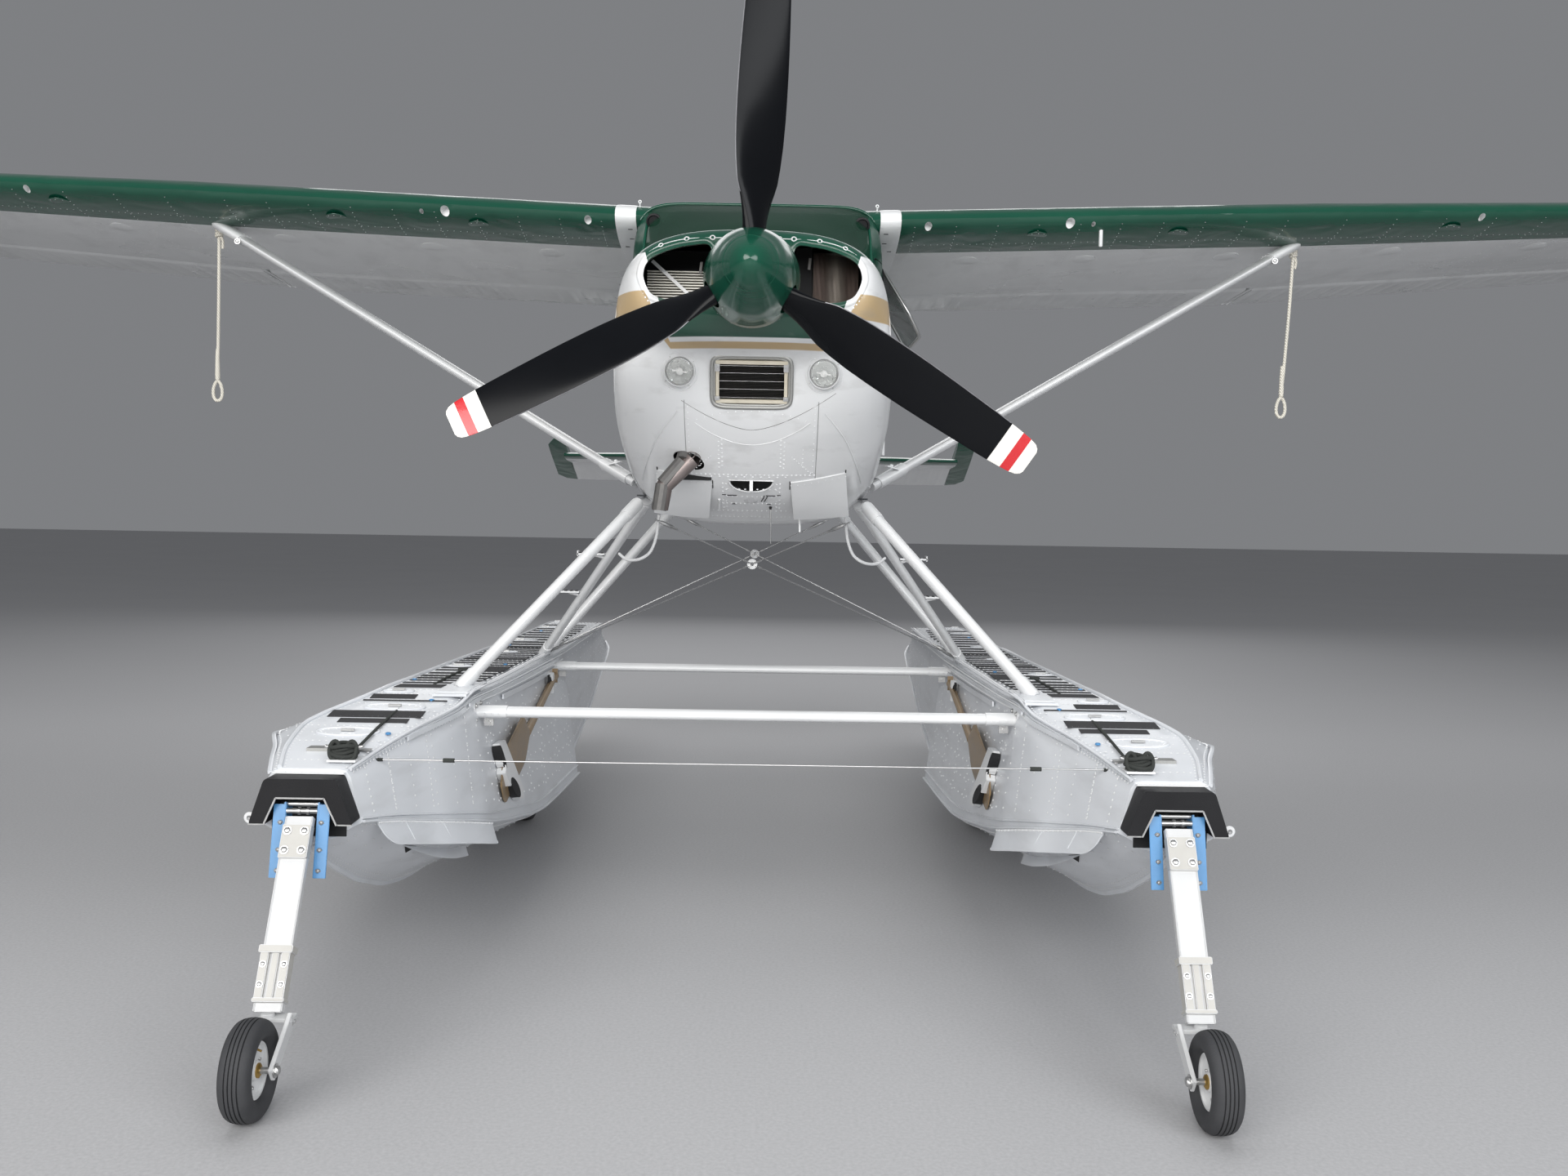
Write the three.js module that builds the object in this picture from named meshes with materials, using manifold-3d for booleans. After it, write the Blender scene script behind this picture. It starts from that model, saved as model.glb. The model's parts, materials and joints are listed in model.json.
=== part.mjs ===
// Single-engine high-wing floatplane on amphibious floats, parked on its wheels.
// Millimetres, +Z up, +X to the aircraft's left, +Y towards the tail.
// Working stations are measured aft from the propeller plane; the group is shifted
// so that the origin is under the middle of the bounding box.
import * as THREE from 'three';
import { mergeVertices } from 'three/addons/utils/BufferGeometryUtils.js';
import Module from 'manifold-3d';

const wasm = await Module();
wasm.setup();

// General
const SEAM = 0.4;
const MIDDLE_STATION = 3251.25;
const CLEAR = 6;

// Propeller and spinner
const HUB_Z = 2427;
const PROP_RADIUS = 1088;
const PROP_TURN_DEG = 2.7;
const BLADES = 3;
const SPINNER_RADIUS = 162;
const SPINNER_FRONT = -300;
const SPINNER_BACK = 120;
const SHAFT_RADIUS = 38;
const SHAFT_END = 486;

// Cowling
const COWL_WALL = 12;
const COWL_SPLIT_Z = 2300;
const NOSE_SPLIT_Y = 452;
const FIREWALL_Y = 1075;
const INLET_X = 255;
const INLET_Z = 2478;
const INLET_HALF_X = 122;
const INLET_HALF_Z = 100;
const LAMP_X = 262;
const LAMP_Z = 2160;
const LAMP_RADIUS = 52;

// Cabin
const CABIN_END = 3395;
const CABIN_WALL = 28;
const GLASS = 6;
const FLOOR_Z = 1715;
const DOOR = { front: 1560, back: 2420, bottom: 1800, top: 2770 };
const DOOR_HINGE_X = 563;
const DOOR_WINDOW = { front: 1650, back: 2330, bottom: 2400, top: 2750 };
const REAR_WINDOW = { front: 2540, back: 3180, bottom: 2370, top: 2680 };
// The left door's window stands open, turned about its top edge.
const OPEN_PANE = { x: 527, z: 2749.6, turn_deg: 30 };
const DOOR_GAP = 5;
const DOOR_HINGE_Y = 1563;
const KNUCKLES = [1950, 2260];

// Wing: span 10.92 m
const WING_Z = 2970;
const WING_ROOT_X = 430;
const WING_KINK_X = 2540;
const WING_TIP_X = 5460;
const FLAP_IN_X = 640;
const FLAP_OUT_X = 2590;
const AILERON_IN_X = 2625;
const AILERON_OUT_X = 5150;
const NOSE_FIT = 0.94;

// Tail
const STAB_HINGE_Y = 6500;
const STAB_Z = 2022;
const HORN_IN_X = 1500;
const TAIL_TIP_X = 1650;
const ELEVATOR_IN_X = 170;
const ELEVATOR_DROOP_DEG = 20;
const RUDDER_HINGE_Y = 6880;

// Floats
const FLOAT_X = 1310;
const STEP_Y = 2550;
const STERN_Y = 5250;
const NOSE_WHEEL = { y: -840, r: 137.5, w: 86 };
const CASTER_Y = -700;
const MAIN_WHEEL = { y: 2775, r: 185, w: 118, half_track: 106 };

// Colours and finishes of the pieces
const FINISH = {
  white: [0xe9ebec, 0.35, 0.0],
  green: [0x0d3d2a, 0.28, 0.0],
  black: [0x17181a, 0.45, 0.0],
  rubber: [0x2a2b2e, 0.85, 0.0],
  steel: [0x9a9c9e, 0.4, 0.9],
  glass: [0xb8d0c4, 0.08, 0.0],
  leather: [0x6f6a60, 0.75, 0.0],
  rope: [0xdcd6c6, 0.9, 0.0],
};

const model = new THREE.Group();
const aircraft = new THREE.Group();
aircraft.position.y = -MIDDLE_STATION;
model.add(aircraft);

function material(finish) {
  const [color, roughness, metalness] = FINISH[finish];
  return new THREE.MeshStandardMaterial({ color, roughness, metalness });
}

function solid(geometry) {
  const bare = geometry.clone();
  bare.deleteAttribute('normal');
  bare.deleteAttribute('uv');
  const merged = mergeVertices(bare, 1e-3);
  return new wasm.Manifold(new wasm.Mesh({
    numProp: 3,
    vertProperties: new Float32Array(merged.attributes.position.array),
    triVerts: new Uint32Array(merged.index.array),
  }));
}

function add(name, finish, shape, at = [0, 0, 0], parent = aircraft) {
  const mesh3d = shape.getMesh();
  const geometry = new THREE.BufferGeometry();
  geometry.setAttribute('position', new THREE.BufferAttribute(mesh3d.vertProperties, 3));
  geometry.setIndex(new THREE.BufferAttribute(mesh3d.triVerts, 1));
  geometry.computeVertexNormals();
  const mesh = new THREE.Mesh(geometry, material(finish));
  mesh.name = name;
  mesh.position.set(...at);
  parent.add(mesh);
  return mesh;
}

function union(first, ...others) {
  return others.reduce((sum, other) => sum.add(other), first);
}

// A closed body through rings of points that all have the same count.
function loft(rings) {
  const count = rings[0].length;
  const positions = [];
  const index = [];
  rings.forEach((ring) => ring.forEach((p) => positions.push(p.x, p.y, p.z)));
  for (let i = 0; i < rings.length - 1; i += 1) {
    for (let k = 0; k < count; k += 1) {
      const a = i * count + k;
      const b = i * count + ((k + 1) % count);
      index.push(a, b, a + count, b, b + count, a + count);
    }
  }
  [[0, true], [rings.length - 1, false]].forEach(([i, flip]) => {
    const middle = rings[i].reduce((sum, p) => sum.add(p), new THREE.Vector3());
    middle.divideScalar(count);
    const hub = positions.length / 3;
    positions.push(middle.x, middle.y, middle.z);
    for (let k = 0; k < count; k += 1) {
      const a = i * count + k;
      const b = i * count + ((k + 1) % count);
      index.push(...(flip ? [b, a, hub] : [a, b, hub]));
    }
  });
  const geometry = new THREE.BufferGeometry();
  geometry.setAttribute('position', new THREE.Float32BufferAttribute(positions, 3));
  geometry.setIndex(index);
  if (signedVolume(geometry) < 0) {
    for (let i = 0; i < index.length; i += 3) {
      [index[i], index[i + 1]] = [index[i + 1], index[i]];
    }
    geometry.setIndex(index);
  }
  return solid(geometry);
}

function signedVolume(geometry) {
  const p = geometry.attributes.position;
  const index = geometry.index;
  const [a, b, c] = [new THREE.Vector3(), new THREE.Vector3(), new THREE.Vector3()];
  let volume = 0;
  for (let i = 0; i < index.count; i += 3) {
    a.fromBufferAttribute(p, index.getX(i));
    b.fromBufferAttribute(p, index.getX(i + 1));
    c.fromBufferAttribute(p, index.getX(i + 2));
    volume += a.dot(b.cross(c)) / 6;
  }
  return volume;
}

function box(x0, x1, y0, y1, z0, z1) {
  const geometry = new THREE.BoxGeometry(Math.abs(x1 - x0), y1 - y0, z1 - z0);
  geometry.translate((x0 + x1) / 2, (y0 + y1) / 2, (z0 + z1) / 2);
  return solid(geometry);
}

function frameAlong(direction) {
  const along = direction.clone().normalize();
  const guide = Math.abs(along.z) > 0.9 ? new THREE.Vector3(0, 1, 0) : new THREE.Vector3(0, 0, 1);
  const side = new THREE.Vector3().crossVectors(guide, along).normalize();
  const up = new THREE.Vector3().crossVectors(along, side);
  return { side, up };
}

// A round bar from one point to another; the two radii may differ.
function rod(from, to, radius, sides = 12, endRadius = radius) {
  const a = new THREE.Vector3(...from);
  const b = new THREE.Vector3(...to);
  const { side, up } = frameAlong(b.clone().sub(a));
  const ring = (centre, r) => circlePoints(sides).map(([c, s]) => centre.clone()
    .addScaledVector(side, r * c).addScaledVector(up, r * s));
  return loft([ring(a, radius), ring(b, endRadius)]);
}

// A streamlined or flat bar: its long section axis points along the given direction.
function strut(from, to, chord, thick, chordDirection, sides = 14, power = 1) {
  const a = new THREE.Vector3(...from);
  const b = new THREE.Vector3(...to);
  const along = b.clone().sub(a).normalize();
  const wide = new THREE.Vector3(...chordDirection);
  wide.addScaledVector(along, -wide.dot(along)).normalize();
  const thin = new THREE.Vector3().crossVectors(along, wide);
  const shaped = (v) => Math.sign(v) * Math.abs(v) ** power;
  const ring = (centre) => circlePoints(sides).map(([c, s]) => centre.clone()
    .addScaledVector(wide, (chord / 2) * shaped(c)).addScaledVector(thin, (thick / 2) * shaped(s)));
  return loft([ring(a), ring(b)]);
}

function bar(from, to, chord, thick, chordDirection) {
  const a = new THREE.Vector3(...from);
  const b = new THREE.Vector3(...to);
  const along = b.clone().sub(a).normalize();
  const wide = new THREE.Vector3(...chordDirection);
  wide.addScaledVector(along, -wide.dot(along)).normalize();
  const thin = new THREE.Vector3().crossVectors(along, wide);
  const corners = [[1, 1], [-1, 1], [-1, -1], [1, -1]];
  const ring = (centre) => corners.map(([c, s]) => centre.clone()
    .addScaledVector(wide, (c * chord) / 2).addScaledVector(thin, (s * thick) / 2));
  return loft([ring(a), ring(b)]);
}

function circlePoints(count) {
  const points = [];
  for (let k = 0; k < count; k += 1) {
    const angle = ((k + 0.5) / count) * 2 * Math.PI;
    points.push([Math.cos(angle), Math.sin(angle)]);
  }
  return points;
}

// A prism: a side-view outline in (Y, Z), drawn out along X between two stations.
function sidePrism(outline, x0, x1) {
  return loft([x0, x1].map((x) => outline.map(([y, z]) => new THREE.Vector3(x, y, z))));
}

// A turned body about the Y axis of its own frame: profile rows are (radius, y).
function turned(profile, segments) {
  const points = profile.map(([r, y]) => new THREE.Vector2(r, y));
  const geometry = new THREE.LatheGeometry(points, segments);
  return solid(orient(geometry));
}

function orient(geometry) {
  const merged = geometry.clone();
  merged.deleteAttribute('normal');
  merged.deleteAttribute('uv');
  const closed = mergeVertices(merged, 1e-3);
  if (signedVolume(closed) < 0) {
    const old = Array.from(closed.index.array);
    for (let i = 0; i < old.length; i += 3) {
      [old[i], old[i + 1]] = [old[i + 1], old[i]];
    }
    closed.setIndex(old);
  }
  return closed;
}

// Body sections: a rounded box with its widest line at a given height.
function bodyRing(row, grow = 0, count = 28) {
  const [y, half, bottom, top, wide, lower, upper] = row;
  const ring = [];
  for (let k = 0; k < count; k += 1) {
    const angle = (k / count) * 2 * Math.PI;
    const c = Math.cos(angle);
    const s = Math.sin(angle);
    const power = s >= 0 ? 2 / upper : 2 / lower;
    const reach = s >= 0 ? top + grow - wide : wide - bottom + grow;
    ring.push(new THREE.Vector3(
      (half + grow) * Math.sign(c) * Math.abs(c) ** power,
      y,
      wide + reach * Math.sign(s) * Math.abs(s) ** power,
    ));
  }
  return ring;
}

function bodyLoft(rows, grow = 0, from = -Infinity, to = Infinity) {
  const kept = rows.map((row) => [...row]);
  if (from > kept[0][0]) kept[0][0] = from;
  if (to < kept[kept.length - 1][0]) kept[kept.length - 1][0] = to;
  return loft(kept.map((row) => bodyRing(row, grow)));
}

// y, half width, bottom z, top z, widest z, lower squareness, upper squareness
const COWL_ROWS = [
  [268, 318, 2316, 2572, 2445, 2.3, 2.4],
  [284, 378, 2262, 2606, 2440, 2.4, 2.4],
  [325, 408, 2236, 2628, 2425, 2.5, 2.4],
  [398, 442, 2190, 2642, 2380, 2.6, 2.4],
  [436, 462, 2050, 2648, 2320, 2.6, 2.4],
  [475, 478, 1985, 2652, 2270, 2.7, 2.4],
  [600, 508, 1865, 2658, 2180, 2.8, 2.4],
  [800, 525, 1722, 2664, 2130, 2.9, 2.5],
  [FIREWALL_Y - SEAM, 531, 1622, 2668, 2120, 3.1, 2.6],
];

const CABIN_ROWS = [
  [FIREWALL_Y, 531, 1622, 2668, 2120, 3.1, 2.6],
  [1180, 536, 1612, 2700, 2120, 3.2, 2.8],
  [1440, 550, 1604, 2880, 2120, 3.4, 3.4],
  [1740, 560, 1602, 3034, 2130, 3.6, 4.0],
  [2420, 560, 1606, 3040, 2140, 3.6, 4.0],
  [CABIN_END, 505, 1662, 2880, 2150, 3.2, 3.4],
];

const TAIL_ROWS = [
  [CABIN_END + SEAM, 505, 1662, 2880, 2150, 3.2, 3.4],
  [4200, 385, 1722, 2655, 2120, 2.8, 2.8],
  [5200, 242, 1790, 2415, 2080, 2.5, 2.4],
  [6100, 138, 1850, 2215, 2030, 2.3, 2.2],
  [RUDDER_HINGE_Y - 40, 46, 1905, 2105, 2005, 2.2, 2.2],
];

// Airfoil: thickness and camber of the four-digit family; chord fractions from the nose.
const CHORD_STEPS = [0, 0.012, 0.05, 0.12, 0.24, 0.4, 0.6, 0.8, 1];

function foilPoint(t, thick, camber, upper) {
  const half = 5 * thick * (0.2969 * Math.sqrt(t) - 0.126 * t - 0.3516 * t * t
    + 0.2843 * t ** 3 - 0.1036 * t ** 4);
  const mean = t < 0.4 ? (camber / 0.16) * (0.8 * t - t * t)
    : (camber / 0.36) * (0.2 + 0.8 * t - t * t);
  return mean + (upper ? half : -half);
}

// Points of a section as [chord position, height], nose first, over the top and back below.
function foilSection(chord, thick, camber, grow = 0, backEdge = 3) {
  const top = CHORD_STEPS.map((t) => [t * chord, foilPoint(t, thick, camber, true) * chord]);
  const bottom = CHORD_STEPS.slice(1)
    .map((t) => [t * chord, foilPoint(t, thick, camber, false) * chord]).reverse();
  top[top.length - 1][1] += backEdge / 2;
  bottom[0][1] -= backEdge / 2;
  top[0][0] -= grow;
  const shift = (rows, by) => rows.map(([a, b]) => [a, b + by]);
  return [top[0], ...shift(top.slice(1), grow), ...shift(bottom, -grow)];
}

// x, nose y, nose z, chord, incidence in degrees, thickness
const DIHEDRAL = 0.0362;
const WING_ROWS = [
  [WING_ROOT_X, 1730, WING_Z - 8, 1626, 6.5, 0.12],
  [WING_KINK_X, 1730, WING_Z + 1900 * DIHEDRAL, 1626, 6.5, 0.12],
  [5200, 1842, WING_Z + 4560 * DIHEDRAL, 1175, 4.9, 0.11],
  [5380, 1880, WING_Z + 4760 * DIHEDRAL, 1080, 4.8, 0.09],
  [WING_TIP_X, 1960, WING_Z + 4880 * DIHEDRAL, 900, 4.7, 0.05],
];

function wingRing(row, side, grow) {
  const [x, noseY, noseZ, chord, incidence, thick] = row;
  const a = THREE.MathUtils.degToRad(incidence);
  return foilSection(chord, thick, 0.02, grow).map(([u, v]) => new THREE.Vector3(
    side * x,
    noseY + u * Math.cos(a) + v * Math.sin(a),
    noseZ - u * Math.sin(a) + v * Math.cos(a),
  ));
}

function wingAt(x) {
  const i = WING_ROWS.findIndex((row) => row[0] >= x);
  const [a, b] = [WING_ROWS[Math.max(i - 1, 0)], WING_ROWS[i]];
  const f = b[0] === a[0] ? 0 : (x - a[0]) / (b[0] - a[0]);
  return a.map((value, k) => value + f * (b[k] - value));
}

// A point on a wing section's mean line, and the half thickness there.
function wingMean(x, chordFraction) {
  const [, noseY, noseZ, chord, incidence, thick] = wingAt(x);
  const a = THREE.MathUtils.degToRad(incidence);
  const u = chordFraction * chord;
  const high = foilPoint(chordFraction, thick, 0.02, true) * chord;
  const low = foilPoint(chordFraction, thick, 0.02, false) * chord;
  const v = (high + low) / 2;
  return {
    x,
    y: noseY + u * Math.cos(a) + v * Math.sin(a),
    z: noseZ - u * Math.sin(a) + v * Math.cos(a),
    half: (high - low) / 2,
  };
}

// Movable trailing surfaces: hinge line from the inner to the outer end.
// name, inner x, outer x, hinge chord fraction at the inner and the outer end
const SURFACES = [
  ['flap', FLAP_IN_X, FLAP_OUT_X, 0.735, 0.735],
  ['aileron', AILERON_IN_X, AILERON_OUT_X, 0.735, 0.72],
];

function hingeLine([, inner, outer, fIn, fOut]) {
  return [wingMean(inner, fIn), wingMean(outer, fOut)];
}

// The block behind a hinge line, widened or narrowed by a gap.
function surfaceBlock(line, side, gap, ahead) {
  const [a, b] = line;
  const ring = (p, x) => [
    [p.y - ahead, p.z - 400], [p.y + 900, p.z - 400], [p.y + 900, p.z + 400], [p.y - ahead, p.z + 400],
  ].map(([y, z]) => new THREE.Vector3(side * x, y, z));
  return loft([ring(a, a.x - gap), ring(b, b.x + gap)]);
}

function hingeTube(line, side, scale, inset) {
  const [a, b] = line;
  const tube = (x, p) => [side * x, p.y, p.z];
  return rod(tube(a.x + inset, a), tube(b.x - inset, b), a.half * scale, 20, b.half * scale);
}

// Fixed lugs that reach back to the round nose of a moving surface near both ends.
function hingeLugs(line, side, ahead, scale) {
  const [a, b] = line;
  return [0.06, 0.94].map((f) => {
    const at = (key) => a[key] + f * (b[key] - a[key]);
    const slant = (10 * (b.y - a.y)) / (b.x - a.x);
    const face = at('y') + Math.min(0, slant) - at('half') * scale - 0.3;
    const x = [side * at('x'), side * (at('x') + 10)].sort((p, q) => p - q);
    return box(x[0], x[1], at('y') - ahead - 12, face, at('z') - 7, at('z') + 7);
  });
}

function cabinBody(grow = 0) {
  return bodyLoft(CABIN_ROWS, grow);
}

const cabinGrown = cabinBody(SEAM);
const cowlGrown = bodyLoft(COWL_ROWS, SEAM);
const tailGrown = bodyLoft(TAIL_ROWS, SEAM);

// Cowling: nose bowl with two air inlets, upper and lower halves.
function roundedSlot(cx, cz, halfX, halfZ, y0, y1, power = 0.8) {
  const outline = circlePoints(16).map(([c, s]) => [
    cx + halfX * Math.sign(c) * Math.abs(c) ** power,
    cz + halfZ * Math.sign(s) * Math.abs(s) ** power,
  ]);
  return loft([y0, y1].map((y) => outline.map(([x, z]) => new THREE.Vector3(x, y, z))));
}

function disc(cx, cz, radius, y0, y1, sides = 16) {
  return rod([cx, y0, cz], [cx, y1, cz], radius, sides);
}

const cowlInnerRows = COWL_ROWS.map(([y, ...rest]) => [y + COWL_WALL, ...rest]);
cowlInnerRows[cowlInnerRows.length - 1][0] = FIREWALL_Y + 20;
let cowl = bodyLoft(COWL_ROWS).subtract(loft(cowlInnerRows.map((row) => bodyRing(row, -COWL_WALL))));
cowl = cowl.subtract(disc(0, HUB_Z, 96, 200, 400));
[-1, 1].forEach((side) => {
  cowl = cowl.subtract(roundedSlot(side * INLET_X, INLET_Z, INLET_HALF_X, INLET_HALF_Z, 200, 400));
  cowl = cowl.subtract(disc(side * LAMP_X, LAMP_Z, LAMP_RADIUS, 380, 560));
});
cowl = cowl.subtract(box(-132, 132, 380, 560, 2040, 2204));
cowl = cowl.subtract(roundedSlot(-243, 1868, 50, 46, 500, 760, 1));
[[-318, -150], [150, 318]].forEach(([x0, x1]) => {
  cowl = cowl.subtract(box(x0, x1, 880, 1062, 1500, 1760));
});
const nosePart = box(-700, 700, 200, NOSE_SPLIT_Y, 1500, 2800);
const upperPart = box(-700, 700, NOSE_SPLIT_Y + SEAM, 1200, COWL_SPLIT_Z + SEAM, 2800);
const lowerPart = box(-700, 700, NOSE_SPLIT_Y + SEAM, 1200, 1500, COWL_SPLIT_Z);
add('cowl_nose', 'white', cowl.intersect(nosePart));
add('cowl_upper', 'green', cowl.intersect(upperPart));
let cowlLower = cowl.intersect(lowerPart);
[[-322, -146], [146, 322]].forEach(([x0, x1]) => {
  const middle = (x0 + x1) / 2;
  cowlLower = cowlLower.add(bar([middle, 868, 1702], [middle, 1052, 1604], x1 - x0, 5, [1, 0, 0]));
});
add('cowl_lower', 'white', cowlLower);

// Oil cooler behind the opening under the spinner.
add('oil_cooler', 'steel', box(-132 + SEAM, 132 - SEAM, 450, 560, 2040 + SEAM, 2204 - SEAM));

// Engine: crankcase, two cylinder banks and the exhaust stack.
const exhaustPath = [
  [-236, 800, 2300], [-236, 668, 1915], [-252, 604, 1842], [-322, 590, 1758], [-336, 590, 1662],
];
const EXHAUST_RADIUS = 28;
let engine = union(
  box(-160, 160, 490, 1010, 2230, 2570),
  box(-385, 385, 580, 1000, 2255, 2470),
);
engine = engine.add(rod([0, 425, HUB_Z], [0, 500, HUB_Z], 72, 20));
engine = engine.subtract(rod([0, 420, HUB_Z], [0, SHAFT_END + 2, HUB_Z], SHAFT_RADIUS + 1, 24));
[[-130, 2290], [130, 2290], [-130, 2520], [130, 2520]].forEach(([x, z]) => {
  engine = engine.add(rod([x, 1000, z], [x, FIREWALL_Y - SEAM, z], 14));
});
exhaustPath.slice(1).forEach((to, i) => {
  engine = engine.add(rod(exhaustPath[i], to, EXHAUST_RADIUS));
});
add('engine', 'steel', engine);

// Propeller: hub, drive shaft and three twisted blades; the group carries the parked angle.
const rotor = new THREE.Group();
rotor.position.set(0, 0, HUB_Z);
rotor.rotation.y = THREE.MathUtils.degToRad(PROP_TURN_DEG);
aircraft.add(rotor);

// radius, chord, thickness, blade angle in degrees from the disc plane, edge shift
const BLADE_ROWS = [
  [60, 84, 70, 60, 0],
  [170, 96, 56, 52, 0],
  [300, 146, 34, 42, 0],
  [560, 162, 22, 28, 0],
  [830, 150, 16, 20, 0],
  [1040, 118, 11, 16, 0],
  [PROP_RADIUS, 100, 8, 15, 0],
];

function bladeRing([radius, chord, thick, angle], turn) {
  const a = THREE.MathUtils.degToRad(angle);
  const out = new THREE.Vector3(Math.sin(turn), 0, Math.cos(turn));
  const across = new THREE.Vector3(Math.cos(turn), 0, -Math.sin(turn));
  const back = new THREE.Vector3(0, 1, 0);
  const wide = across.clone().multiplyScalar(Math.cos(a)).addScaledVector(back, Math.sin(a));
  const thin = across.clone().multiplyScalar(-Math.sin(a)).addScaledVector(back, Math.cos(a));
  return circlePoints(12).map(([c, s]) => new THREE.Vector3()
    .addScaledVector(out, radius)
    .addScaledVector(wide, (c * chord) / 2)
    .addScaledVector(thin, (s * thick) / 2));
}

let propeller = union(
  rod([0, -95, 0], [0, 100, 0], 92, 18),
  rod([0, 95, 0], [0, SPINNER_BACK - 4 - SEAM, 0], 112, 18),
  rod([0, 95, 0], [0, SHAFT_END, 0], SHAFT_RADIUS, 14),
);
const spinnerProfile = [
  [0, SPINNER_FRONT], [26, SPINNER_FRONT + 8], [52, SPINNER_FRONT + 34], [92, SPINNER_FRONT + 108],
  [128, SPINNER_FRONT + 200], [152, SPINNER_FRONT + 300], [SPINNER_RADIUS, SPINNER_FRONT + 400],
  [SPINNER_RADIUS, SPINNER_BACK], [60, SPINNER_BACK], [60, SPINNER_BACK - 4],
  [SPINNER_RADIUS - 4, SPINNER_BACK - 4], [SPINNER_RADIUS - 4, SPINNER_FRONT + 400],
  [148, SPINNER_FRONT + 302], [124, SPINNER_FRONT + 203], [88, SPINNER_FRONT + 112],
  [48, SPINNER_FRONT + 40], [22, SPINNER_FRONT + 16], [0, SPINNER_FRONT + 10],
];
let spinner = turned(spinnerProfile, 22);
for (let i = 0; i < BLADES; i += 1) {
  const turn = (i / BLADES) * 2 * Math.PI;
  propeller = propeller.add(loft(BLADE_ROWS.map((row) => bladeRing(row, turn))));
  const hole = [[60, 110, 84, 56, 0], [260, 124, 84, 52, 0]].map((row) => bladeRing(row, turn));
  spinner = spinner.subtract(loft(hole));
}
add('propeller', 'black', propeller, [0, 0, 0], rotor);
add('spinner', 'green', spinner, [0, 0, 0], rotor);

// Cabin shell with its windscreen, doors and side windows.
const WINDSCREEN_OUTLINE = [
  [1110, 2640], [1430, 2640], [1700, 2950], [1742, 2985], [1742, 3200], [1000, 3200], [1000, 2640],
];
const windscreenCut = sidePrism(WINDSCREEN_OUTLINE, -700, 700);
const windscreenPlug = sidePrism(
  [
    [1110, 2640.5], [1429.5, 2640.5], [1699.5, 2950.5], [1741.5, 2985.5],
    [1741.5, 3190], [1010, 3190], [1010, 2640.5],
  ],
  -690,
  690,
);
const outer = cabinBody();
const skin = outer.subtract(cabinBody(-GLASS));
const cabinHollow = loft(CABIN_ROWS.map((row, i) => {
  const moved = [...row];
  if (i === 0) moved[0] += 22;
  if (i === CABIN_ROWS.length - 1) moved[0] -= 16;
  return bodyRing(moved, -CABIN_WALL);
})).intersect(box(-600, 600, 1000, 3500, FLOOR_Z, 3100));
const wallShell = outer.subtract(cabinHollow);
add('windscreen', 'glass', skin.intersect(windscreenPlug));
let cabin = wallShell.subtract(windscreenCut);

function windowBox({ front, back, bottom, top }, side, inset) {
  const outline = [
    [front + 60, bottom], [back, bottom], [back, top - 30],
    [back - 30, top], [front + 90, top], [front, bottom + 120],
  ];
  const share = 1 / outline.length;
  const centre = outline.reduce(([a, b], [y, z]) => [a + y * share, b + z * share], [0, 0]);
  const shrunk = outline.map(([y, z]) => {
    const reach = Math.hypot(y - centre[0], z - centre[1]);
    const f = (reach - inset) / reach;
    return [centre[0] + (y - centre[0]) * f, centre[1] + (z - centre[1]) * f];
  });
  return sidePrism(shrunk, side * 380, side * 700);
}

function doorBlock(side, inset) {
  const { front, back, bottom, top } = DOOR;
  const x = [side * 380, side * 700].sort((a, b) => a - b);
  return box(x[0], x[1], front + inset, back - inset, bottom + inset, top - inset);
}

const SIDES = [['left', 1], ['right', -1]];
SIDES.forEach(([name, side]) => {
  const doorWindow = windowBox(DOOR_WINDOW, side, 0);
  const rearWindow = windowBox(REAR_WINDOW, side, 0);
  cabin = cabin.subtract(doorBlock(side, 0)).subtract(rearWindow);
  let door = wallShell.intersect(doorBlock(side, DOOR_GAP)).subtract(doorWindow);
  KNUCKLES.forEach((z) => {
    const pinX = side * DOOR_HINGE_X;
    const inward = [side * 538, pinX].sort((a, b) => a - b);
    cabin = cabin.add(rod([pinX, DOOR_HINGE_Y, z - 36], [pinX, DOOR_HINGE_Y, z - SEAM / 2], 7, 12))
      .add(box(inward[0], inward[1], DOOR.front - 16, DOOR.front, z - 36, z - SEAM / 2));
    door = door.add(rod([pinX, DOOR_HINGE_Y, z + SEAM / 2], [pinX, DOOR_HINGE_Y, z + 36], 7, 12))
      .add(box(inward[0], inward[1], DOOR_HINGE_Y, DOOR_HINGE_Y + 22, z + SEAM / 2, z + 36));
  });
  add(`door_${name}`, 'white', door);
  let pane = skin.intersect(windowBox(DOOR_WINDOW, side, SEAM));
  if (side > 0) {
    pane = pane.translate([-OPEN_PANE.x, 0, -OPEN_PANE.z])
      .rotate([0, -OPEN_PANE.turn_deg, 0])
      .translate([OPEN_PANE.x, 0, OPEN_PANE.z]);
  }
  add(`door_glass_${name}`, 'glass', pane);
  add(`rear_window_${name}`, 'glass', skin.intersect(windowBox(REAR_WINDOW, side, SEAM)));
});
add('cabin_shell', 'white', cabin);

// Cabin furniture
add('instrument_panel', 'black', box(-600, 600, 1225, 1262, 2180, 2560)
  .intersect(cabinBody(-CABIN_WALL - SEAM)));

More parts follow.
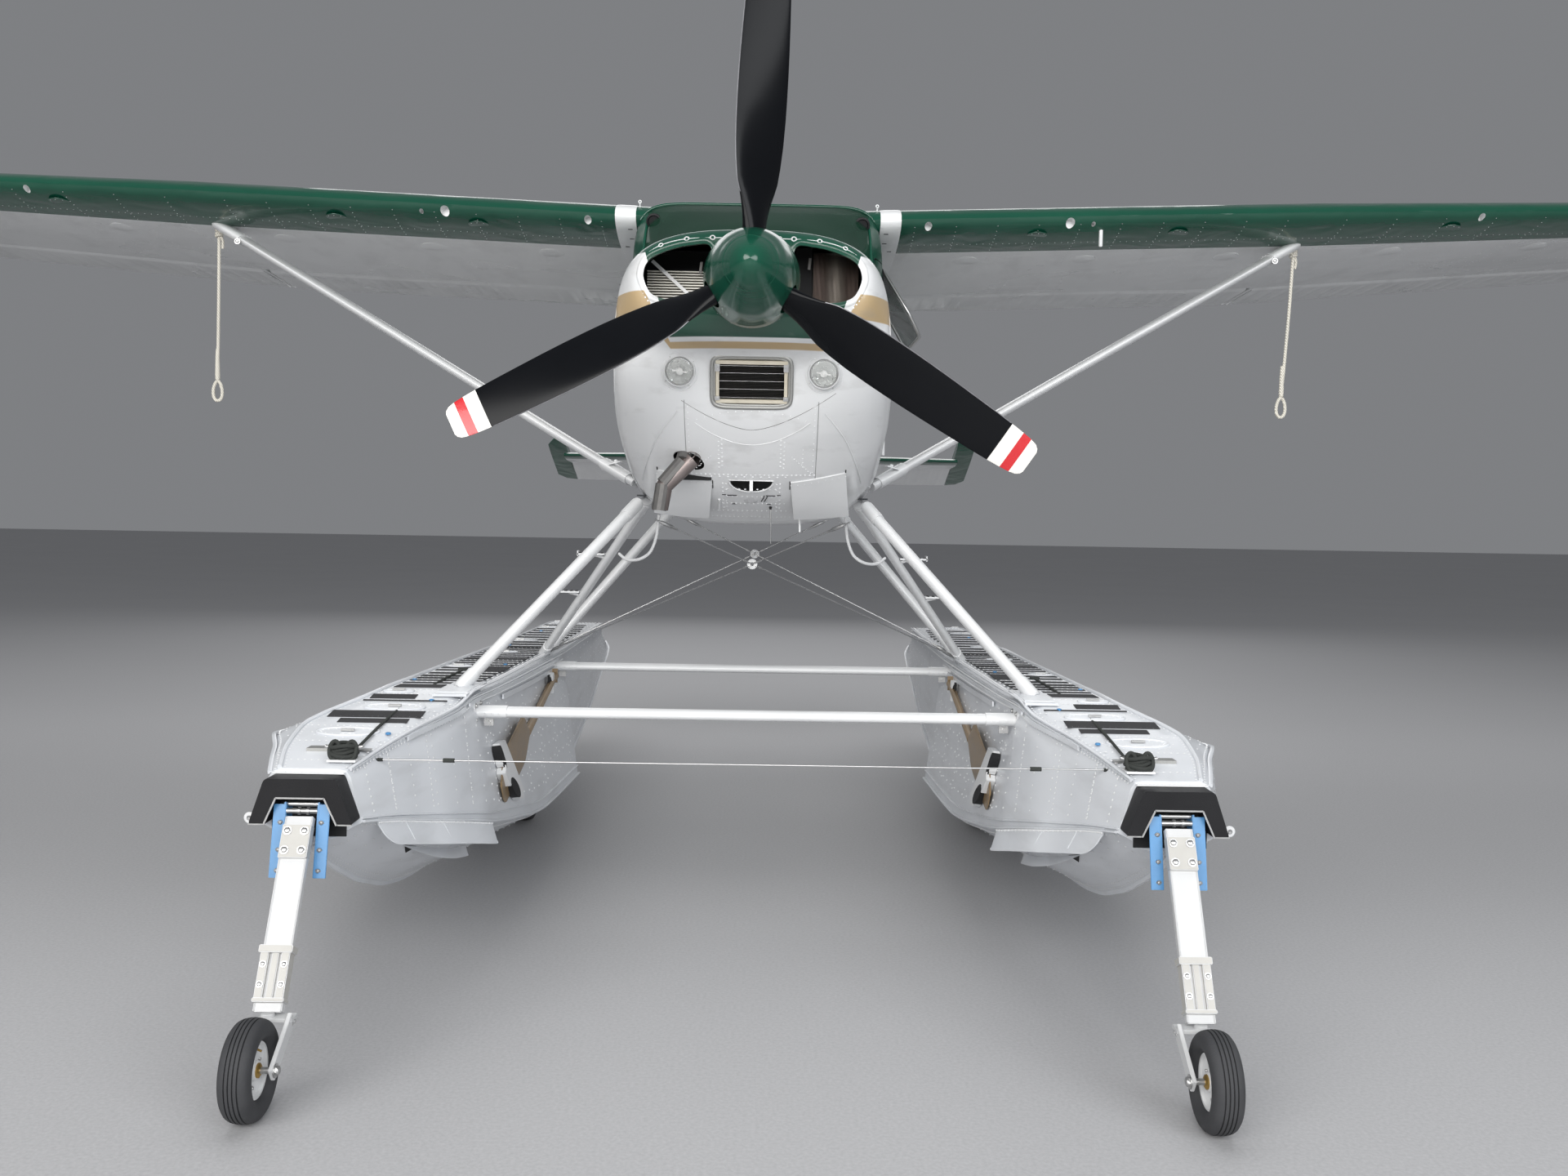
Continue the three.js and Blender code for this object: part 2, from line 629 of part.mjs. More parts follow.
function seat(x0, x1, front, base, backTop) {
  return union(
    box(x0, x1, front, front + 480, base, base + 130),
    bar(
      [(x0 + x1) / 2, front + 420, base + 60], [(x0 + x1) / 2, front + 560, backTop],
      x1 - x0, 100, [1, 0, 0],
    ),
    box(x0 + 90, x0 + 120, front + 40, front + 400, FLOOR_Z + SEAM, base + 10),
    box(x1 - 120, x1 - 90, front + 40, front + 400, FLOOR_Z + SEAM, base + 10),
  );
}
add('front_seat_left', 'leather', seat(45, 465, 1660, 1930, 2560));
add('front_seat_right', 'leather', seat(-465, -45, 1660, 1930, 2560));
add('rear_seat', 'leather', seat(-430, 430, 2560, 1930, 2500));

// Tail: cone, stabilizer, elevator, fin and rudder.
// x, nose y, nose z, back y, back z, thickness as a share of the chord
const STAB_ROWS = [
  [0, 5760, 2052, STAB_HINGE_Y + 420, STAB_Z - 6, 0.07],
  [HORN_IN_X, 6060, 2050, STAB_HINGE_Y + 400, STAB_Z - 4, 0.07],
  [TAIL_TIP_X - 60, 6110, 2048, STAB_HINGE_Y + 380, STAB_Z - 3, 0.06],
  [TAIL_TIP_X, 6230, 2044, STAB_HINGE_Y + 300, STAB_Z - 2, 0.03],
];

function planeRing([x, noseY, noseZ, backY, backZ, thick], side, grow) {
  const chord = backY - noseY;
  const a = Math.atan2(noseZ - backZ, chord);
  return foilSection(chord, thick, 0, grow, 4).map(([u, v]) => new THREE.Vector3(
    side * x,
    noseY + u * Math.cos(a) + v * Math.sin(a),
    noseZ - u * Math.sin(a) + v * Math.cos(a),
  ));
}

function tailplane(grow) {
  const rows = STAB_ROWS.slice(1).reverse().map((row) => planeRing(row, -1, grow));
  STAB_ROWS.forEach((row) => rows.push(planeRing(row, 1, grow)));
  return loft(rows);
}

const plane = tailplane(0);
const elevatorHalf = 24;
const stabCut = box(-HORN_IN_X, HORN_IN_X, 5000, STAB_HINGE_Y - elevatorHalf - CLEAR, 1800, 2200);
let stabilizer = plane.intersect(stabCut);
[-1, 1].forEach((side) => {
  const x = [side * 190, side * 202].sort((a, b) => a - b);
  stabilizer = stabilizer.add(box(
    x[0],
    x[1],
    STAB_HINGE_Y - 60,
    STAB_HINGE_Y - elevatorHalf - 0.5,
    STAB_Z - 6,
    STAB_Z + 8,
  ));
});
add('stabilizer', 'white', stabilizer);

let elevator = rod([-HORN_IN_X, STAB_HINGE_Y, STAB_Z], [HORN_IN_X, STAB_HINGE_Y, STAB_Z], 17, 12);
[-1, 1].forEach((side) => {
  const inner = [side * ELEVATOR_IN_X, side * 1700].sort((a, b) => a - b);
  const horn = [side * (HORN_IN_X + CLEAR), side * 1700].sort((a, b) => a - b);
  elevator = elevator.add(plane.intersect(box(inner[0], inner[1], STAB_HINGE_Y, 7100, 1800, 2200)));
  elevator = elevator.add(plane.intersect(box(horn[0], horn[1], 6000, 7100, 1800, 2200)));
  elevator = elevator.add(rod(
    [side * ELEVATOR_IN_X, STAB_HINGE_Y, STAB_Z],
    [side * (HORN_IN_X + CLEAR + 10), STAB_HINGE_Y, STAB_Z],
    elevatorHalf,
    14,
    20,
  ));
});
const elevatorPivot = new THREE.Group();
elevatorPivot.position.set(0, STAB_HINGE_Y, STAB_Z);
elevatorPivot.rotation.x = -THREE.MathUtils.degToRad(ELEVATOR_DROOP_DEG);
aircraft.add(elevatorPivot);
add('elevator', 'white', elevator, [0, -STAB_HINGE_Y, -STAB_Z], elevatorPivot);

const tailWall = 8;
const tailHollow = loft(TAIL_ROWS.slice(0, 4).map((row, i) => {
  const moved = [...row];
  if (i === 0) moved[0] -= 30;
  if (i === 3) moved[0] = 5900;
  return bodyRing(moved, -tailWall);
}));
let tail = bodyLoft(TAIL_ROWS).subtract(tailHollow).subtract(tailplane(SEAM).intersect(stabCut));
tail = tail.subtract(box(-300, 300, STAB_HINGE_Y - 40, STAB_HINGE_Y + 34, STAB_Z - 34, STAB_Z + 60));
add('tail_cone', 'white', tail);

// z, nose y, back y, thickness in mm
const FIN_ROWS = [
  [2060, 5300, 7480, 92],
  [2300, 5640, 7480, 88],
  [2560, 5910, 7460, 80],
  [3000, 6190, 7410, 66],
  [3380, 6400, 7340, 50],
  [3470, 6480, 7310, 36],
  [3520, 6640, 7230, 12],
];

function finRing([z, noseY, backY, thick]) {
  const chord = backY - noseY;
  return foilSection(chord, thick / chord, 0, 0, 4).map(([u, v]) => new THREE.Vector3(v, noseY + u, z));
}

const finWhole = loft(FIN_ROWS.map(finRing));
const rudderHalf = 26;
const finPart = box(-200, 200, 5000, RUDDER_HINGE_Y - rudderHalf - CLEAR, 2000, 3600);
const finLug = box(-8, 8, RUDDER_HINGE_Y - 60, RUDDER_HINGE_Y - rudderHalf - 0.1, 2130, 2145);
add('fin', 'green', finWhole.intersect(finPart).add(finLug).subtract(tailGrown));
let rudder = finWhole.intersect(box(-200, 200, RUDDER_HINGE_Y, 7600, 2080, 3600));
rudder = rudder.add(rod([0, RUDDER_HINGE_Y, 2080], [0, RUDDER_HINGE_Y, 3500], rudderHalf, 20, 10));
rudder = rudder.add(
  bar([0, RUDDER_HINGE_Y - 10, 2000], [0, RUDDER_HINGE_Y + 440, 2040], 170, 40, [0, 0, 1]),
);
add('rudder', 'green', rudder);

// Wings with flaps, ailerons and lift struts.
const liftStrutsGrown = {};
SIDES.forEach(([name, side]) => {
  const whole = loft(WING_ROWS.map((row) => wingRing(row, side, 0)));
  const grown = loft(WING_ROWS.map((row) => wingRing(row, side, SEAM)));
  let wing = whole;
  SURFACES.forEach((surface) => {
    const line = hingeLine(surface);
    const half = Math.max(line[0].half, line[1].half);
    wing = wing.subtract(surfaceBlock(line, side, CLEAR + 1, half + CLEAR));
    wing = union(wing, ...hingeLugs(line, side, half + CLEAR, NOSE_FIT));
    const moving = whole.intersect(surfaceBlock(line, side, 0, 0))
      .add(hingeTube(line, side, NOSE_FIT, 0));
    add(`${surface[0]}_${name}`, 'white', moving);
  });
  add(`wing_${name}`, 'white', wing.subtract(cabinGrown).subtract(tailGrown));

  const strutFoot = [side * 505, 1465, 1772];
  const strutHead = [side * 2560, 2050, WING_Z + 5];
  add(`wing_strut_${name}`, 'white', strut(strutFoot, strutHead, 118, 44, [0, 1, 0])
    .subtract(grown).subtract(cabinGrown));
  liftStrutsGrown[name] = strut(strutFoot, strutHead, 119, 45, [0, 1, 0]);
});

// Float hulls. Columns: y, deck half width, deck z, slope start, outer shoulder z,
// chine half width, chine z, keel z
const FLOAT_FORE = [
  [-342, 138, 878, 103, 862, 168, 700, 632],
  [-180, 190, 905, 142, 878, 222, 672, 540],
  [20, 246, 939, 146, 890, 280, 625, 449],
  [120, 270, 956, 112, 886, 307, 602, 405],
  [280, 312, 978, 55, 872, 350, 564, 351],
  [460, 322, 1000, 0, 850, 388, 520, 296],
  [900, 330, 990, 0, 838, 396, 435, 224],
  [1600, 330, 974, 0, 822, 402, 327, 180],
  [STEP_Y, 330, 950, 0, 798, 416, 288, 150],
];
const FLOAT_AFT = [
  [STEP_Y - 40, 329, 949, 0, 797, 350, 312, 226],
  [3500, 329, 934, 0, 784, 334, 452, 372],
  [4300, 312, 918, 10, 784, 306, 574, 505],
  [5000, 215, 852, 40, 778, 282, 676, 622],
  [STERN_Y, 165, 832, 50, 780, 230, 712, 668],
];

function hullRing([y, deck, deckZ, flat, shoulderZ, chine, chineZ, keelZ], side, grow) {
  // Towards the fuselage is negative for the left float.
  const inward = -side;
  const rows = [
    [deck + grow, deckZ + grow], [-flat, deckZ + grow], [-deck - grow, shoulderZ + grow * 0.5],
    [-chine - grow, chineZ - grow], [-chine * 0.5, (chineZ + keelZ) / 2 - 14 - grow * 2],
    [0, keelZ - grow * 2],
    [chine * 0.5, (chineZ + keelZ) / 2 - 14 - grow * 2], [chine + grow, chineZ - grow],
  ];
  return rows.map(([s, z]) => new THREE.Vector3(side * FLOAT_X + inward * s, y, z));
}

// A row of the fore table at any station.
function foreRow(y) {
  const next = Math.max(1, FLOAT_FORE.findIndex((row) => row[0] >= y));
  const [a, b] = [FLOAT_FORE[next - 1], FLOAT_FORE[next]];
  const t = (y - a[0]) / (b[0] - a[0]);
  return a.map((value, k) => value + (b[k] - value) * t);
}

// Spray plates: thin walls that hang below the chines of the bow.
const SPRAY_STATIONS = [-262, -230, -180, -80, 20, 120, 280, 460];
const SPRAY_DROP = 76;
const SPRAY_REACH = 28;
const SPRAY_THICK = 5;
const SPRAY_RISE = 14;
function sprayPlate(side) {
  return loft(SPRAY_STATIONS.map((y, k) => {
    const [, , , , , chine, chineZ] = foreRow(y);
    const share = [0.3, 0.75, 1][Math.min(k, 2)];
    const foot = [chine + SPRAY_REACH * share, chineZ - SPRAY_DROP * share];
    return [
      [chine - SPRAY_THICK, chineZ + SPRAY_RISE], [foot[0] - SPRAY_THICK, foot[1]],
      foot, [chine + 2, chineZ + SPRAY_RISE],
    ].map(([s, z]) => new THREE.Vector3(side * FLOAT_X - side * s, y, z));
  }));
}

function hull(side, grow = 0) {
  const stretched = (rows) => rows.map((row, i) => {
    const moved = [...row];
    if (grow && i === 0) moved[0] -= grow;
    if (grow && i === rows.length - 1) moved[0] += grow;
    return moved;
  });
  return union(
    loft(stretched(FLOAT_FORE).map((row) => hullRing(row, side, grow))),
    loft(stretched(FLOAT_AFT).map((row) => hullRing(row, side, grow))),
  );
}

const WELL_TOP = 425;
SIDES.forEach(([name, side]) => {
  const cx = side * FLOAT_X;
  const well = box(cx - 222, cx + 222, STEP_Y + 15, 3060, 50, WELL_TOP);
  const sternLugs = [715, 790].map((z) => box(cx - 16, cx + 16, STERN_Y - 30, 5273.4, z - 8, z + 8));
  add(`float_hull_${name}`, 'white', union(hull(side).subtract(well), sprayPlate(side), ...sternLugs));
  const grown = hull(side, SEAM);

  // Bow bumper with the slot that the nose leg passes through.
  const bumperRing = (y) => [[-155, 712], [155, 712], [107, 850], [-107, 850]]
    .map(([s, z]) => new THREE.Vector3(cx + s, y, z));
  const slotRing = (y) => [[-118, 690], [118, 690], [71, 793], [-71, 793]]
    .map(([s, z]) => new THREE.Vector3(cx + s, y, z));
  add(`bow_bumper_${name}`, 'rubber', loft([bumperRing(-430), bumperRing(-335)])
    .subtract(grown).subtract(loft([slotRing(-500), slotRing(-300)])));

  // Nose leg: leaf, end plates and the side rails by its pivot.
  const legTop = [cx, -423.6, 735];
  const legFoot = [cx, -698, 244];
  const leaf = bar(legTop, legFoot, 82, 20, [1, 0, 0]);
  const plateTop = bar([cx, -440, 713], [cx, -489, 625], 84, 34, [1, 0, 0]);
  const plateFoot = bar([cx, -615, 393], [cx, -690, 258], 88, 44, [1, 0, 0]);
  const rails = [-1, 1].flatMap((s) => [
    bar([cx + s * 50, -380, 770], [cx + s * 50, -431, 560], 60, 6, [0, 1, 0]),
    bar([cx + s * 60, -407, 770], [cx + s * 60, -458, 560], 6, 26, [0, 1, 0]),
  ]);
  const pin = rod([cx - 96.1, -418, 725], [cx + 96.1, -418, 725], 12);
  add(`nose_leg_${name}`, 'white', union(leaf, plateTop, plateFoot, ...rails, pin)
    .subtract(grown).subtract(box(cx - 60, cx + 60, -760, -640, 200, 244)));

  // Caster fork and nose wheel; the fork's arm is on the inboard side.
  const armX = cx - side * 64;
  const fork = union(
    rod([cx, CASTER_Y, 224], [cx, CASTER_Y, 243.5], 19, 16),
    box(
      Math.min(armX - 8, cx + side * 26), Math.max(armX + 8, cx + side * 26),
      CASTER_Y - 19, CASTER_Y + 30, 222, 234,
    ),
    bar([armX, CASTER_Y + 6, 226], [armX, NOSE_WHEEL.y - 14, NOSE_WHEEL.r - 9], 12, 40, [1, 0, 0]),
    rod([armX, NOSE_WHEEL.y, NOSE_WHEEL.r], [cx + side * 40, NOSE_WHEEL.y, NOSE_WHEEL.r], 9),
  );
  add(`nose_fork_${name}`, 'white', fork);
  const w = NOSE_WHEEL.w / 2;
  const r = NOSE_WHEEL.r;
  const tyre = turned([
    [9.5, -26], [26, -26], [26, -14], [72, -14], [79, -w + 10], [104, -w], [126, -w + 12],
    [r, -16], [r, 16], [126, w - 12], [104, w], [79, w - 10],
    [72, 14], [26, 14], [26, 26], [9.5, 26], [9.5, -26],
  ], 24);
  const wheel = add(`nose_wheel_${name}`, 'rubber', tyre, [cx, NOSE_WHEEL.y, NOSE_WHEEL.r]);
  wheel.rotation.z = -Math.PI / 2;

  // Main leg with an eye round the hub tube of its twin wheels.
  const m = MAIN_WHEEL;
  const eye = rod([cx - 24, m.y, m.r], [cx + 24, m.y, m.r], 62, 20)
    .subtract(rod([cx - 30, m.y, m.r], [cx + 30, m.y, m.r], 36.6, 24));
  const leg = bar([cx, m.y + 60, m.r + 20], [cx, 2990, WELL_TOP - SEAM + 60], 44, 90, [1, 0, 0])
    .intersect(box(cx - 100, cx + 100, 2500, 3200, 100, WELL_TOP - SEAM))
    .subtract(rod([cx - 60, m.y, m.r], [cx + 60, m.y, m.r], 50, 20));
  add(`main_leg_${name}`, 'steel', union(eye, leg));
  const half = m.w / 2;
  const profile = [[15, -m.half_track - 40], [36, -m.half_track - 40]];
  [-m.half_track, m.half_track].forEach((c) => {
    profile.push([36, c - 22], [88, c - 22], [94, c - half + 8], [130, c - half], [m.r - 12, c - half + 16]);
    profile.push([m.r, c - 26], [m.r, c + 26]);
    profile.push([m.r - 12, c + half - 16], [130, c + half], [94, c + half - 8], [88, c + 22], [36, c + 22]);
  });
  profile.push([36, m.half_track + 40], [15, m.half_track + 40], [15, -m.half_track - 40]);
  const twins = add(`main_wheels_${name}`, 'rubber', turned(profile, 24), [cx, m.y, m.r]);
  twins.rotation.z = -Math.PI / 2;

  // Water rudder, lifted behind the stern.
  const bladeOutline = [[5300, 700], [5330, 640], [5560, 650], [5640, 690], [5560, 780], [5330, 800]];
  const blade = sidePrism(bladeOutline, cx - 7, cx + 7);
  add(`water_rudder_${name}`, 'white', union(blade, rod([cx, 5296, 690], [cx, 5296, 830], 22, 14)));
});

// Spreader bars and float struts.
const hulls = SIDES.map(([, side]) => hull(side, SEAM));
function clearOfHulls(shape) {
  return hulls.reduce((rest, other) => rest.subtract(other), shape);
}
// name, y, z
const SPREADERS = [['front', 500, 919], ['rear', 2300, 878]];
SPREADERS.forEach(([name, y, z]) => {
  const tube = strut([-1040, y, z], [1040, y, z], 66, 40, [0, 1, 0], 12);
  add(`spreader_bar_${name}`, 'white', clearOfHulls(tube));
});

// name, foot x y z, head x y z, section chord and thickness
const FLOAT_STRUTS = [
  ['front', [1062, 572, 985], [414, 1112, 1711], 66, 46],
  ['diagonal', [1015, 2150, 950], [452, 1215, 1725], 60, 40],
  ['rear', [1022, 2262, 945], [400, 2470, 1680], 66, 46],
];
SIDES.forEach(([name, side]) => {
  FLOAT_STRUTS.forEach(([kind, foot, head, chord, thick]) => {
    const at = ([x, y, z]) => [side * x, y, z];
    const piece = strut(at(foot), at(head), chord, thick, [0, 1, 0], 12);
    add(`float_strut_${kind}_${name}`, 'white', clearOfHulls(piece)
      .subtract(cabinGrown).subtract(cowlGrown));
  });
});

// Crossed brace wires between the struts, each pair joined by the disc at its crossing.
// name, head x y z, foot x y z
const BRACES = [
  ['front', [405, 1150, 1640], [1040, 2205, 950]],
  ['rear', [372, 2462, 1640], [1040, 2330, 950]],
];
BRACES.forEach(([name, head, foot]) => {
  const f = head[0] / (head[0] + foot[0]);
  const cross = [0, head[1] + f * (foot[1] - head[1]), head[2] + f * (foot[2] - head[2])];
  const wires = [1, -1].map((side) => rod(
    [side * head[0], head[1], head[2]],
    [-side * foot[0], foot[1], foot[2]],
    3,
    8,
  ));
  const plate = rod([0, cross[1] - 5, cross[2]], [0, cross[1] + 5, cross[2]], 22, 16);
  add(`brace_wires_${name}`, 'steel', clearOfHulls(union(plate, ...wires))
    .subtract(cabinGrown));
});

// Tie-down ropes, hanging from the lift struts' heads.
const ROPE_RADIUS = 6;
// side name, top x y z, sideways drift at the bottom, length
const ROPES = [['left', 2520, 2060, 2945, -34, 800], ['right', -2520, 2060, 2945, -12, 810]];
ROPES.forEach(([name, x, y, z, drift, length]) => {
  const curve = new THREE.CatmullRomCurve3([
    new THREE.Vector3(x, y, z),
    new THREE.Vector3(x + drift * 0.35, y, z - length * 0.4),
    new THREE.Vector3(x + drift, y, z - length),
  ]);
  const section = new THREE.Shape(circlePoints(8).map(
    ([c, s]) => new THREE.Vector2(c * ROPE_RADIUS, s * ROPE_RADIUS),
  ));
  const rope = new THREE.ExtrudeGeometry(section, { steps: 16, extrudePath: curve });
  add(`tie_rope_${name}`, 'rope', solid(orient(rope)).subtract(liftStrutsGrown[name]));
});

export default model;
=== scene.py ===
# Looks of a floatplane on amphibious floats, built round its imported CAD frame.
# Lengths in the tables are millimetres at working stations: Y is counted aft from
# the propeller plane. piece() turns them into metres in the row frame.
import json
import math

import bmesh
import bpy
import numpy as np
from mathutils import Matrix, Vector


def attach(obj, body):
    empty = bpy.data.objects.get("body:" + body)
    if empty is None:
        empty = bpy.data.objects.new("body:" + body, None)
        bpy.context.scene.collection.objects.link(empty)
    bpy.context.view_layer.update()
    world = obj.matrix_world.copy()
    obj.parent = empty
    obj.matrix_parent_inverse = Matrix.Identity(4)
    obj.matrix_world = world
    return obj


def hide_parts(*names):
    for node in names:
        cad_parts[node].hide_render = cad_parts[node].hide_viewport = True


MIDDLE_STATION = 3251.25
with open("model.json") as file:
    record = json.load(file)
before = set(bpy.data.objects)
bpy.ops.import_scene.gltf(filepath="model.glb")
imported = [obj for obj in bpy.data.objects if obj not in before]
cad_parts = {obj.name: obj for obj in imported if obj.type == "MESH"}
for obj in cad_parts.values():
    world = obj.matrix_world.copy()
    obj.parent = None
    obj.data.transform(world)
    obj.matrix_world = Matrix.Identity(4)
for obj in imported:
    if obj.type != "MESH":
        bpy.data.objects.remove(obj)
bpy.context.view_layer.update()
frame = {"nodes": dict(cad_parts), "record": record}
SIDES = (("left", 1), ("right", -1))


# Camera
def make_camera():
    roll, pitch, yaw = math.radians(0.97), math.radians(3.35), math.radians(0.66)
    ahead = Vector((math.sin(yaw) * math.cos(pitch), math.cos(yaw) * math.cos(pitch), -math.sin(pitch)))
    right = Vector((math.cos(yaw), -math.sin(yaw), 0))
    down = ahead.cross(right)
    x = right * math.cos(roll) - down * math.sin(roll)
    y = -(right * math.sin(roll) + down * math.cos(roll))
    z = -ahead
    data = bpy.data.cameras.new("camera")
    data.lens, data.sensor_width = 31.69, 36
    cam = bpy.data.objects.new("camera", data)
    bpy.context.scene.collection.objects.link(cam)
    stand = (0.07, -4.5 - MIDDLE_STATION / 1000, 1.68)
    rows = [(x[i], y[i], z[i], stand[i]) for i in range(3)]
    cam.matrix_world = Matrix((*rows, (0, 0, 0, 1)))
    bpy.context.scene.camera = cam


make_camera()


# Materials
class Val:
    """A number inside a material, with arithmetic."""

    def __init__(self, tree, socket):
        self.tree, self.socket = tree, socket

    def op(self, kind, *others, clamp=False):
        node = self.tree.nodes.new("ShaderNodeMath")
        node.operation, node.use_clamp = kind, clamp
        for i, item in enumerate((self, *others)):
            if isinstance(item, Val):
                self.tree.links.new(item.socket, node.inputs[i])
            else:
                node.inputs[i].default_value = item
        return Val(self.tree, node.outputs[0])

    def __add__(self, o):
        return self.op("ADD", o)

    def __sub__(self, o):
        return self.op("SUBTRACT", o)

    def __mul__(self, o):
        return self.op("MULTIPLY", o)

    def __truediv__(self, o):
        return self.op("DIVIDE", o)

    __radd__, __rmul__ = __add__, __mul__

    def __rsub__(self, o):
        return self.op("MULTIPLY", -1.0).op("ADD", o)

    def abs(self):
        return self.op("ABSOLUTE")

    def above(self, edge, soft=0.0015):
        """0 below the edge and 1 above it."""
        return ((self - edge) / (2 * soft)).op("ADD", 0.5, clamp=True)

    def line(self, at, half, soft=0.0008):
        """1 within half of a value, 0 elsewhere."""
        return 1 - (self - at).abs().above(half, soft)

    def repeat(self, step):
        """Distance from the nearest multiple of step."""
        return ((self / step).op("FRACT") - 0.5).abs() * step


class Finish:
    """A procedural material whose patterns are placed in the row frame, in metres."""

    def __init__(self, name, rough=0.4, metal=0.0, coat=0.0, alpha=1.0):
        self.mat = bpy.data.materials.new(name)
        self.mat.use_nodes = True
        self.tree = self.mat.node_tree
        self.bsdf = self.tree.nodes["Principled BSDF"]
        self.bsdf.inputs["Metallic"].default_value = metal
        self.bsdf.inputs["Roughness"].default_value = rough
        self.bsdf.inputs["Coat Weight"].default_value = coat
        self.bsdf.inputs["Coat Roughness"].default_value = 0.06
        self.bsdf.inputs["Alpha"].default_value = alpha
        coords = self.tree.nodes.new("ShaderNodeTexCoord")
        self.where = coords.outputs["Object"]
        split = self.tree.nodes.new("ShaderNodeSeparateXYZ")
        self.tree.links.new(self.where, split.inputs[0])
        self.x, self.y, self.z = (Val(self.tree, s) for s in split.outputs)
        self.station = self.y + MIDDLE_STATION / 1000

    def noise(self, scale, detail=2.0, stretch=(1, 1, 1), distort=0.0):
        place = self.tree.nodes.new("ShaderNodeMapping")
        place.inputs["Scale"].default_value = stretch
        self.tree.links.new(self.where, place.inputs["Vector"])
        node = self.tree.nodes.new("ShaderNodeTexNoise")
        node.inputs["Scale"].default_value = scale
        node.inputs["Detail"].default_value = detail
        node.inputs["Distortion"].default_value = distort
        self.tree.links.new(place.outputs[0], node.inputs["Vector"])
        return Val(self.tree, node.outputs[0])

    def mix(self, share, a, b):
        node = self.tree.nodes.new("ShaderNodeMix")
        node.data_type = "RGBA"
        for socket, item in ((node.inputs[0], share), (node.inputs[6], a), (node.inputs[7], b)):
            if isinstance(item, Val):
                self.tree.links.new(item.socket, socket)
            elif isinstance(item, tuple):
                socket.default_value = (*item, 1)
            elif isinstance(item, (int, float)):
                socket.default_value = item
            else:
                self.tree.links.new(item, socket)
        return node.outputs[2]

    def done(self, colour, rough=None, height=None):
        self.tree.links.new(colour, self.bsdf.inputs["Base Color"])
        if rough is not None:
            self.tree.links.new(rough.socket, self.bsdf.inputs["Roughness"])
        if height is not None:
            bump = self.tree.nodes.new("ShaderNodeBump")
            bump.inputs["Distance"].default_value = 1.0
            self.tree.links.new(height.socket, bump.inputs["Height"])
            self.tree.links.new(bump.outputs[0], self.bsdf.inputs["Normal"])
        return self.mat


def plain(
    name, dark, light, rough, metal=0.0, scale=6.0, bump=0.0002, bump_scale=120.0, coat=0.0,
    stretch=(1, 1, 1), ripple=0.0, gloss=0.5,
):
    """A surface with broad colour variation, fine grain and a little waviness."""
    f = Finish(name, rough, metal, coat)
    f.bsdf.inputs["Specular IOR Level"].default_value = gloss
    broad = f.noise(scale, 4, stretch)
    fine = f.noise(bump_scale, 2, stretch)
    height = fine * bump
    if ripple:
        height = height + f.noise(5.5, 1, (1, 1.6, 1.3), 0.6) * ripple
    return f.done(f.mix(broad, dark, light), (broad * 0.3 + 0.85) * rough, height)


WHITE_LIGHT, WHITE_DARK = (0.80, 0.805, 0.81), (0.70, 0.71, 0.715)
GREEN_LIGHT, GREEN_DARK = (0.007, 0.078, 0.045), (0.003, 0.048, 0.029)
TAN_LIGHT, TAN_DARK = (0.56, 0.42, 0.24), (0.46, 0.33, 0.18)


def livery(name, kind):
    """White, green and tan paint by place: 'cowl' has its stripes dip under the spinner."""
    f = Finish(name, 0.3, coat=0.35)
    broad = f.noise(2.5, 4)
    white = f.mix(broad, WHITE_DARK, WHITE_LIGHT)
    green = f.mix(broad, GREEN_DARK, GREEN_LIGHT)
    tan = f.mix(broad, TAN_DARK, TAN_LIGHT)
    # The side stripe drops slowly towards the tail.
    drop = (f.station - 0.45).op("MAXIMUM", 0.0)
    sweep = drop * 0.105 - (drop * drop) * 0.0072
    if kind == "cowl":
        out = ((f.x.abs() - 0.285) / 0.085).op("ADD", 0.0, clamp=True)
        out = out.op("MAXIMUM", (f.station - 0.47).above(0.0, 0.02))
        levels = ((2.261, 0.284), (2.247, 0.165), (2.227, 0.103))
        above = [(f.z - (out * rise)) + sweep for _, rise in levels]
        marks = [a.above(level) for a, (level, _) in zip(above, levels)]
    else:
        marks = [(f.z + sweep).above(level) for level in (2.545, 2.412, 2.330)]
    colour = f.mix(marks[2], white, tan)
    colour = f.mix(marks[1], colour, white)
    colour = f.mix(marks[0], colour, green)
    grime = f.noise(9, 6, (1, 0.5, 2.5)).above(0.62, 0.06) * 0.16
    colour = f.mix(grime, colour, (0.30, 0.29, 0.27))
    seams = f.station.line(0.452, 0.0012)
    if kind == "cowl":
        seams = seams * f.z.above(2.30)
    if kind == "cowl":
        seams = seams.op("MAXIMUM", f.z.line(2.30, 0.0012) * f.station.above(0.452))
        low = (1 - f.z.above(2.055)) * f.z.above(1.79)
        seams = seams.op("MAXIMUM", f.x.abs().line(0.240, 0.0013) * low)
    colour = f.mix(seams * 0.75, colour, (0.12, 0.12, 0.12))
    height = f.noise(4.5, 1, (1, 1, 1), 0.5) * 0.006 + f.noise(160, 2) * 0.00012 - seams * 0.0008
    return f.done(colour, (broad * 0.25 + 0.2), height)


def glass(name, tint, alpha):
    f = Finish(name, 0.05, alpha=alpha)
    haze = f.noise(3, 3)
    f.bsdf.inputs["IOR"].default_value = 1.5
    return f.done(
        f.mix(haze, tint, tuple(c * 1.5 for c in tint)), haze * 0.08 + 0.02, f.noise(2.5, 1) * 0.004
    )


def brushed(name, dark, light, rough, along=(1, 12, 12)):
    f = Finish(name, rough, 1.0)
    streak = f.noise(60, 3, along)
    return f.done(f.mix(streak, dark, light), streak * 0.3 + rough - 0.1, streak * 0.0001)


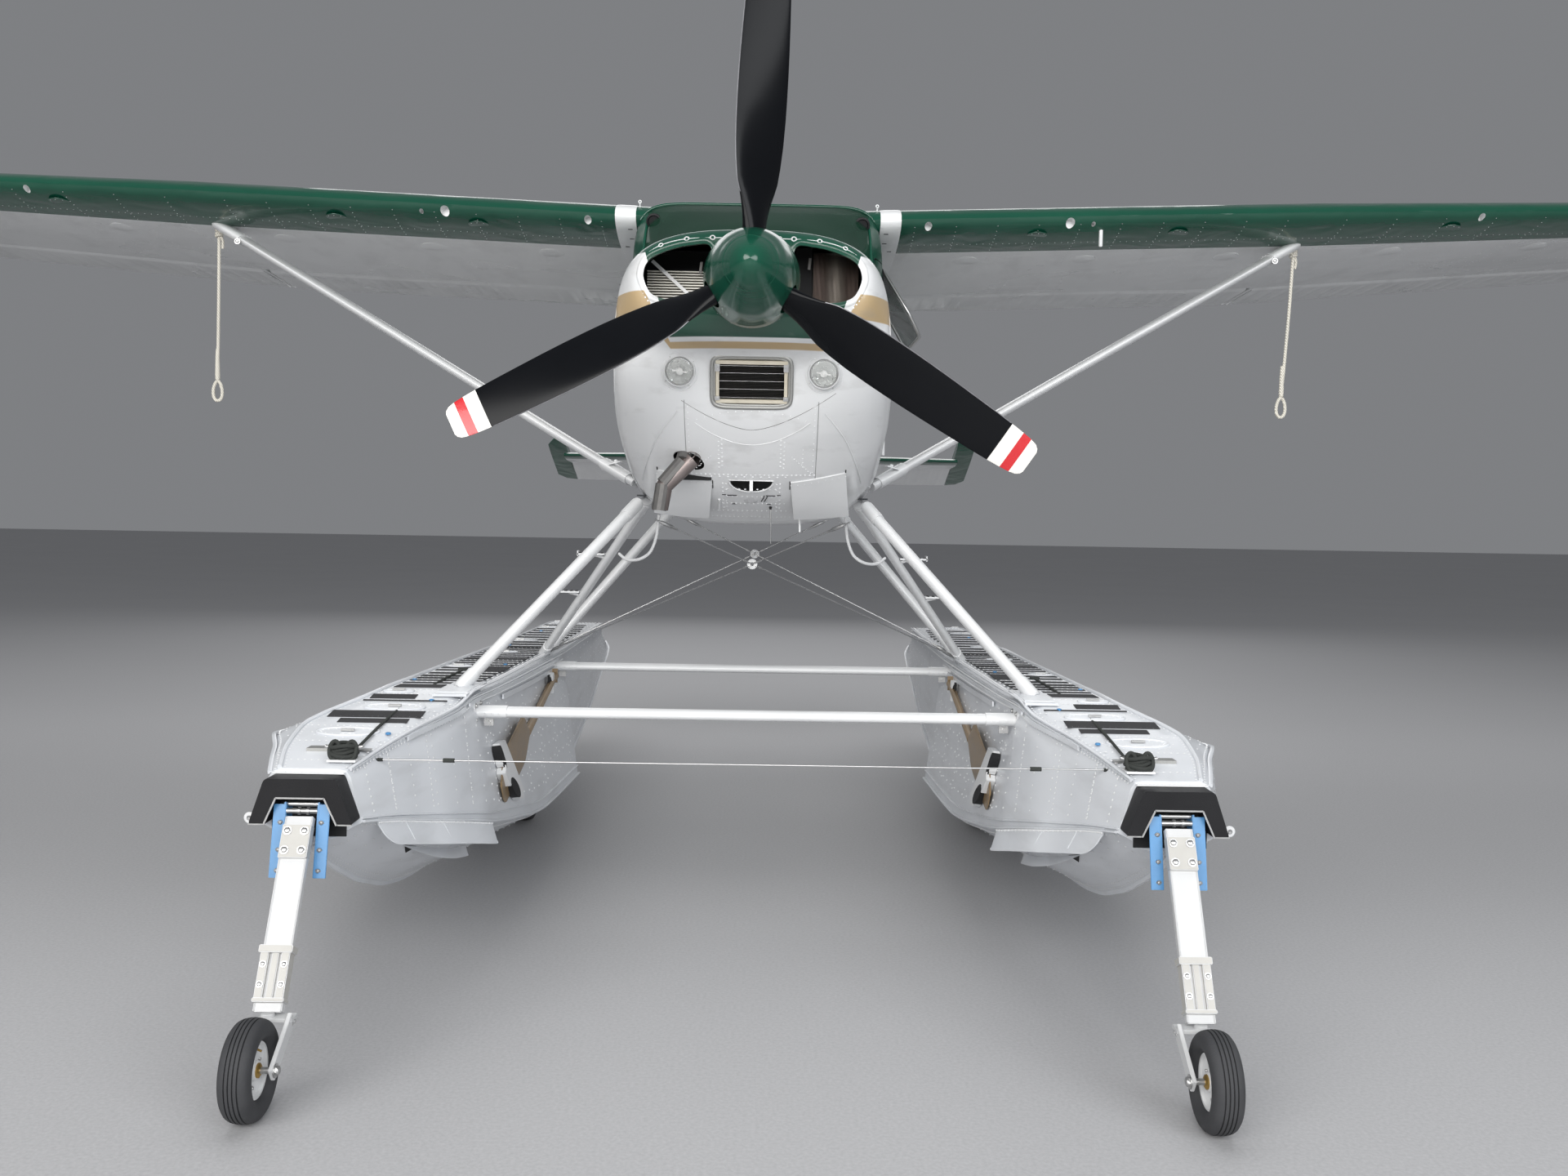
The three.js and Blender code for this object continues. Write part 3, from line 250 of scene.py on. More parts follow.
def sheet_metal(name, dark, light, rough=0.32):
    """Painted float and wing skin: broad oil-canning, dull patches and light grain."""
    f = Finish(name, rough, coat=0.2)
    broad = f.noise(1.8, 5, (1, 1, 1), 0.4)
    dirt = f.noise(7, 6, (1, 0.4, 1.8)).above(0.60, 0.08) * 0.18
    colour = f.mix(dirt, f.mix(broad, dark, light), (0.33, 0.33, 0.33))
    height = f.noise(3.2, 1, (1, 1.5, 1.4), 0.5) * 0.0045 + f.noise(150, 2) * 0.0001
    return f.done(colour, broad * 0.22 + rough - 0.1, height)


WHITE = livery("fuselage_paint", "side")
COWL_PAINT = livery("cowl_paint", "cowl")
TRIM_WHITE = plain("white_paint", WHITE_DARK, WHITE_LIGHT, 0.3, coat=0.4, bump=0.0001, ripple=0.002)
SKIN = sheet_metal("float_skin", (0.60, 0.62, 0.65), (0.72, 0.74, 0.77))
UNDER = sheet_metal("wing_skin", (0.68, 0.69, 0.69), (0.80, 0.81, 0.81), 0.28)
GREEN = plain(
    "green_paint", GREEN_DARK, GREEN_LIGHT, 0.22, coat=0.35, scale=1.5, bump=0.00005, ripple=0.012,
    gloss=0.4,
)
BLACK = plain(
    "black_paint", (0.0025, 0.003, 0.004), (0.006, 0.0065, 0.008), 0.22, scale=3, bump=0.00003, gloss=0.14
)
BLACK_EDGE = plain("worn_edge", (0.16, 0.16, 0.17), (0.30, 0.30, 0.32), 0.35, metal=0.6, scale=40)
RED = plain("red_paint", (0.50, 0.010, 0.016), (0.66, 0.022, 0.03), 0.3, coat=0.4)
BAND_WHITE = plain("tip_white", (0.72, 0.70, 0.66), (0.86, 0.84, 0.80), 0.35, scale=30)
RUBBER = plain(
    "bumper_rubber", (0.006, 0.006, 0.007), (0.016, 0.016, 0.018), 0.5, bump=0.0004, bump_scale=220,
    gloss=0.25,
)
TYRE = plain(
    "tyre_rubber", (0.024, 0.025, 0.028), (0.055, 0.056, 0.060), 0.75, bump=0.0006, bump_scale=160, scale=14
)
STRIP = plain("non_skid", (0.022, 0.022, 0.024), (0.05, 0.05, 0.053), 0.9, bump=0.0012, bump_scale=420)
BLUE = plain("blue_rail", (0.055, 0.20, 0.42), (0.09, 0.28, 0.54), 0.35, coat=0.1, scale=20)
STEEL = brushed("steel", (0.46, 0.46, 0.46), (0.66, 0.66, 0.65), 0.34)
WIRE = brushed("wire", (0.50, 0.50, 0.50), (0.72, 0.72, 0.72), 0.3, (20, 20, 20))
DULL = brushed("dull_aluminium", (0.34, 0.34, 0.33), (0.52, 0.52, 0.50), 0.5, (3, 3, 3))
BRASS = brushed("brass", (0.42, 0.26, 0.07), (0.60, 0.40, 0.13), 0.35, (5, 5, 5))
GLASS = glass("tinted_glass", (0.012, 0.042, 0.026), 0.58)
# Near black: the real colour of the instrument panel and its hood, and painted shade in holes, slots,
# recesses and cavities behind openings.
DARK = plain("near_black_and_painted_shade", (0.006, 0.006, 0.007), (0.016, 0.016, 0.017), 0.85)
CAST = plain("cast_metal", (0.10, 0.10, 0.10), (0.22, 0.21, 0.20), 0.55, metal=0.6, scale=30, bump=0.0006)
# Rivet heads are painted whiter than the skin round them: a painted highlight that stands in for their
# glints.
RIVET_HIGHLIGHT = plain("rivet_painted_highlight", (0.88, 0.89, 0.90), (0.95, 0.96, 0.97), 0.25, scale=30)
LEG_WHITE = plain("leg_paint", (0.62, 0.625, 0.63), (0.54, 0.545, 0.55), 0.35, scale=14)
CLAMP = plain("clamp_plate", (0.42, 0.41, 0.385), (0.52, 0.51, 0.48), 0.4, scale=18)
ROPE_OLD = plain("dark_rope", (0.018, 0.020, 0.019), (0.05, 0.055, 0.05), 0.9, bump=0.002, bump_scale=260)


def exhaust_finish():
    f = Finish("burnt_steel", 0.42, 0.85)
    heat = f.noise(14, 5, (1, 1, 0.5))
    soot = (f.z * -1 + 1.72).above(0.0, 0.06)
    colour = f.mix(heat, (0.17, 0.13, 0.12), (0.38, 0.34, 0.33))
    return f.done(f.mix(soot * 0.4, colour, (0.12, 0.10, 0.09)), heat * 0.3 + 0.3, f.noise(90, 3) * 0.0005)


def wood_finish():
    f = Finish("paddle_wood", 0.45, coat=0.3)
    grain = f.noise(9, 5, (8, 1, 2.2), 1.2)
    return f.done(f.mix(grain, (0.13, 0.085, 0.040), (0.34, 0.23, 0.115)), grain * 0.2 + 0.35, grain * 0.0006)


def rope_finish(name, dark, light):
    f = Finish(name, 0.85)
    node = f.tree.nodes.new("ShaderNodeTexWave")
    node.inputs["Scale"].default_value = 42
    node.inputs["Distortion"].default_value = 1.5
    turn = f.tree.nodes.new("ShaderNodeMapping")
    turn.inputs["Rotation"].default_value = (0.6, 0.7, 0.0)
    f.tree.links.new(f.where, turn.inputs["Vector"])
    f.tree.links.new(turn.outputs[0], node.inputs["Vector"])
    strands = Val(f.tree, node.outputs[1])
    return f.done(f.mix(strands, dark, light), None, strands * 0.0012 + f.noise(500, 2) * 0.0004)


def fins_finish(name, dark, light, step):
    """Close parallel fins seen edge on, one behind the other along x; the dark stripes between them are
    painted shade in the gaps.
    """
    f = Finish(name, 0.5, 0.5)
    fins = f.x.repeat(step).above(step * 0.28, step * 0.06)
    tint = f.noise(30, 4, (3, 1, 0.4))
    colour = f.mix(fins, dark, f.mix(tint, light, tuple(c * 0.45 for c in light)))
    return f.done(colour, None, fins * (step * 0.4))


def leather_finish():
    f = Finish("seat_leather", 0.6)
    node = f.tree.nodes.new("ShaderNodeTexVoronoi")
    node.inputs["Scale"].default_value = 260
    f.tree.links.new(f.where, node.inputs["Vector"])
    grain = Val(f.tree, node.outputs["Distance"])
    broad = f.noise(7, 4)
    colour = f.mix(broad, (0.15, 0.135, 0.115), (0.26, 0.24, 0.21))
    return f.done(colour, broad * 0.2 + 0.5, grain * 0.0012 + broad * 0.002)


def lens_finish():
    f = Finish("lamp_lens", 0.03, alpha=0.06)
    ribs = f.noise(75, 1, (1, 1, 1), 1.5)
    return f.done(f.mix(ribs, (0.72, 0.74, 0.74), (0.95, 0.97, 0.98)), None, ribs * 0.006)


def reflector_finish():
    f = Finish("lamp_reflector", 0.08, 1.0)
    facets = f.noise(42, 1, (1, 1, 1), 0.8)
    return f.done(f.mix(facets, (0.80, 0.81, 0.81), (0.97, 0.98, 0.98)), facets * 0.06 + 0.03, facets * 0.004)


EXHAUST = exhaust_finish()
WOOD = wood_finish()
ROPE = rope_finish("white_rope", (0.50, 0.47, 0.40), (0.82, 0.79, 0.71))
BAFFLE = fins_finish("baffle_fins", (0.18, 0.13, 0.11), (0.62, 0.54, 0.47), 0.0036)
CORE = fins_finish("cooler_core", (0.008, 0.008, 0.008), (0.05, 0.045, 0.04), 0.0032)
LEATHER = leather_finish()
LENS = lens_finish()
REFLECTOR = reflector_finish()


# Mesh helpers
def unit(v):
    v = np.asarray(v, float)
    return v / max(np.linalg.norm(v), 1e-9)


def front_of(along):
    """The direction that looks forwards, square to a line that leans in the side view."""
    face = unit(np.cross(along, (1, 0, 0)))
    return -face if face[1] > 0 else face


def turns(count, start=0.0):
    """Angles of points spread evenly round a circle."""
    return (np.arange(count) + start) / count * 2 * math.pi


def read_rows(rows, stations):
    """The table's columns at other stations, on curves without overshoot."""
    r = np.array(rows, float)
    at = np.asarray(stations, float)
    x = r[:, 0]
    k = np.clip(np.searchsorted(x, at) - 1, 0, len(x) - 2)
    h = np.diff(x)
    t = (at - x[k]) / h[k]
    out = [at]
    for c in range(1, r.shape[1]):
        y = r[:, c]
        d = np.diff(y) / h
        m = np.concatenate(([d[0]], np.zeros(len(x) - 2), [d[-1]]))
        for i in range(1, len(x) - 1):
            if d[i - 1] * d[i] > 0:
                w1, w2 = 2 * h[i] + h[i - 1], h[i] + 2 * h[i - 1]
                m[i] = (w1 + w2) / (w1 / d[i - 1] + w2 / d[i])
        out.append(
            (2 * t**3 - 3 * t**2 + 1) * y[k]
            + (t**3 - 2 * t**2 + t) * h[k] * m[k]
            + (3 * t**2 - 2 * t**3) * y[k + 1]
            + (t**3 - t**2) * h[k] * m[k + 1]
        )
    return np.array(out).T


def spline(points, count):
    """A smooth line through the points, evenly read."""
    p = np.array(points, float)
    ext = np.vstack((2 * p[0] - p[1], p, 2 * p[-1] - p[-2]))
    line = []
    for i in range(len(p) - 1):
        a, b, c, d = ext[i : i + 4]
        for t in np.linspace(0, 1, 24, endpoint=False):
            line.append(
                0.5 * (
                    2 * b + (c - a) * t + (2 * a - 5 * b + 4 * c - d) * t**2
                    + (3 * b - a - 3 * c + d) * t**3
                )
            )
    line.append(p[-1])
    line = np.array(line)
    away = np.concatenate(([0], np.cumsum(np.linalg.norm(np.diff(line, axis=0), axis=1))))
    at = np.linspace(0, away[-1], count)
    return np.column_stack([np.interp(at, away, line[:, k]) for k in range(3)])


class Shape:
    """Vertices in millimetres at working stations, faces and a material number for each."""

    def __init__(self):
        self.v, self.f, self.m = [], [], []

    def add(self, verts, faces, slot=0):
        n = len(self.v)
        self.v.extend(tuple(float(c) for c in p) for p in verts)
        self.f.extend(tuple(i + n for i in face) for face in faces)
        self.m.extend(slot if isinstance(slot, list) else [slot] * len(faces))
        return self

    def loft(self, rings, slot=0, caps=(True, True), closed=True, slot_at=None):
        rings = [np.asarray(r, float) for r in rings]
        n = len(rings[0])
        verts = np.vstack(rings)
        faces, slots = [], []
        for i in range(len(rings) - 1):
            for k in range(n if closed else n - 1):
                a, b = i * n + k, i * n + (k + 1) % n
                faces.append((a, b, b + n, a + n))
                slots.append(slot_at(i, k) if slot_at else slot)
        if caps[0]:
            faces.append(tuple(range(n))[::-1])
            slots.append(slot)
        if caps[1]:
            faces.append(tuple(range((len(rings) - 1) * n, len(rings) * n)))
            slots.append(slot)
        return self.add(verts, faces, slots)

    def tube(self, path, radius, sides=12, slot=0, caps=(True, True), flat=1.0, loop=False):
        p = np.array(path, float)
        radii = np.broadcast_to(radius, (len(p),))
        ahead = np.gradient(p, axis=0) if not loop else np.roll(p, -1, 0) - np.roll(p, 1, 0)
        side = np.cross(ahead[0], (0, 0, 1.0))
        if np.linalg.norm(side) < 1e-3 * np.linalg.norm(ahead[0]):
            side = np.cross(ahead[0], (0, 1.0, 0))
        side = unit(side)
        rings = []
        for q, d, r in zip(p, ahead, radii):
            d = unit(d)
            side = unit(side - d * side.dot(d))
            up = np.cross(d, side)
            turn = turns(sides, 0.5)
            rings.append(q + r * (np.outer(np.cos(turn), side) + flat * np.outer(np.sin(turn), up)))
        if loop:
            rings.append(rings[0])
            caps = (False, False)
        return self.loft(rings, slot, caps)

    def strut(self, a, b, chord, thick, direction, sides=28, sharp=1.0):
        a, b = np.array(a, float), np.array(b, float)
        along = unit(b - a)
        wide = unit(np.array(direction, float) - along * np.dot(direction, along))
        thin = np.cross(along, wide)
        turn = turns(sides, 0.5)
        c, s = np.cos(turn), np.sin(turn)
        s = np.sign(s) * np.abs(s) ** sharp
        section = np.outer(c, wide) * chord / 2 + np.outer(s, thin) * thick / 2
        return self.loft([a + section, b + section])

    def bar(self, a, b, chord, thick, direction, slot=0):
        a, b = np.array(a, float), np.array(b, float)
        along = unit(b - a)
        wide = unit(np.array(direction, float) - along * np.dot(direction, along))
        thin = np.cross(along, wide)
        corner = lambda at: [
            at + c * wide * chord / 2 + s * thin * thick / 2
            for c, s in ((1, 1), (-1, 1), (-1, -1), (1, -1))
        ]
        return self.loft([corner(a), corner(b)], slot)

    def box(self, x0, x1, y0, y1, z0, z1, slot=0):
        corner = lambda y: [(x0, y, z0), (x1, y, z0), (x1, y, z1), (x0, y, z1)]
        return self.loft([corner(y0), corner(y1)], slot)

    def lathe(self, profile, centre, axis, segments=48, slot=0, slot_at=None, closed=False):
        """Profile rows are radius and distance along the axis."""
        axis = unit(axis)
        side = unit(np.cross(axis, (0, 0, 1) if abs(axis[2]) < 0.9 else (0, 1, 0)))
        up = np.cross(axis, side)
        turn = turns(segments)
        spin = np.outer(np.cos(turn), side) + np.outer(np.sin(turn), up)
        rings = [np.array(centre, float) + axis * h + spin * max(r, 0.05) for r, h in profile]
        if closed:
            rings.append(rings[0])
        return self.loft(rings, slot, (not closed, not closed), slot_at=slot_at)

    def dome(self, at, normal, radius, height, slot=0, sides=6):
        n = unit(normal)
        side = unit(np.cross(n, (0, 0, 1) if abs(n[2]) < 0.9 else (0, 1, 0)))
        up = np.cross(n, side)
        turn = turns(sides)
        ring = np.array(at, float) + radius * (
            np.outer(np.cos(turn), side) + np.outer(np.sin(turn), up)
        ) - n * 0.4
        top = np.array(at, float) + n * height
        return self.add(np.vstack((ring, top)), [(k, (k + 1) % sides, sides) for k in range(sides)], slot)

    def bolt(self, at, normal, radius, height, slot=0):
        """A hexagon head on a washer."""
        n = unit(normal)
        at = np.array(at, float)
        self.lathe(
            [(radius * 1.5, -0.5), (radius * 1.5, height * 0.25), (0.1, height * 0.25)], at, n, 14, slot
        )
        return self.lathe(
            [(radius, 0), (radius, height * 0.85), (radius * 0.82, height), (0.1, height)], at, n, 6, slot
        )


def piece(name, shape, mats, body="airframe", smooth=35, hides=(), bevel=0.0):
    """Builds the mesh and rides it on its body. bevel is in millimetres."""
    mesh = bpy.data.meshes.new(name)
    v = np.array(shape.v, float)
    v[:, 1] -= MIDDLE_STATION
    mesh.from_pydata((v / 1000).tolist(), [], shape.f)
    for mat in mats if isinstance(mats, (list, tuple)) else [mats]:
        mesh.materials.append(mat)
    mesh.polygons.foreach_set("material_index", shape.m)
    mesh.update()
    bm = bmesh.new()
    bm.from_mesh(mesh)
    bmesh.ops.recalc_face_normals(bm, faces=bm.faces)
    if bevel:
        edges = [e for e in bm.edges if len(e.link_faces) == 2 and e.calc_face_angle(0) > 0.6]
        bmesh.ops.bevel(bm, geom=edges, offset=bevel / 1000, segments=2, affect="EDGES", clamp_overlap=True)
    bm.to_mesh(mesh)
    bm.free()
    shade(mesh, smooth)
    obj = bpy.data.objects.new(name, mesh)
    bpy.context.scene.collection.objects.link(obj)
    if body:
        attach(obj, body)
    if hides:
        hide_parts(*hides)
    return obj


def stands_for(obj, slot, *nodes):
    """Hides the solids whose place a finished piece takes; its material slot is not used."""
    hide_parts(*nodes)


def shade(mesh, smooth):
    mesh.polygons.foreach_set("use_smooth", [True] * len(mesh.polygons))
    mesh.set_sharp_from_angle(angle=math.radians(smooth))


def carve(obj, cutters, kind="DIFFERENCE", smooth=35):
    """Cuts or keeps the shapes from a piece and leaves plain mesh behind."""
    made = []
    for cutter in cutters:
        other = piece("cutter", cutter, obj.data.materials[0], None)
        made.append(other)
        mod = obj.modifiers.new("cut", "BOOLEAN")
        mod.operation, mod.solver, mod.object = kind, "EXACT", other
    bpy.context.view_layer.update()
    new = bpy.data.meshes.new_from_object(obj.evaluated_get(bpy.context.evaluated_depsgraph_get()))
    obj.modifiers.clear()
    obj.data = new
    shade(new, smooth)
    for other in made:
        bpy.data.objects.remove(other)
    return obj


def ring_points(cx, cz, half_x, half_z, count, power):
    """A rounded box for low powers, an ellipse for 1, as x and z."""
    turn = turns(count, 0.5)
    c, s = np.cos(turn), np.sin(turn)
    return np.column_stack(
        (cx + half_x * np.sign(c) * np.abs(c) ** power, cz + half_z * np.sign(s) * np.abs(s) ** power)
    )


def front_prism(outline, y0, y1):
    return Shape().loft([[(x, y, z) for x, z in outline] for y in (y0, y1)])


def slot_cutter(cx, cz, half_x, half_z, y0, y1, power=0.8, count=48):
    return front_prism(ring_points(cx, cz, half_x, half_z, count, power), y0, y1)


def side_prism(outline, x0, x1):
    return Shape().loft([[(x, y, z) for y, z in outline] for x in (x0, x1)])


# Body sections
# y, half width, bottom, top, widest z, lower and upper squareness
COWL_ROWS = [
    (268, 342, 2312, 2576, 2445, 2.3, 2.5), (284, 398, 2258, 2610, 2440, 2.4, 2.6),
    (325, 432, 2232, 2632, 2420, 2.5, 2.7), (398, 466, 2188, 2644, 2375, 2.6, 2.8),
    (436, 482, 2050, 2649, 2320, 2.6, 2.85), (475, 492, 1985, 2653, 2270, 2.7, 2.9),
    (600, 508, 1865, 2658, 2180, 2.8, 3.2), (800, 525, 1722, 2664, 2130, 2.9, 3.0),
    (1074.6, 531, 1622, 2668, 2120, 3.1, 2.6),
]
CABIN_ROWS = [
    (1075, 531, 1622, 2668, 2120, 3.1, 2.6), (1180, 536, 1612, 2700, 2120, 3.2, 2.8),
    (1440, 550, 1604, 2880, 2120, 3.4, 3.4), (1690, 558, 1602, 3004, 2130, 3.6, 6.5),
    (1740, 560, 1602, 3019, 2130, 3.6, 9.0), (2420, 560, 1606, 3024, 2140, 3.6, 8.0),
    (3395, 505, 1662, 2880, 2150, 3.2, 3.4),
]
TAIL_ROWS = [
    (3395.4, 505, 1662, 2880, 2150, 3.2, 3.4), (4200, 385, 1722, 2655, 2120, 2.8, 2.8),
    (5200, 242, 1790, 2415, 2080, 2.5, 2.4), (6100, 138, 1850, 2215, 2030, 2.3, 2.2),
    (6840, 46, 1905, 2105, 2005, 2.2, 2.2),
]


def body_ring(row, grow=0.0, count=96):
    y, half, bottom, top, wide, lower, upper = row
    turn = turns(count)
    c, s = np.cos(turn), np.sin(turn)
    power = np.where(s >= 0, 2 / upper, 2 / lower)
    reach = np.where(s >= 0, top + grow - wide, wide - bottom + grow)
    # The square corners need points that are evenly spread along the section.
    x = (half + grow) * np.sign(c) * np.abs(c) ** power
    z = wide + reach * np.sign(s) * np.abs(s) ** power
    p = np.column_stack((x, z))
    loop = np.vstack((p, p[:1]))
    away = np.concatenate(([0], np.cumsum(np.linalg.norm(np.diff(loop, axis=0), axis=1))))
    at = np.linspace(0, away[-1], count, endpoint=False)
    x, z = (np.interp(at, away, loop[:, k]) for k in range(2))
    return np.column_stack((x, np.full(count, y), z))


def body_rings(rows, stations, grow=0.0, shift=0.0, count=96):
    return [body_ring([r[0] + shift, *r[1:]], grow, count) for r in read_rows(rows, stations)]


COWL_STATIONS = np.array(
    [
        268, 271, 275, 280, 287, 296, 310, 325, 345, 370, 398, 410, 422, 436, 450, 475, 510, 550, 600, 670,
        740, 820, 900, 990, 1074.6,
    ]
)


COWL_BY_MILLIMETRE = read_rows(COWL_ROWS, np.arange(268, 1074, 1.0))


def front_y(x, z):
    """Where the cowl's front surface stands at a point of the front view."""
    for y, half, bottom, top, wide, lower, upper in COWL_BY_MILLIMETRE:
        n, reach = (upper, top - wide) if z >= wide else (lower, wide - bottom)
        if (abs(x) / half) ** n + (abs(z - wide) / reach) ** n <= 1:
            return y
    return 1074.0


def dome_rings(ring, depth, steps=(0.25, 0.5, 0.72, 0.88, 0.97)):
    """Rings that close a section with a shallow crown in front of it."""
    ring = np.asarray(ring)
    middle = ring.mean(0)
    made = []
    for k in steps:
        r = middle + (ring - middle) * k
        r[:, 1] = ring[0, 1] - depth * math.sqrt(max(1 - k**2, 0))
        made.append(r)
    return made


# Tie-down ropes
ROPE_RADIUS = 7.5
# side, top x, station and z, sideways drift at the bottom, length
ROPES = (("left", 2520, 2060, 2945, -34, 800), ("right", -2520, 2060, 2945, -12, 810))


def row_points(points):
    return [(p[0] / 1000, (p[1] - MIDDLE_STATION) / 1000, p[2] / 1000) for p in points]


def tie_rope(side, x, y, z, drift, length):
    eye, top_z = 92, z - 22
    bottom = z - length
    line = spline(
        [
            (x + drift * 0.03, y, top_z), (x + drift * 0.35, y, z - length * 0.4),
            (x + drift, y, bottom + eye),
        ],
        26,
    )
    end = line[-1]
    half = [end]
    for t in np.linspace(0, 1, 13)[1:]:
        a = t * math.pi
        half.append(end + np.array((27 * math.sin(a) * (0.55 + 0.45 * t), 0, -eye * (1 - math.cos(a)) / 2)))
    path = np.vstack((line, half[1:]))
    rope = piece(
        f"rope_{side}", Shape().tube(path, ROPE_RADIUS, 12), ROPE, smooth=60,
        hides=(f"tie_rope_{side}",),
    )
    back = Shape().tube(
        [
            (2 * end[0] - p[0] if i not in (0, 12) else p[0], p[1], p[2])
            for i, p in enumerate(np.array(half))
        ],
        ROPE_RADIUS, 12,
    )
    back.tube([end + (0, 0, k) for k in (6, 30, 70, 120, 150)], (10.5, 11.5, 10.5, 9.2, 7.6), 14)
    splice = piece(f"rope_eye_{side}", back, ROPE, smooth=60)
    wraps = Shape()
    for k in range(3):
        turn = np.linspace(0, 2 * math.pi, 22, endpoint=False)
        centre = line[0] + (0, 0, 4 - k * 13)
        wraps.tube(
            [centre + (13 * math.cos(t), 13 * math.sin(t), 3 * math.sin(t + k)) for t in turn], 6.5, 8,
            loop=True,
        )
    wraps.tube([line[0] + p for p in ((9, 2, -24), (16, 5, -48), (13, 8, -80))], 6.5, 10)
    knot = piece(f"rope_knot_{side}", wraps, ROPE, smooth=60)
    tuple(row_points(path[:1])[0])


for row in ROPES:
    tie_rope(*row)


# Cowling
HUB_Z, INLET_X, INLET_Z = 2427, 255, 2478
# Edge of an air inlet, as distance from the middle and height
INLET_EDGE = (
    (137, 2530), (143, 2559), (160, 2573), (200, 2569), (250, 2561), (305, 2544), (347, 2523), (367, 2500),
    (375, 2467), (369, 2440), (359, 2418), (343, 2399), (310, 2385), (250, 2377), (190, 2376), (152, 2385),
    (136, 2412), (132, 2470),
)
LAMP_X, LAMP_Z, LAMP_RADIUS = 255, 2153, 50


def inlet_outline(side, grow=0.0, count=72):
    p = np.array([(x, 0, z) for x, z in INLET_EDGE + INLET_EDGE[:1]], float)
    line = spline(p, count + 1)[:-1]
    ahead = np.roll(line, -1, 0) - np.roll(line, 1, 0)
    away = np.array([unit((-d[2], 0, d[0])) for d in ahead])
    line = line + away * grow
    return [(side * x, z) for x, _, z in line]


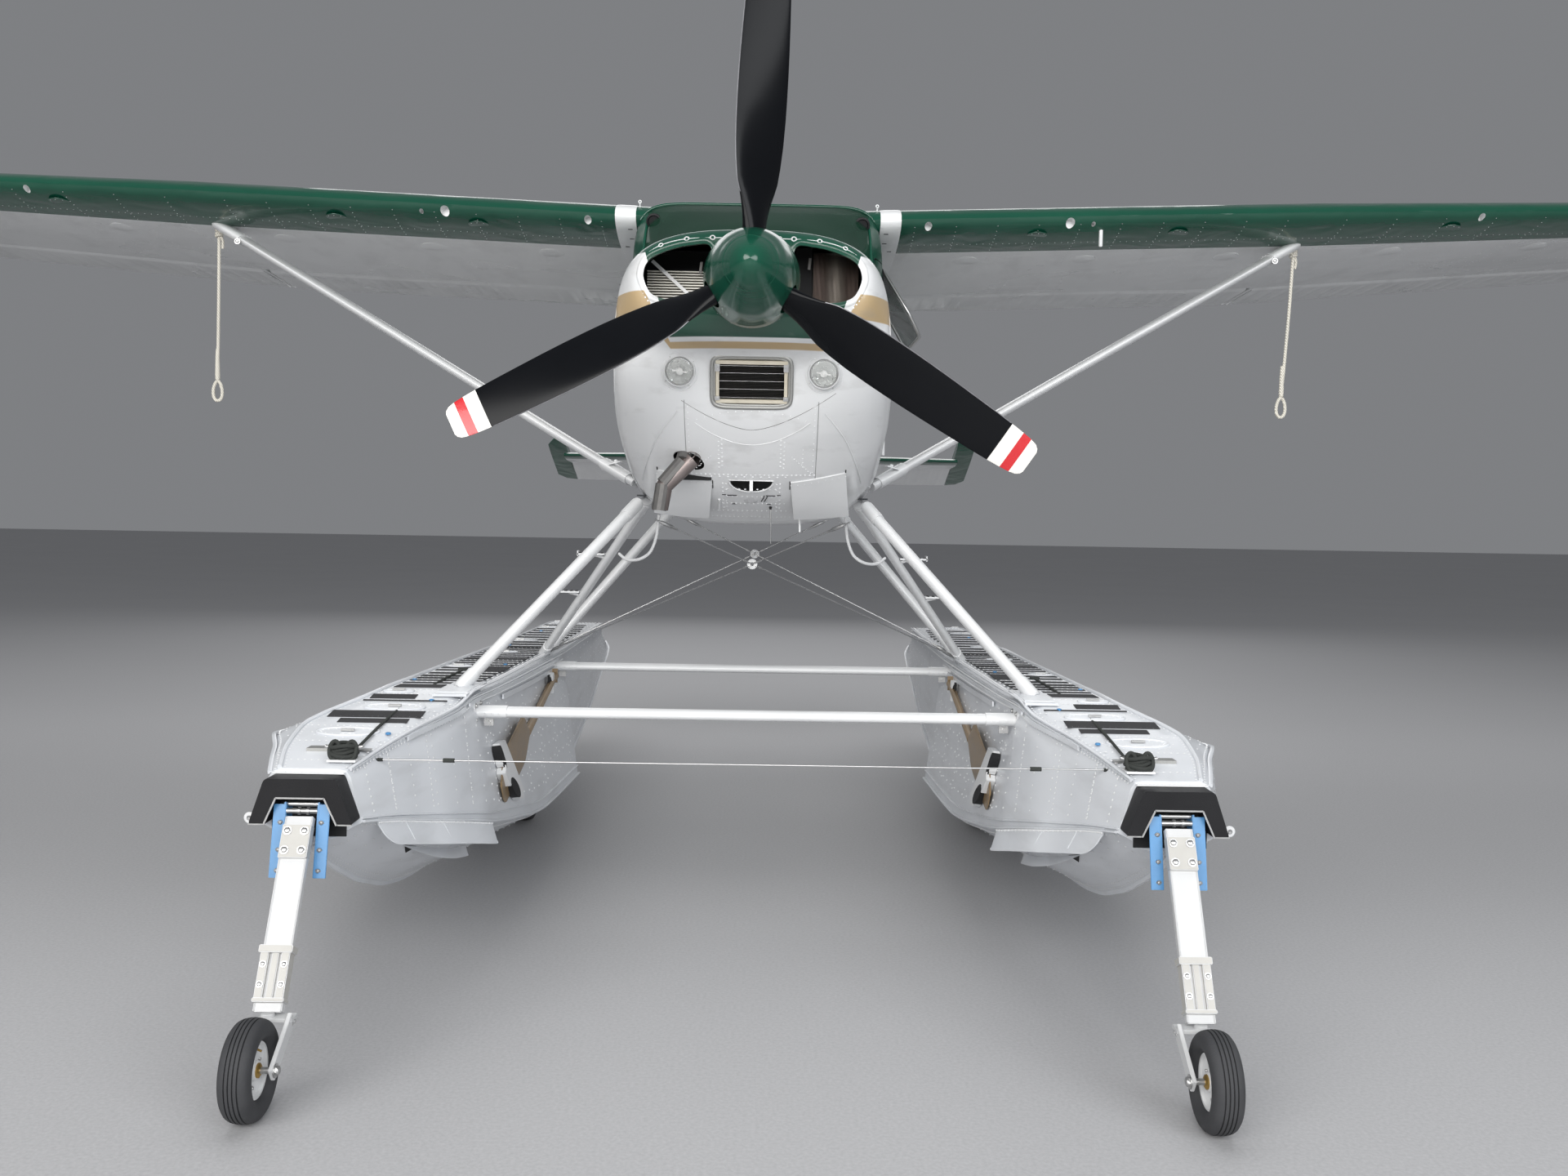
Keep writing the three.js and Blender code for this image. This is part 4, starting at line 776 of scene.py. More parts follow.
def make_cowling():
    front = body_rings(COWL_ROWS, COWL_STATIONS)
    outer = dome_rings(front[0], 8) + front
    inner = body_rings(COWL_ROWS, COWL_STATIONS, -12, 12)
    shell = Shape().loft(outer, caps=(True, False))
    n = len(shell.v)
    shell.loft(inner[::-1], caps=(False, True))
    # A band of faces joins the outer and the inner skin round the rear edge.
    count = len(front[0])
    first = n - count
    for k in range(count):
        j = (k + 1) % count
        shell.f.append((first + k, first + j, n + j, n + k))
        shell.m.append(0)
    cowl = piece(
        "cowling", shell, COWL_PAINT, hides=("cowl_nose", "cowl_upper", "cowl_lower")
    )
    cuts = [Shape().lathe([(96, 0), (96, 240)], (0, 180, HUB_Z), (0, 1, 0), 64)]
    for side in (-1, 1):
        cuts.append(front_prism(inlet_outline(side), 200, 400))
        cuts.append(
            Shape().lathe(
                [(LAMP_RADIUS, 0), (LAMP_RADIUS, 240)], (side * LAMP_X, 360, LAMP_Z), (0, 1, 0), 48
            )
        )
        lo, hi = sorted((side * 166, side * 340))
        cuts.append(Shape().box(lo, hi, 760, 925, 1500, 1790))
    cuts.append(slot_cutter(0, 2118, 139, 84, 380, 560, 0.3))
    # Leaning oval for the exhaust pipe, and the half-moon slot in the belly.
    half_long, half_wide, lean_c, lean_s = 60, 28, 0.944, 0.33
    hole = [
        (
            -232 + half_long * math.cos(t) * lean_c + half_wide * math.sin(t) * lean_s,
            1847 - half_long * math.cos(t) * lean_s + half_wide * math.sin(t) * lean_c,
        )
        for t in np.arange(48) * math.pi / 24
    ]
    cuts.append(front_prism(hole, 500, 760))
    moon = [(-80, 1776)] + [
        (80 * math.cos(math.pi * (1 + t)), 1776 - 38 * math.sin(math.pi * t))
        for t in np.linspace(0, 1, 17)[1:-1]
    ] + [(80, 1776)]
    cuts.append(front_prism(moon, 640, 860))
    carve(cowl, cuts, smooth=32)

    # Rounded lips round the two air inlets, and the seam line of screws above them.
    lips = Shape()
    for side in (-1, 1):
        path = [(x, front_y(x, z) + 9, z) for x, z in inlet_outline(side, 12)]
        lips.tube(path, 12.5, 14, loop=True)
    xz = ring_points(0, HUB_Z, 97, 97, 60, 1.0)
    lips.tube([(x, front_y(x, z) + 4, z) for x, z in xz], 5, 8, loop=True)
    piece("inlet_lips", lips, COWL_PAINT, smooth=60)

    trim = Shape()
    arc = []
    for x in np.linspace(-379, 379, 61):
        z = 2595 - 66 * (abs(x) / 375) ** 5
        arc.append((x, front_y(x, z) - 0.6, z))
    arc = np.array(arc)
    trim.tube(arc, 1.5, 6)
    for k in (5, 12, 19, 23, 37, 41, 48, 55):
        x, _, z = arc[k]
        n = unit(
            ((front_y(x + 4, z) - front_y(x - 4, z)) / 8, -1, (front_y(x, z + 4) - front_y(x, z - 4)) / 8)
        )
        p = arc[k] + n * 1.2
        trim.lathe([(5.6, 0), (8.0, -2.2), (10.2, 0), (8.0, 2.2)], p, n, 20, closed=True)
        trim.dome(p, n, 5.6, 2.2, 2)
    moon_path = [(x * 1.05, front_y(x, z) - 1, z + (2 if z > 1775 else -2)) for x, z in moon]
    trim.tube(moon_path, 3.0, 8, loop=True)
    trim.box(-6, 6, front_y(0, 1776) - 5, front_y(0, 1776) + 60, 1738, 1779)
    # Raised ridges on the lower cheeks, the curved edge below the grille and an oval plate underneath.
    for side in (-1, 1):
        ridge = spline(
            [(side * 264, 0, 2017), (side * 336, 0, 1939), (side * 381, 0, 1866), (side * 428, 0, 1778)], 30
        )
        trim.tube([(x, front_y(x, z) + 1.2, z) for x, _, z in ridge], 3.2, 8)
    trim.tube(
        [
            (x, front_y(x, z) + 0.8, z)
            for x, z in ((x, 1904 + 79 * (abs(x) / 212) ** 1.9) for x in np.linspace(-204, 212, 31))
        ],
        2.2, 8,
    )
    oval = [(-3 + 27 * math.cos(t), 1703 + 11 * math.sin(t)) for t in np.arange(28) * math.pi / 14]
    trim.loft([[(x, front_y(x, z) - k, z) for x, z in oval] for k in (-2, 2.5)])
    trim.tube([(-124, front_y(-124, 1705) - 4, 1708), (-126, front_y(-126, 1672) - 4, 1668)], 6, 10)
    trim.tube([(190, 1000, 1665), (192, 1002, 1582)], 4.2, 12)
    trim.tube([(73, 900, 1700), (75, 906, 1660), (77, 950, 1535)], (5, 3, 2.2), 10, 1)
    piece("cowl_trim", trim, [TRIM_WHITE, STEEL, GREEN], smooth=60)

    studs = Shape()

    def stud(x, z, r=4.8):
        y = front_y(x, z)
        if y < 1070:
            dx = (front_y(x + 4, z) - y) / 4
            dz = (front_y(x, z + 4) - y) / 4
            studs.dome((x, y, z), (dx, -1, dz), r, 3.0)

    for side in (-1, 1):
        for z in np.arange(1824, 1915, 15):
            stud(side * 120, z)
            stud(side * 108, z + 6)
        for z in np.arange(1676, 1775, 15):
            stud(side * 108, z)
        for z in np.arange(1680, 1775, 21):
            stud(side * 96, z, 3)
        for z in np.arange(1812, 2040, 20):
            stud(side * 228, z, 3)
        for z in np.arange(1830, 1900, 15):
            stud(side * 190, z, 3)
        for k in range(9):
            stud(side * (150 + 9 * k), 1864 - 7 * k, 3)
    for z, reach, step in (
        (1797, 240, 17), (1790, 150, 31), (1745, 92, 23), (1718, 92, 19), (1692, 128, 17), (1664, 150, 19),
        (1640, 240, 17),
    ):
        for x in np.arange(-reach, reach + 1, step):
            stud(x, z + 6 * (x / 300) ** 2)
    for x in np.arange(-196, 197, 28):
        stud(x, 2020 - 0.0008 * x * x, 3)
    for side in (-1, 1):
        for t in np.linspace(-0.5, 0.9, 12):
            x, z = side * (INLET_X + 128 * math.cos(t)), INLET_Z - 30 - 118 * math.sin(t)
            if abs(x) < 430:
                stud(x, z, 4)
    piece("cowl_rivets", studs, RIVET_HIGHLIGHT, smooth=80)

    # Lower edge of the nose bowl, and small dark gaps and scuffs under the cowling.
    line = Shape()
    arc = [(x, 1955 + 91 * (abs(x) / 238) ** 1.6) for x in np.linspace(-250, 300, 48)]
    line.tube([(x, front_y(x, z) + 0.3, z) for x, z in arc if abs(x) < 262 or x > 0], 0.9, 6)
    piece("bowl_joint", line, CAST, smooth=60)
    gaps = Shape()
    for side in (-1, 1):
        for x, z0, z1 in ((146, 1748, 1776), (356, 1814, 1823)):
            x *= side
            gaps.bar((x, front_y(x, z0) - 2, z0), (x, front_y(x, z1) - 2, z1), 3.5, 3, (1, 0, 0))
        for x0, x1, z in ((56, 92, 1722), (98, 112, 1724), (60, 76, 1690)):
            gaps.tube([(side * x0, front_y(x0, z) - 0.5, z), (side * x1, front_y(x1, z) - 0.5, z)], 1.6, 6)
    for x in (38, 50):
        gaps.tube(
            [
                (x, front_y(x, 1700) - 2, 1700), (x + 8, front_y(x, 1712) - 6, 1712),
                (x + 12, front_y(x, 1722) - 2, 1722),
            ],
            1.6, 6,
        )
    gaps.lathe([(5, 0), (6, 6), (4, 14), (3, 14)], (74, 902, 1684), (0, 0, -1), 12)
    piece("cowl_gaps", gaps, DARK, smooth=60)


make_cowling()


def make_grille():
    y_top, y_low = front_y(0, 2199), front_y(0, 2034)
    lean = unit((0, y_top - y_low, 165))
    face = front_of(lean)
    middle = np.array((0, (y_top + y_low) / 2 - 1, 2120.0))
    at = lambda u, v, w: middle + np.array((u, 0, 0)) + lean * v + face * w
    frame_part = Shape()
    outer = [(x, z) for x, z in ring_points(0, 0, 141, 93, 48, 0.28)]
    frame_part.tube([at(u, v, 1) for u, v in outer], 7.5, 10, loop=True)
    frame_part.tube([at(u * 0.945, v * 0.92, -1) for u, v in outer], 6.5, 10, loop=True)
    frame_part.tube([at(u * 0.91, v * 0.87, -6) for u, v in outer], 5.0, 8, loop=True)
    piece("grille_surround", frame_part, DULL, smooth=60)
    inner = Shape()
    for v in (-70, 70):
        inner.bar(at(-127, v, 1), at(127, v, 1), 13, 12, lean)
    for u in (-121, 121):
        inner.bar(at(u, -70, 1), at(u, 70, 1), 12, 11, (1, 0, 0))
    piece(
        "grille_frame", inner, plain("cream_paint", (0.52, 0.47, 0.37), (0.74, 0.69, 0.58), 0.4, scale=25),
        bevel=1.5,
    )
    parts = Shape()
    for u in (-121, 121):
        for v in (-58, 46, 58):
            parts.bar(at(u, v - 7, 9), at(u, v + 7, 9), 17, 8, (1, 0, 0))
            parts.bolt(at(u, v, 13), face, 3.6, 4)
    for v in (-58, -28, 1, 30, 56):
        parts.tube([at(-114, v, -5), at(114, v, -5)], 0.55, 8)
    piece("grille_clips", parts, WIRE, bevel=0.6)
    core = Shape()
    for v in np.linspace(-62, 62, 31):
        core.bar(at(-115, v, -16), at(115, v, -16), 2.2, 14, lean)
    # A near-black plate behind the core: painted shade.
    core.bar(at(-117, 0, -30), at(117, 0, -30), 132, 10, lean, 1)
    piece("oil_cooler_core", core, [CORE, DARK], hides=("oil_cooler",))
    # The box round the cooler is near black: painted shade in the cavity behind the grille.
    tray = Shape()
    tray.box(-136, 136, y_low + 28, 556, 2035, 2197)
    piece("oil_cooler_box", tray, DARK, bevel=2)
    # A near-black plate behind the exhaust hole: painted shadow.
    shade = Shape().box(-312, -150, 704, 710, 1776, 1918)
    piece("exhaust_hole_painted_shadow", shade, DARK)


make_grille()


def make_lamps():
    cap = plain("frosted_cap", (0.7, 0.7, 0.68), (0.9, 0.9, 0.88), 0.2, scale=60)
    for name, side in SIDES:
        x = side * LAMP_X
        around = [
            front_y(x + 50 * math.cos(t), LAMP_Z + 50 * math.sin(t)) for t in np.arange(16) * math.pi / 8
        ]
        y, deep = min(around) + 10, max(around)
        ring = Shape().lathe(
            [(49, 0), (51, -5), (55, -7), (57, -3), (57, 6), (56, deep - y + 22), (48, deep - y + 22)],
            (x, y, LAMP_Z), (0, 1, 0), 56, closed=True,
        )
        rim = [(x + 66 * math.cos(t), LAMP_Z + 66 * math.sin(t)) for t in np.arange(64) * math.pi / 32]
        ring.tube([(u, front_y(u, v) + 1.5, v) for u, v in rim], 3.0, 8, loop=True)
        piece(f"lamp_ring_{name}", ring, TRIM_WHITE, smooth=50)
        bezel = Shape().lathe(
            [(46, -4), (48, -8), (51, -6), (50, 2), (46, 2)], (x, y, LAMP_Z), (0, 1, 0), 56, closed=True
        )
        for a in np.arange(4) * math.pi / 2 + 0.6:
            bezel.bolt(
                (
                    x + 60 * math.cos(a), front_y(x + 60 * math.cos(a), LAMP_Z + 60 * math.sin(a)) - 1,
                    LAMP_Z + 60 * math.sin(a),
                ),
                (0, -1, 0), 2.2, 2,
            )
        piece(f"lamp_bezel_{name}", bezel, STEEL, smooth=50)
        bowl = [(46 * math.sqrt(t), 36 * (1 - t)) for t in np.linspace(1, 0.03, 14)]
        mirror = Shape().lathe(
            [(47, 0), *[(r, h) for r, h in bowl], (4, 38), (48, 40)], (x, y, LAMP_Z), (0, 1, 0), 48,
            closed=True,
        )
        piece(f"lamp_mirror_{name}", mirror, REFLECTOR, smooth=60)
        bulb = Shape().lathe([(0.5, 4), (9, 5), (13, 10), (13, 24), (7, 34)], (x, y, LAMP_Z), (0, 1, 0), 24)
        bulb.bar((x - 26, y + 8, LAMP_Z + 4), (x + 26, y + 8, LAMP_Z - 4), 5, 3, (0, 0, 1))
        piece(f"lamp_bulb_{name}", bulb, cap, smooth=60)
        lens = Shape().lathe(
            [(0.5, -11), (16, -10.2), (30, -8), (42, -5), (46, -1), (46, 1), (30, -5), (0.5, -8)],
            (x, y, LAMP_Z), (0, 1, 0), 48,
        )
        piece(f"lamp_lens_{name}", lens, LENS, smooth=60)


make_lamps()

# Middle line of the exhaust pipe
EXHAUST_PATH = ((-230, 800, 2300), (-214, 680, 1930), (-218, 612, 1850), (-318, 598, 1752), (-334, 598, 1662))


def make_engine_bay():
    pipe = Shape()
    p = [np.array(q, float) for q in EXHAUST_PATH]
    bent = [p[0], p[1], p[2], p[2] * 0.12 + p[3] * 0.88, p[3], p[3] * 0.86 + p[4] * 0.14, p[4] + (0, 0, 0.5)]
    line = spline(bent[:3], 14)
    pipe.tube(line, 31, 28, caps=(True, False))
    pipe.tube([bent[2], bent[3]], 31, 28, caps=(False, False))
    pipe.tube([bent[3], bent[4] + (0, 0, -2), bent[5]], 31.2, 28, caps=(False, False))
    foot = bent[6]
    pipe.tube([bent[5], foot + (0, 0, 3), foot, foot + (0, 0, 18)], (31, 31, 28, 28), 28, caps=(False, True))
    for q in (bent[3] * 0.5 + bent[4] * 0.5, bent[2] * 0.96 + bent[3] * 0.04):
        ring = [
            q + 31.1 * (math.cos(t) * unit((0.6, 0, 0.7)) + math.sin(t) * np.array((0, 1, 0)))
            for t in turns(28)
        ]
        pipe.tube(ring, 1.6, 6, loop=True)
    piece("exhaust_pipe", pipe, EXHAUST, smooth=50)

    # Cowl flaps, held open under the rear edge.
    for name, side in SIDES:
        flap, rod = Shape(), Shape()
        rows = []
        for t in np.linspace(0, 1, 9):
            front = np.array((side * (148 + 208 * t), 0, 1772 + 40 * t**1.3))
            front[1] = front_y(front[0], front[2]) - 5
            back = np.array((side * (168 + 216 * t), 950, 1632 + 18 * t**2))
            rows.append(
                [
                    front + (back - front) * k - (0, 0, 9 * math.sin(math.pi * k))
                    for k in np.linspace(0, 1, 6)
                ]
            )
            rod.dome(front + (back - front) * 0.06 + (0, -3, -3), (0, -0.8, -1), 2.8, 1.4, 1)
        flap.loft([[*r, *[p + (0, 3, 4) for p in r[::-1]]] for r in rows])
        piece(f"cowl_flap_{name}", flap, TRIM_WHITE, smooth=40)
        rod.tube([(side * 262, 930, 1650), (side * 262, 960, 1745)], 4, 10)
        piece(f"cowl_flap_rod_{name}", rod, [STEEL, RIVET_HIGHLIGHT], smooth=60)

    # What shows through the inlets: a finned cylinder bank on one side, a baffle on the other, with
    # near-black blocks behind them as painted shade.
    fins = Shape()
    for k in range(15):
        z = 2508 - k * 9.6
        fins.box(-378, -166, 470, 560, z, z + 4.2)
    fins.box(-376, -168, 520, 566, 2380, 2528, 2)
    fins.bar((-360, 462, 2545), (-225, 462, 2425), 12, 4, (0.6, 0, 0.8), 1)
    piece(
        "cylinder_fins", fins,
        [
            plain("fin_metal", (0.55, 0.53, 0.48), (0.82, 0.80, 0.74), 0.5, metal=0.3, scale=40),
            TRIM_WHITE, DARK,
        ],
    )
    baffle = Shape()
    for k in range(46):
        x = 214 + k * 3.5
        baffle.box(x, x + 1.1, 468, 520, 2402, 2585)
    baffle.box(212, 376, 520, 530, 2402, 2585, 1)
    piece("air_baffle", baffle, [BAFFLE, CAST])
    # Near-black plates behind the fins and the baffle are painted shade; the small bars are metal fittings.
    back = Shape()
    back.box(-400, -165, 562, 576, 2380, 2600)
    back.box(150, 208, 470, 576, 2400, 2600)
    back.bar((-330, 475, 2570), (-330, 475, 2600), 60, 6, (1, 0, 0))
    back.bar((196, 440, 2520), (200, 440, 2560), 9, 5, (1, 0, 0), 1)
    back.bar((-188, 440, 2500), (-184, 440, 2540), 9, 5, (1, 0, 0), 1)
    piece("engine_bay_shade_and_fittings", back, [DARK, CAST])


make_engine_bay()


# Propeller
# How far the propeller stands turned in the photograph
PROP_TURN = math.radians(2.7)
# radius, station
SPINNER_PROFILE = (
    (0, -300), (10, -298.6), (26, -292), (52, -266), (92, -192), (128, -100), (151, 0), (159, 60),
    (160, 92), (156, 120),
)
# radius, chord, thickness, blade angle in degrees
BLADE_ROWS = (
    (60, 84, 70, 60), (170, 106, 58, 50), (240, 136, 46, 44), (300, 172, 36, 41), (420, 186, 27, 35),
    (560, 180, 22, 28), (830, 158, 16, 20), (1040, 130, 11, 16), (1088, 106, 8, 15),
)
# Radii where the blade's colour changes
BAND_EDGES = (968, 1015, 1048)


def blade_ring(radius, chord, thick, angle, turn, count=40, round_share=0.0, inset=0.0):
    a = math.radians(angle)
    out = np.array((math.sin(turn), 0, math.cos(turn)))
    across = np.array((math.cos(turn), 0, -math.sin(turn)))
    back = np.array((0, 1.0, 0))
    wide = across * math.cos(a) + back * math.sin(a)
    thin = -across * math.sin(a) + back * math.cos(a)
    t = turns(count, 0.5)
    c, s = np.cos(t), np.sin(t)
    flatter = np.where(s > 0, 1.0, 0.62 + 0.38 * round_share)
    half_thick = max(thick / 2 - inset * 0.5, 0.6)
    bulge = np.sign(s) * np.abs(s) ** (1.25 - 0.25 * round_share) * flatter * half_thick
    centre = np.array((0, 0, HUB_Z)) + out * radius
    return centre + np.outer(c * (chord / 2 - inset), wide) + np.outer(bulge, thin)


def blade_band(radius):
    """Black blade, white tip with a red band in it."""
    if radius < BAND_EDGES[0]:
        return 0
    return 2 if BAND_EDGES[1] <= radius < BAND_EDGES[2] else 1


def make_propeller():
    radii = np.array(
        sorted(
            [
                60, 100, 140, 170, 200, 235, 270, 300, 350, 420, 500, 560, 640, 720, 800, 860, 920,
                *BAND_EDGES, 1030, 1070, 1082, 1087,
            ]
        )
    )
    rows = read_rows(BLADE_ROWS, radii)
    blades = Shape()
    for i in range(3):
        turn = PROP_TURN + i * 2 * math.pi / 3
        rings = []
        for r, chord, thick, angle in rows:
            tip = max(r - 1074, 0)
            rings.append(
                blade_ring(
                    r, chord, thick, angle, turn, 40, float(np.clip((300 - r) / 200, 0, 1)),
                    tip * tip * 0.09,
                )
            )
        blades.loft(rings, 1, caps=(True, True), slot_at=lambda i, k: blade_band(radii[i]))
        cuff = [blade_ring(r, 88 + (r - 60) * 0.05, 76, 58, turn, 32, 1.0) for r in (80, 118)]
        blades.loft(cuff, 3)
        # Worn leading edge: a fine bright line along the front of the blade.
        edge = []
        for r, chord, thick, angle in read_rows(BLADE_ROWS, np.linspace(250, 962, 40)):
            ring = blade_ring(r, chord, thick, angle, turn, 40, 0.0)
            edge.append(ring[20])
        blades.tube(edge, 1.6, 6, slot=3)
    piece(
        "propeller_blades", blades, [BLACK, BAND_WHITE, RED, BLACK_EDGE], "propeller", 50,
        ("propeller",),
    )
    hub = Shape()
    hub.lathe([(60, -90), (92, -70), (92, 60), (70, 84)], (0, 0, HUB_Z), (0, 1, 0), 40)
    hub.lathe([(112, 92), (112, 114), (40, 114), (38, 480), (0.1, 480)], (0, 0, HUB_Z), (0, 1, 0), 40)
    for i in range(12):
        a = i * math.pi / 6
        hub.bolt((80 * math.cos(a), 92, HUB_Z + 80 * math.sin(a)), (0, -1, 0), 7, 8)
    piece("propeller_hub", hub, DULL, "propeller", 40)

    fine_y = np.concatenate((np.linspace(-300, -280, 7)[:-1], np.linspace(-280, 100, 30), [120]))
    curve = read_rows([(y, r) for r, y in SPINNER_PROFILE], fine_y)
    outer = [(max(r, 0.1), y) for y, r in curve]
    inner = [(max(r - 4, 0.1), y + (9 if y < -250 else 2)) for y, r in curve[:-1]][::-1]
    profile = outer + [(60, 120), (60, 116), (158, 116)] + inner
    cover = piece(
        "spinner_cover", Shape().lathe(profile, (0, 0, HUB_Z), (0, 1, 0), 72, closed=True), GREEN, None, 40
    )
    cuts = []
    for i in range(3):
        turn = PROP_TURN + i * 2 * math.pi / 3
        cuts.append(
            Shape().loft(
                [
                    blade_ring(r, c, th, a, turn, 36, 1.0)
                    for r, c, th, a in ((60, 112, 88, 56), (130, 112, 88, 55), (260, 124, 88, 52))
                ]
            )
        )
    carve(cover, cuts, smooth=40)
    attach(cover, "propeller")
    stands_for(cover, "green_paint", "spinner")
    rim = Shape()
    turn = turns(64)
    rim.tube([(85.5 * math.cos(a), -205, HUB_Z + 85.5 * math.sin(a)) for a in turn], 1.6, 6, loop=True)
    for i in range(18):
        a = i * math.pi / 9 + 0.1
        rim.dome(
            (159.2 * math.cos(a), 84, HUB_Z + 159.2 * math.sin(a)), (math.cos(a), 0, math.sin(a)), 3.4, 1.6,
            1,
        )
    piece("spinner_rim", rim, [GREEN, STEEL], "propeller", 60)


make_propeller()


# Cabin
# front, back, bottom and top
DOOR = (1560, 2420, 1800, 2770)
DOOR_WINDOW = (1650, 2330, 2400, 2750)
REAR_WINDOW = (2540, 3180, 2370, 2680)
FLOOR_Z = 1715
# Station and height of the windscreen's corners in the side view, past the roof on top
WINDSCREEN = [
    (1110, 2640), (1430, 2640), (1700, 2950), (1742, 2985), (1742, 3200), (1000, 3200), (1000, 2640)
]
# Pivot x and z of the left door's open pane, and how far it stands out in degrees
OPEN_PANE = (553, 2749.6, 30)
CABIN_STATIONS = np.concatenate(
    (np.linspace(1075, 1760, 28), np.linspace(1800, 2420, 10), np.linspace(2480, 3395, 15))
)
INSIDE = plain(
    "cabin_lining", (0.10, 0.10, 0.095), (0.17, 0.165, 0.155), 0.8, scale=8, bump=0.0005, bump_scale=300
)


def rounded(outline, radius, steps=5):
    """Points of an outline whose corners are arcs."""
    p = np.array(outline, float)
    out = []
    for i in range(len(p)):
        a, b, c = p[i - 1], p[i], p[(i + 1) % len(p)]
        u, v = unit(a - b), unit(c - b)
        r = min(radius, np.linalg.norm(a - b) * 0.45, np.linalg.norm(c - b) * 0.45)
        for t in np.linspace(0, 1, steps):
            out.append((b + u * r) * (1 - t) ** 2 + b * 2 * t * (1 - t) + (b + v * r) * t**2)
    return np.array(out)


def window_outline(front, back, bottom, top, inset=0.0):
    """Station and height round a side window with raked front and cut corners."""
    y0, y1, z0, z1 = front + inset, back - inset, bottom + inset, top - inset
    return rounded([(y0 + 60, z0), (y1, z0), (y1, z1 - 20), (y1 - 20, z1), (y0 + 90, z1), (y0, z0 + 120)], 45)


def door_outline(inset):
    front, back, bottom, top = DOOR
    return rounded(
        [
            (front + inset, bottom + inset), (back - inset, bottom + inset), (back - inset, top - inset),
            (front + inset, top - inset),
        ],
        40,
    )


def side_x(rows, y, z, grow=0.0):
    """Half width of a body at a station and height."""
    _, half, bottom, top, wide, lower, upper = read_rows(rows, [y])[0]
    n, reach = (upper, top - wide) if z >= wide else (lower, wide - bottom)
    k = max(1 - (abs(z - wide) / reach) ** n, 0)
    return (half + grow) * k ** (1 / n)


def on_side(rows, side, outline, grow=0.0):
    return [(side * side_x(rows, y, z, grow), y, z) for y, z in outline]


def rivet_line(shape, rows, side, points, radius=3.0, height=1.3):
    for y, z in points:
        x = side_x(rows, y, z)
        dz = side_x(rows, y, z + 3) - x
        dy = side_x(rows, min(y + 3, rows[-1][0]), z) - x
        shape.dome((side * x, y, z), (side, -dy / 3, -dz / 3), radius, height)


def ring_rivets(shape, rows, y, step, radius=3.0, z_min=-1e9, z_max=1e9, height=1.3):
    ring = body_ring(read_rows(rows, [y])[0], 0, 400)
    around = float(np.sum(np.linalg.norm(np.diff(ring, axis=0), axis=1)))
    skip = max(int(400 / (around / step)), 1)
    for k in range(0, 400, skip):
        p = ring[k]
        if z_min <= p[2] <= z_max:
            n = np.cross(ring[(k + 1) % 400] - ring[k - 1], (0, 1, 0))
            if n.dot(p - np.array((0, y, 2150))) < 0:
                n = -n
            shape.dome(p, n, radius, height)


def copy_of(obj, name):
    mesh = obj.data.copy()
    other = bpy.data.objects.new(name, mesh)
    bpy.context.scene.collection.objects.link(other)
    return other


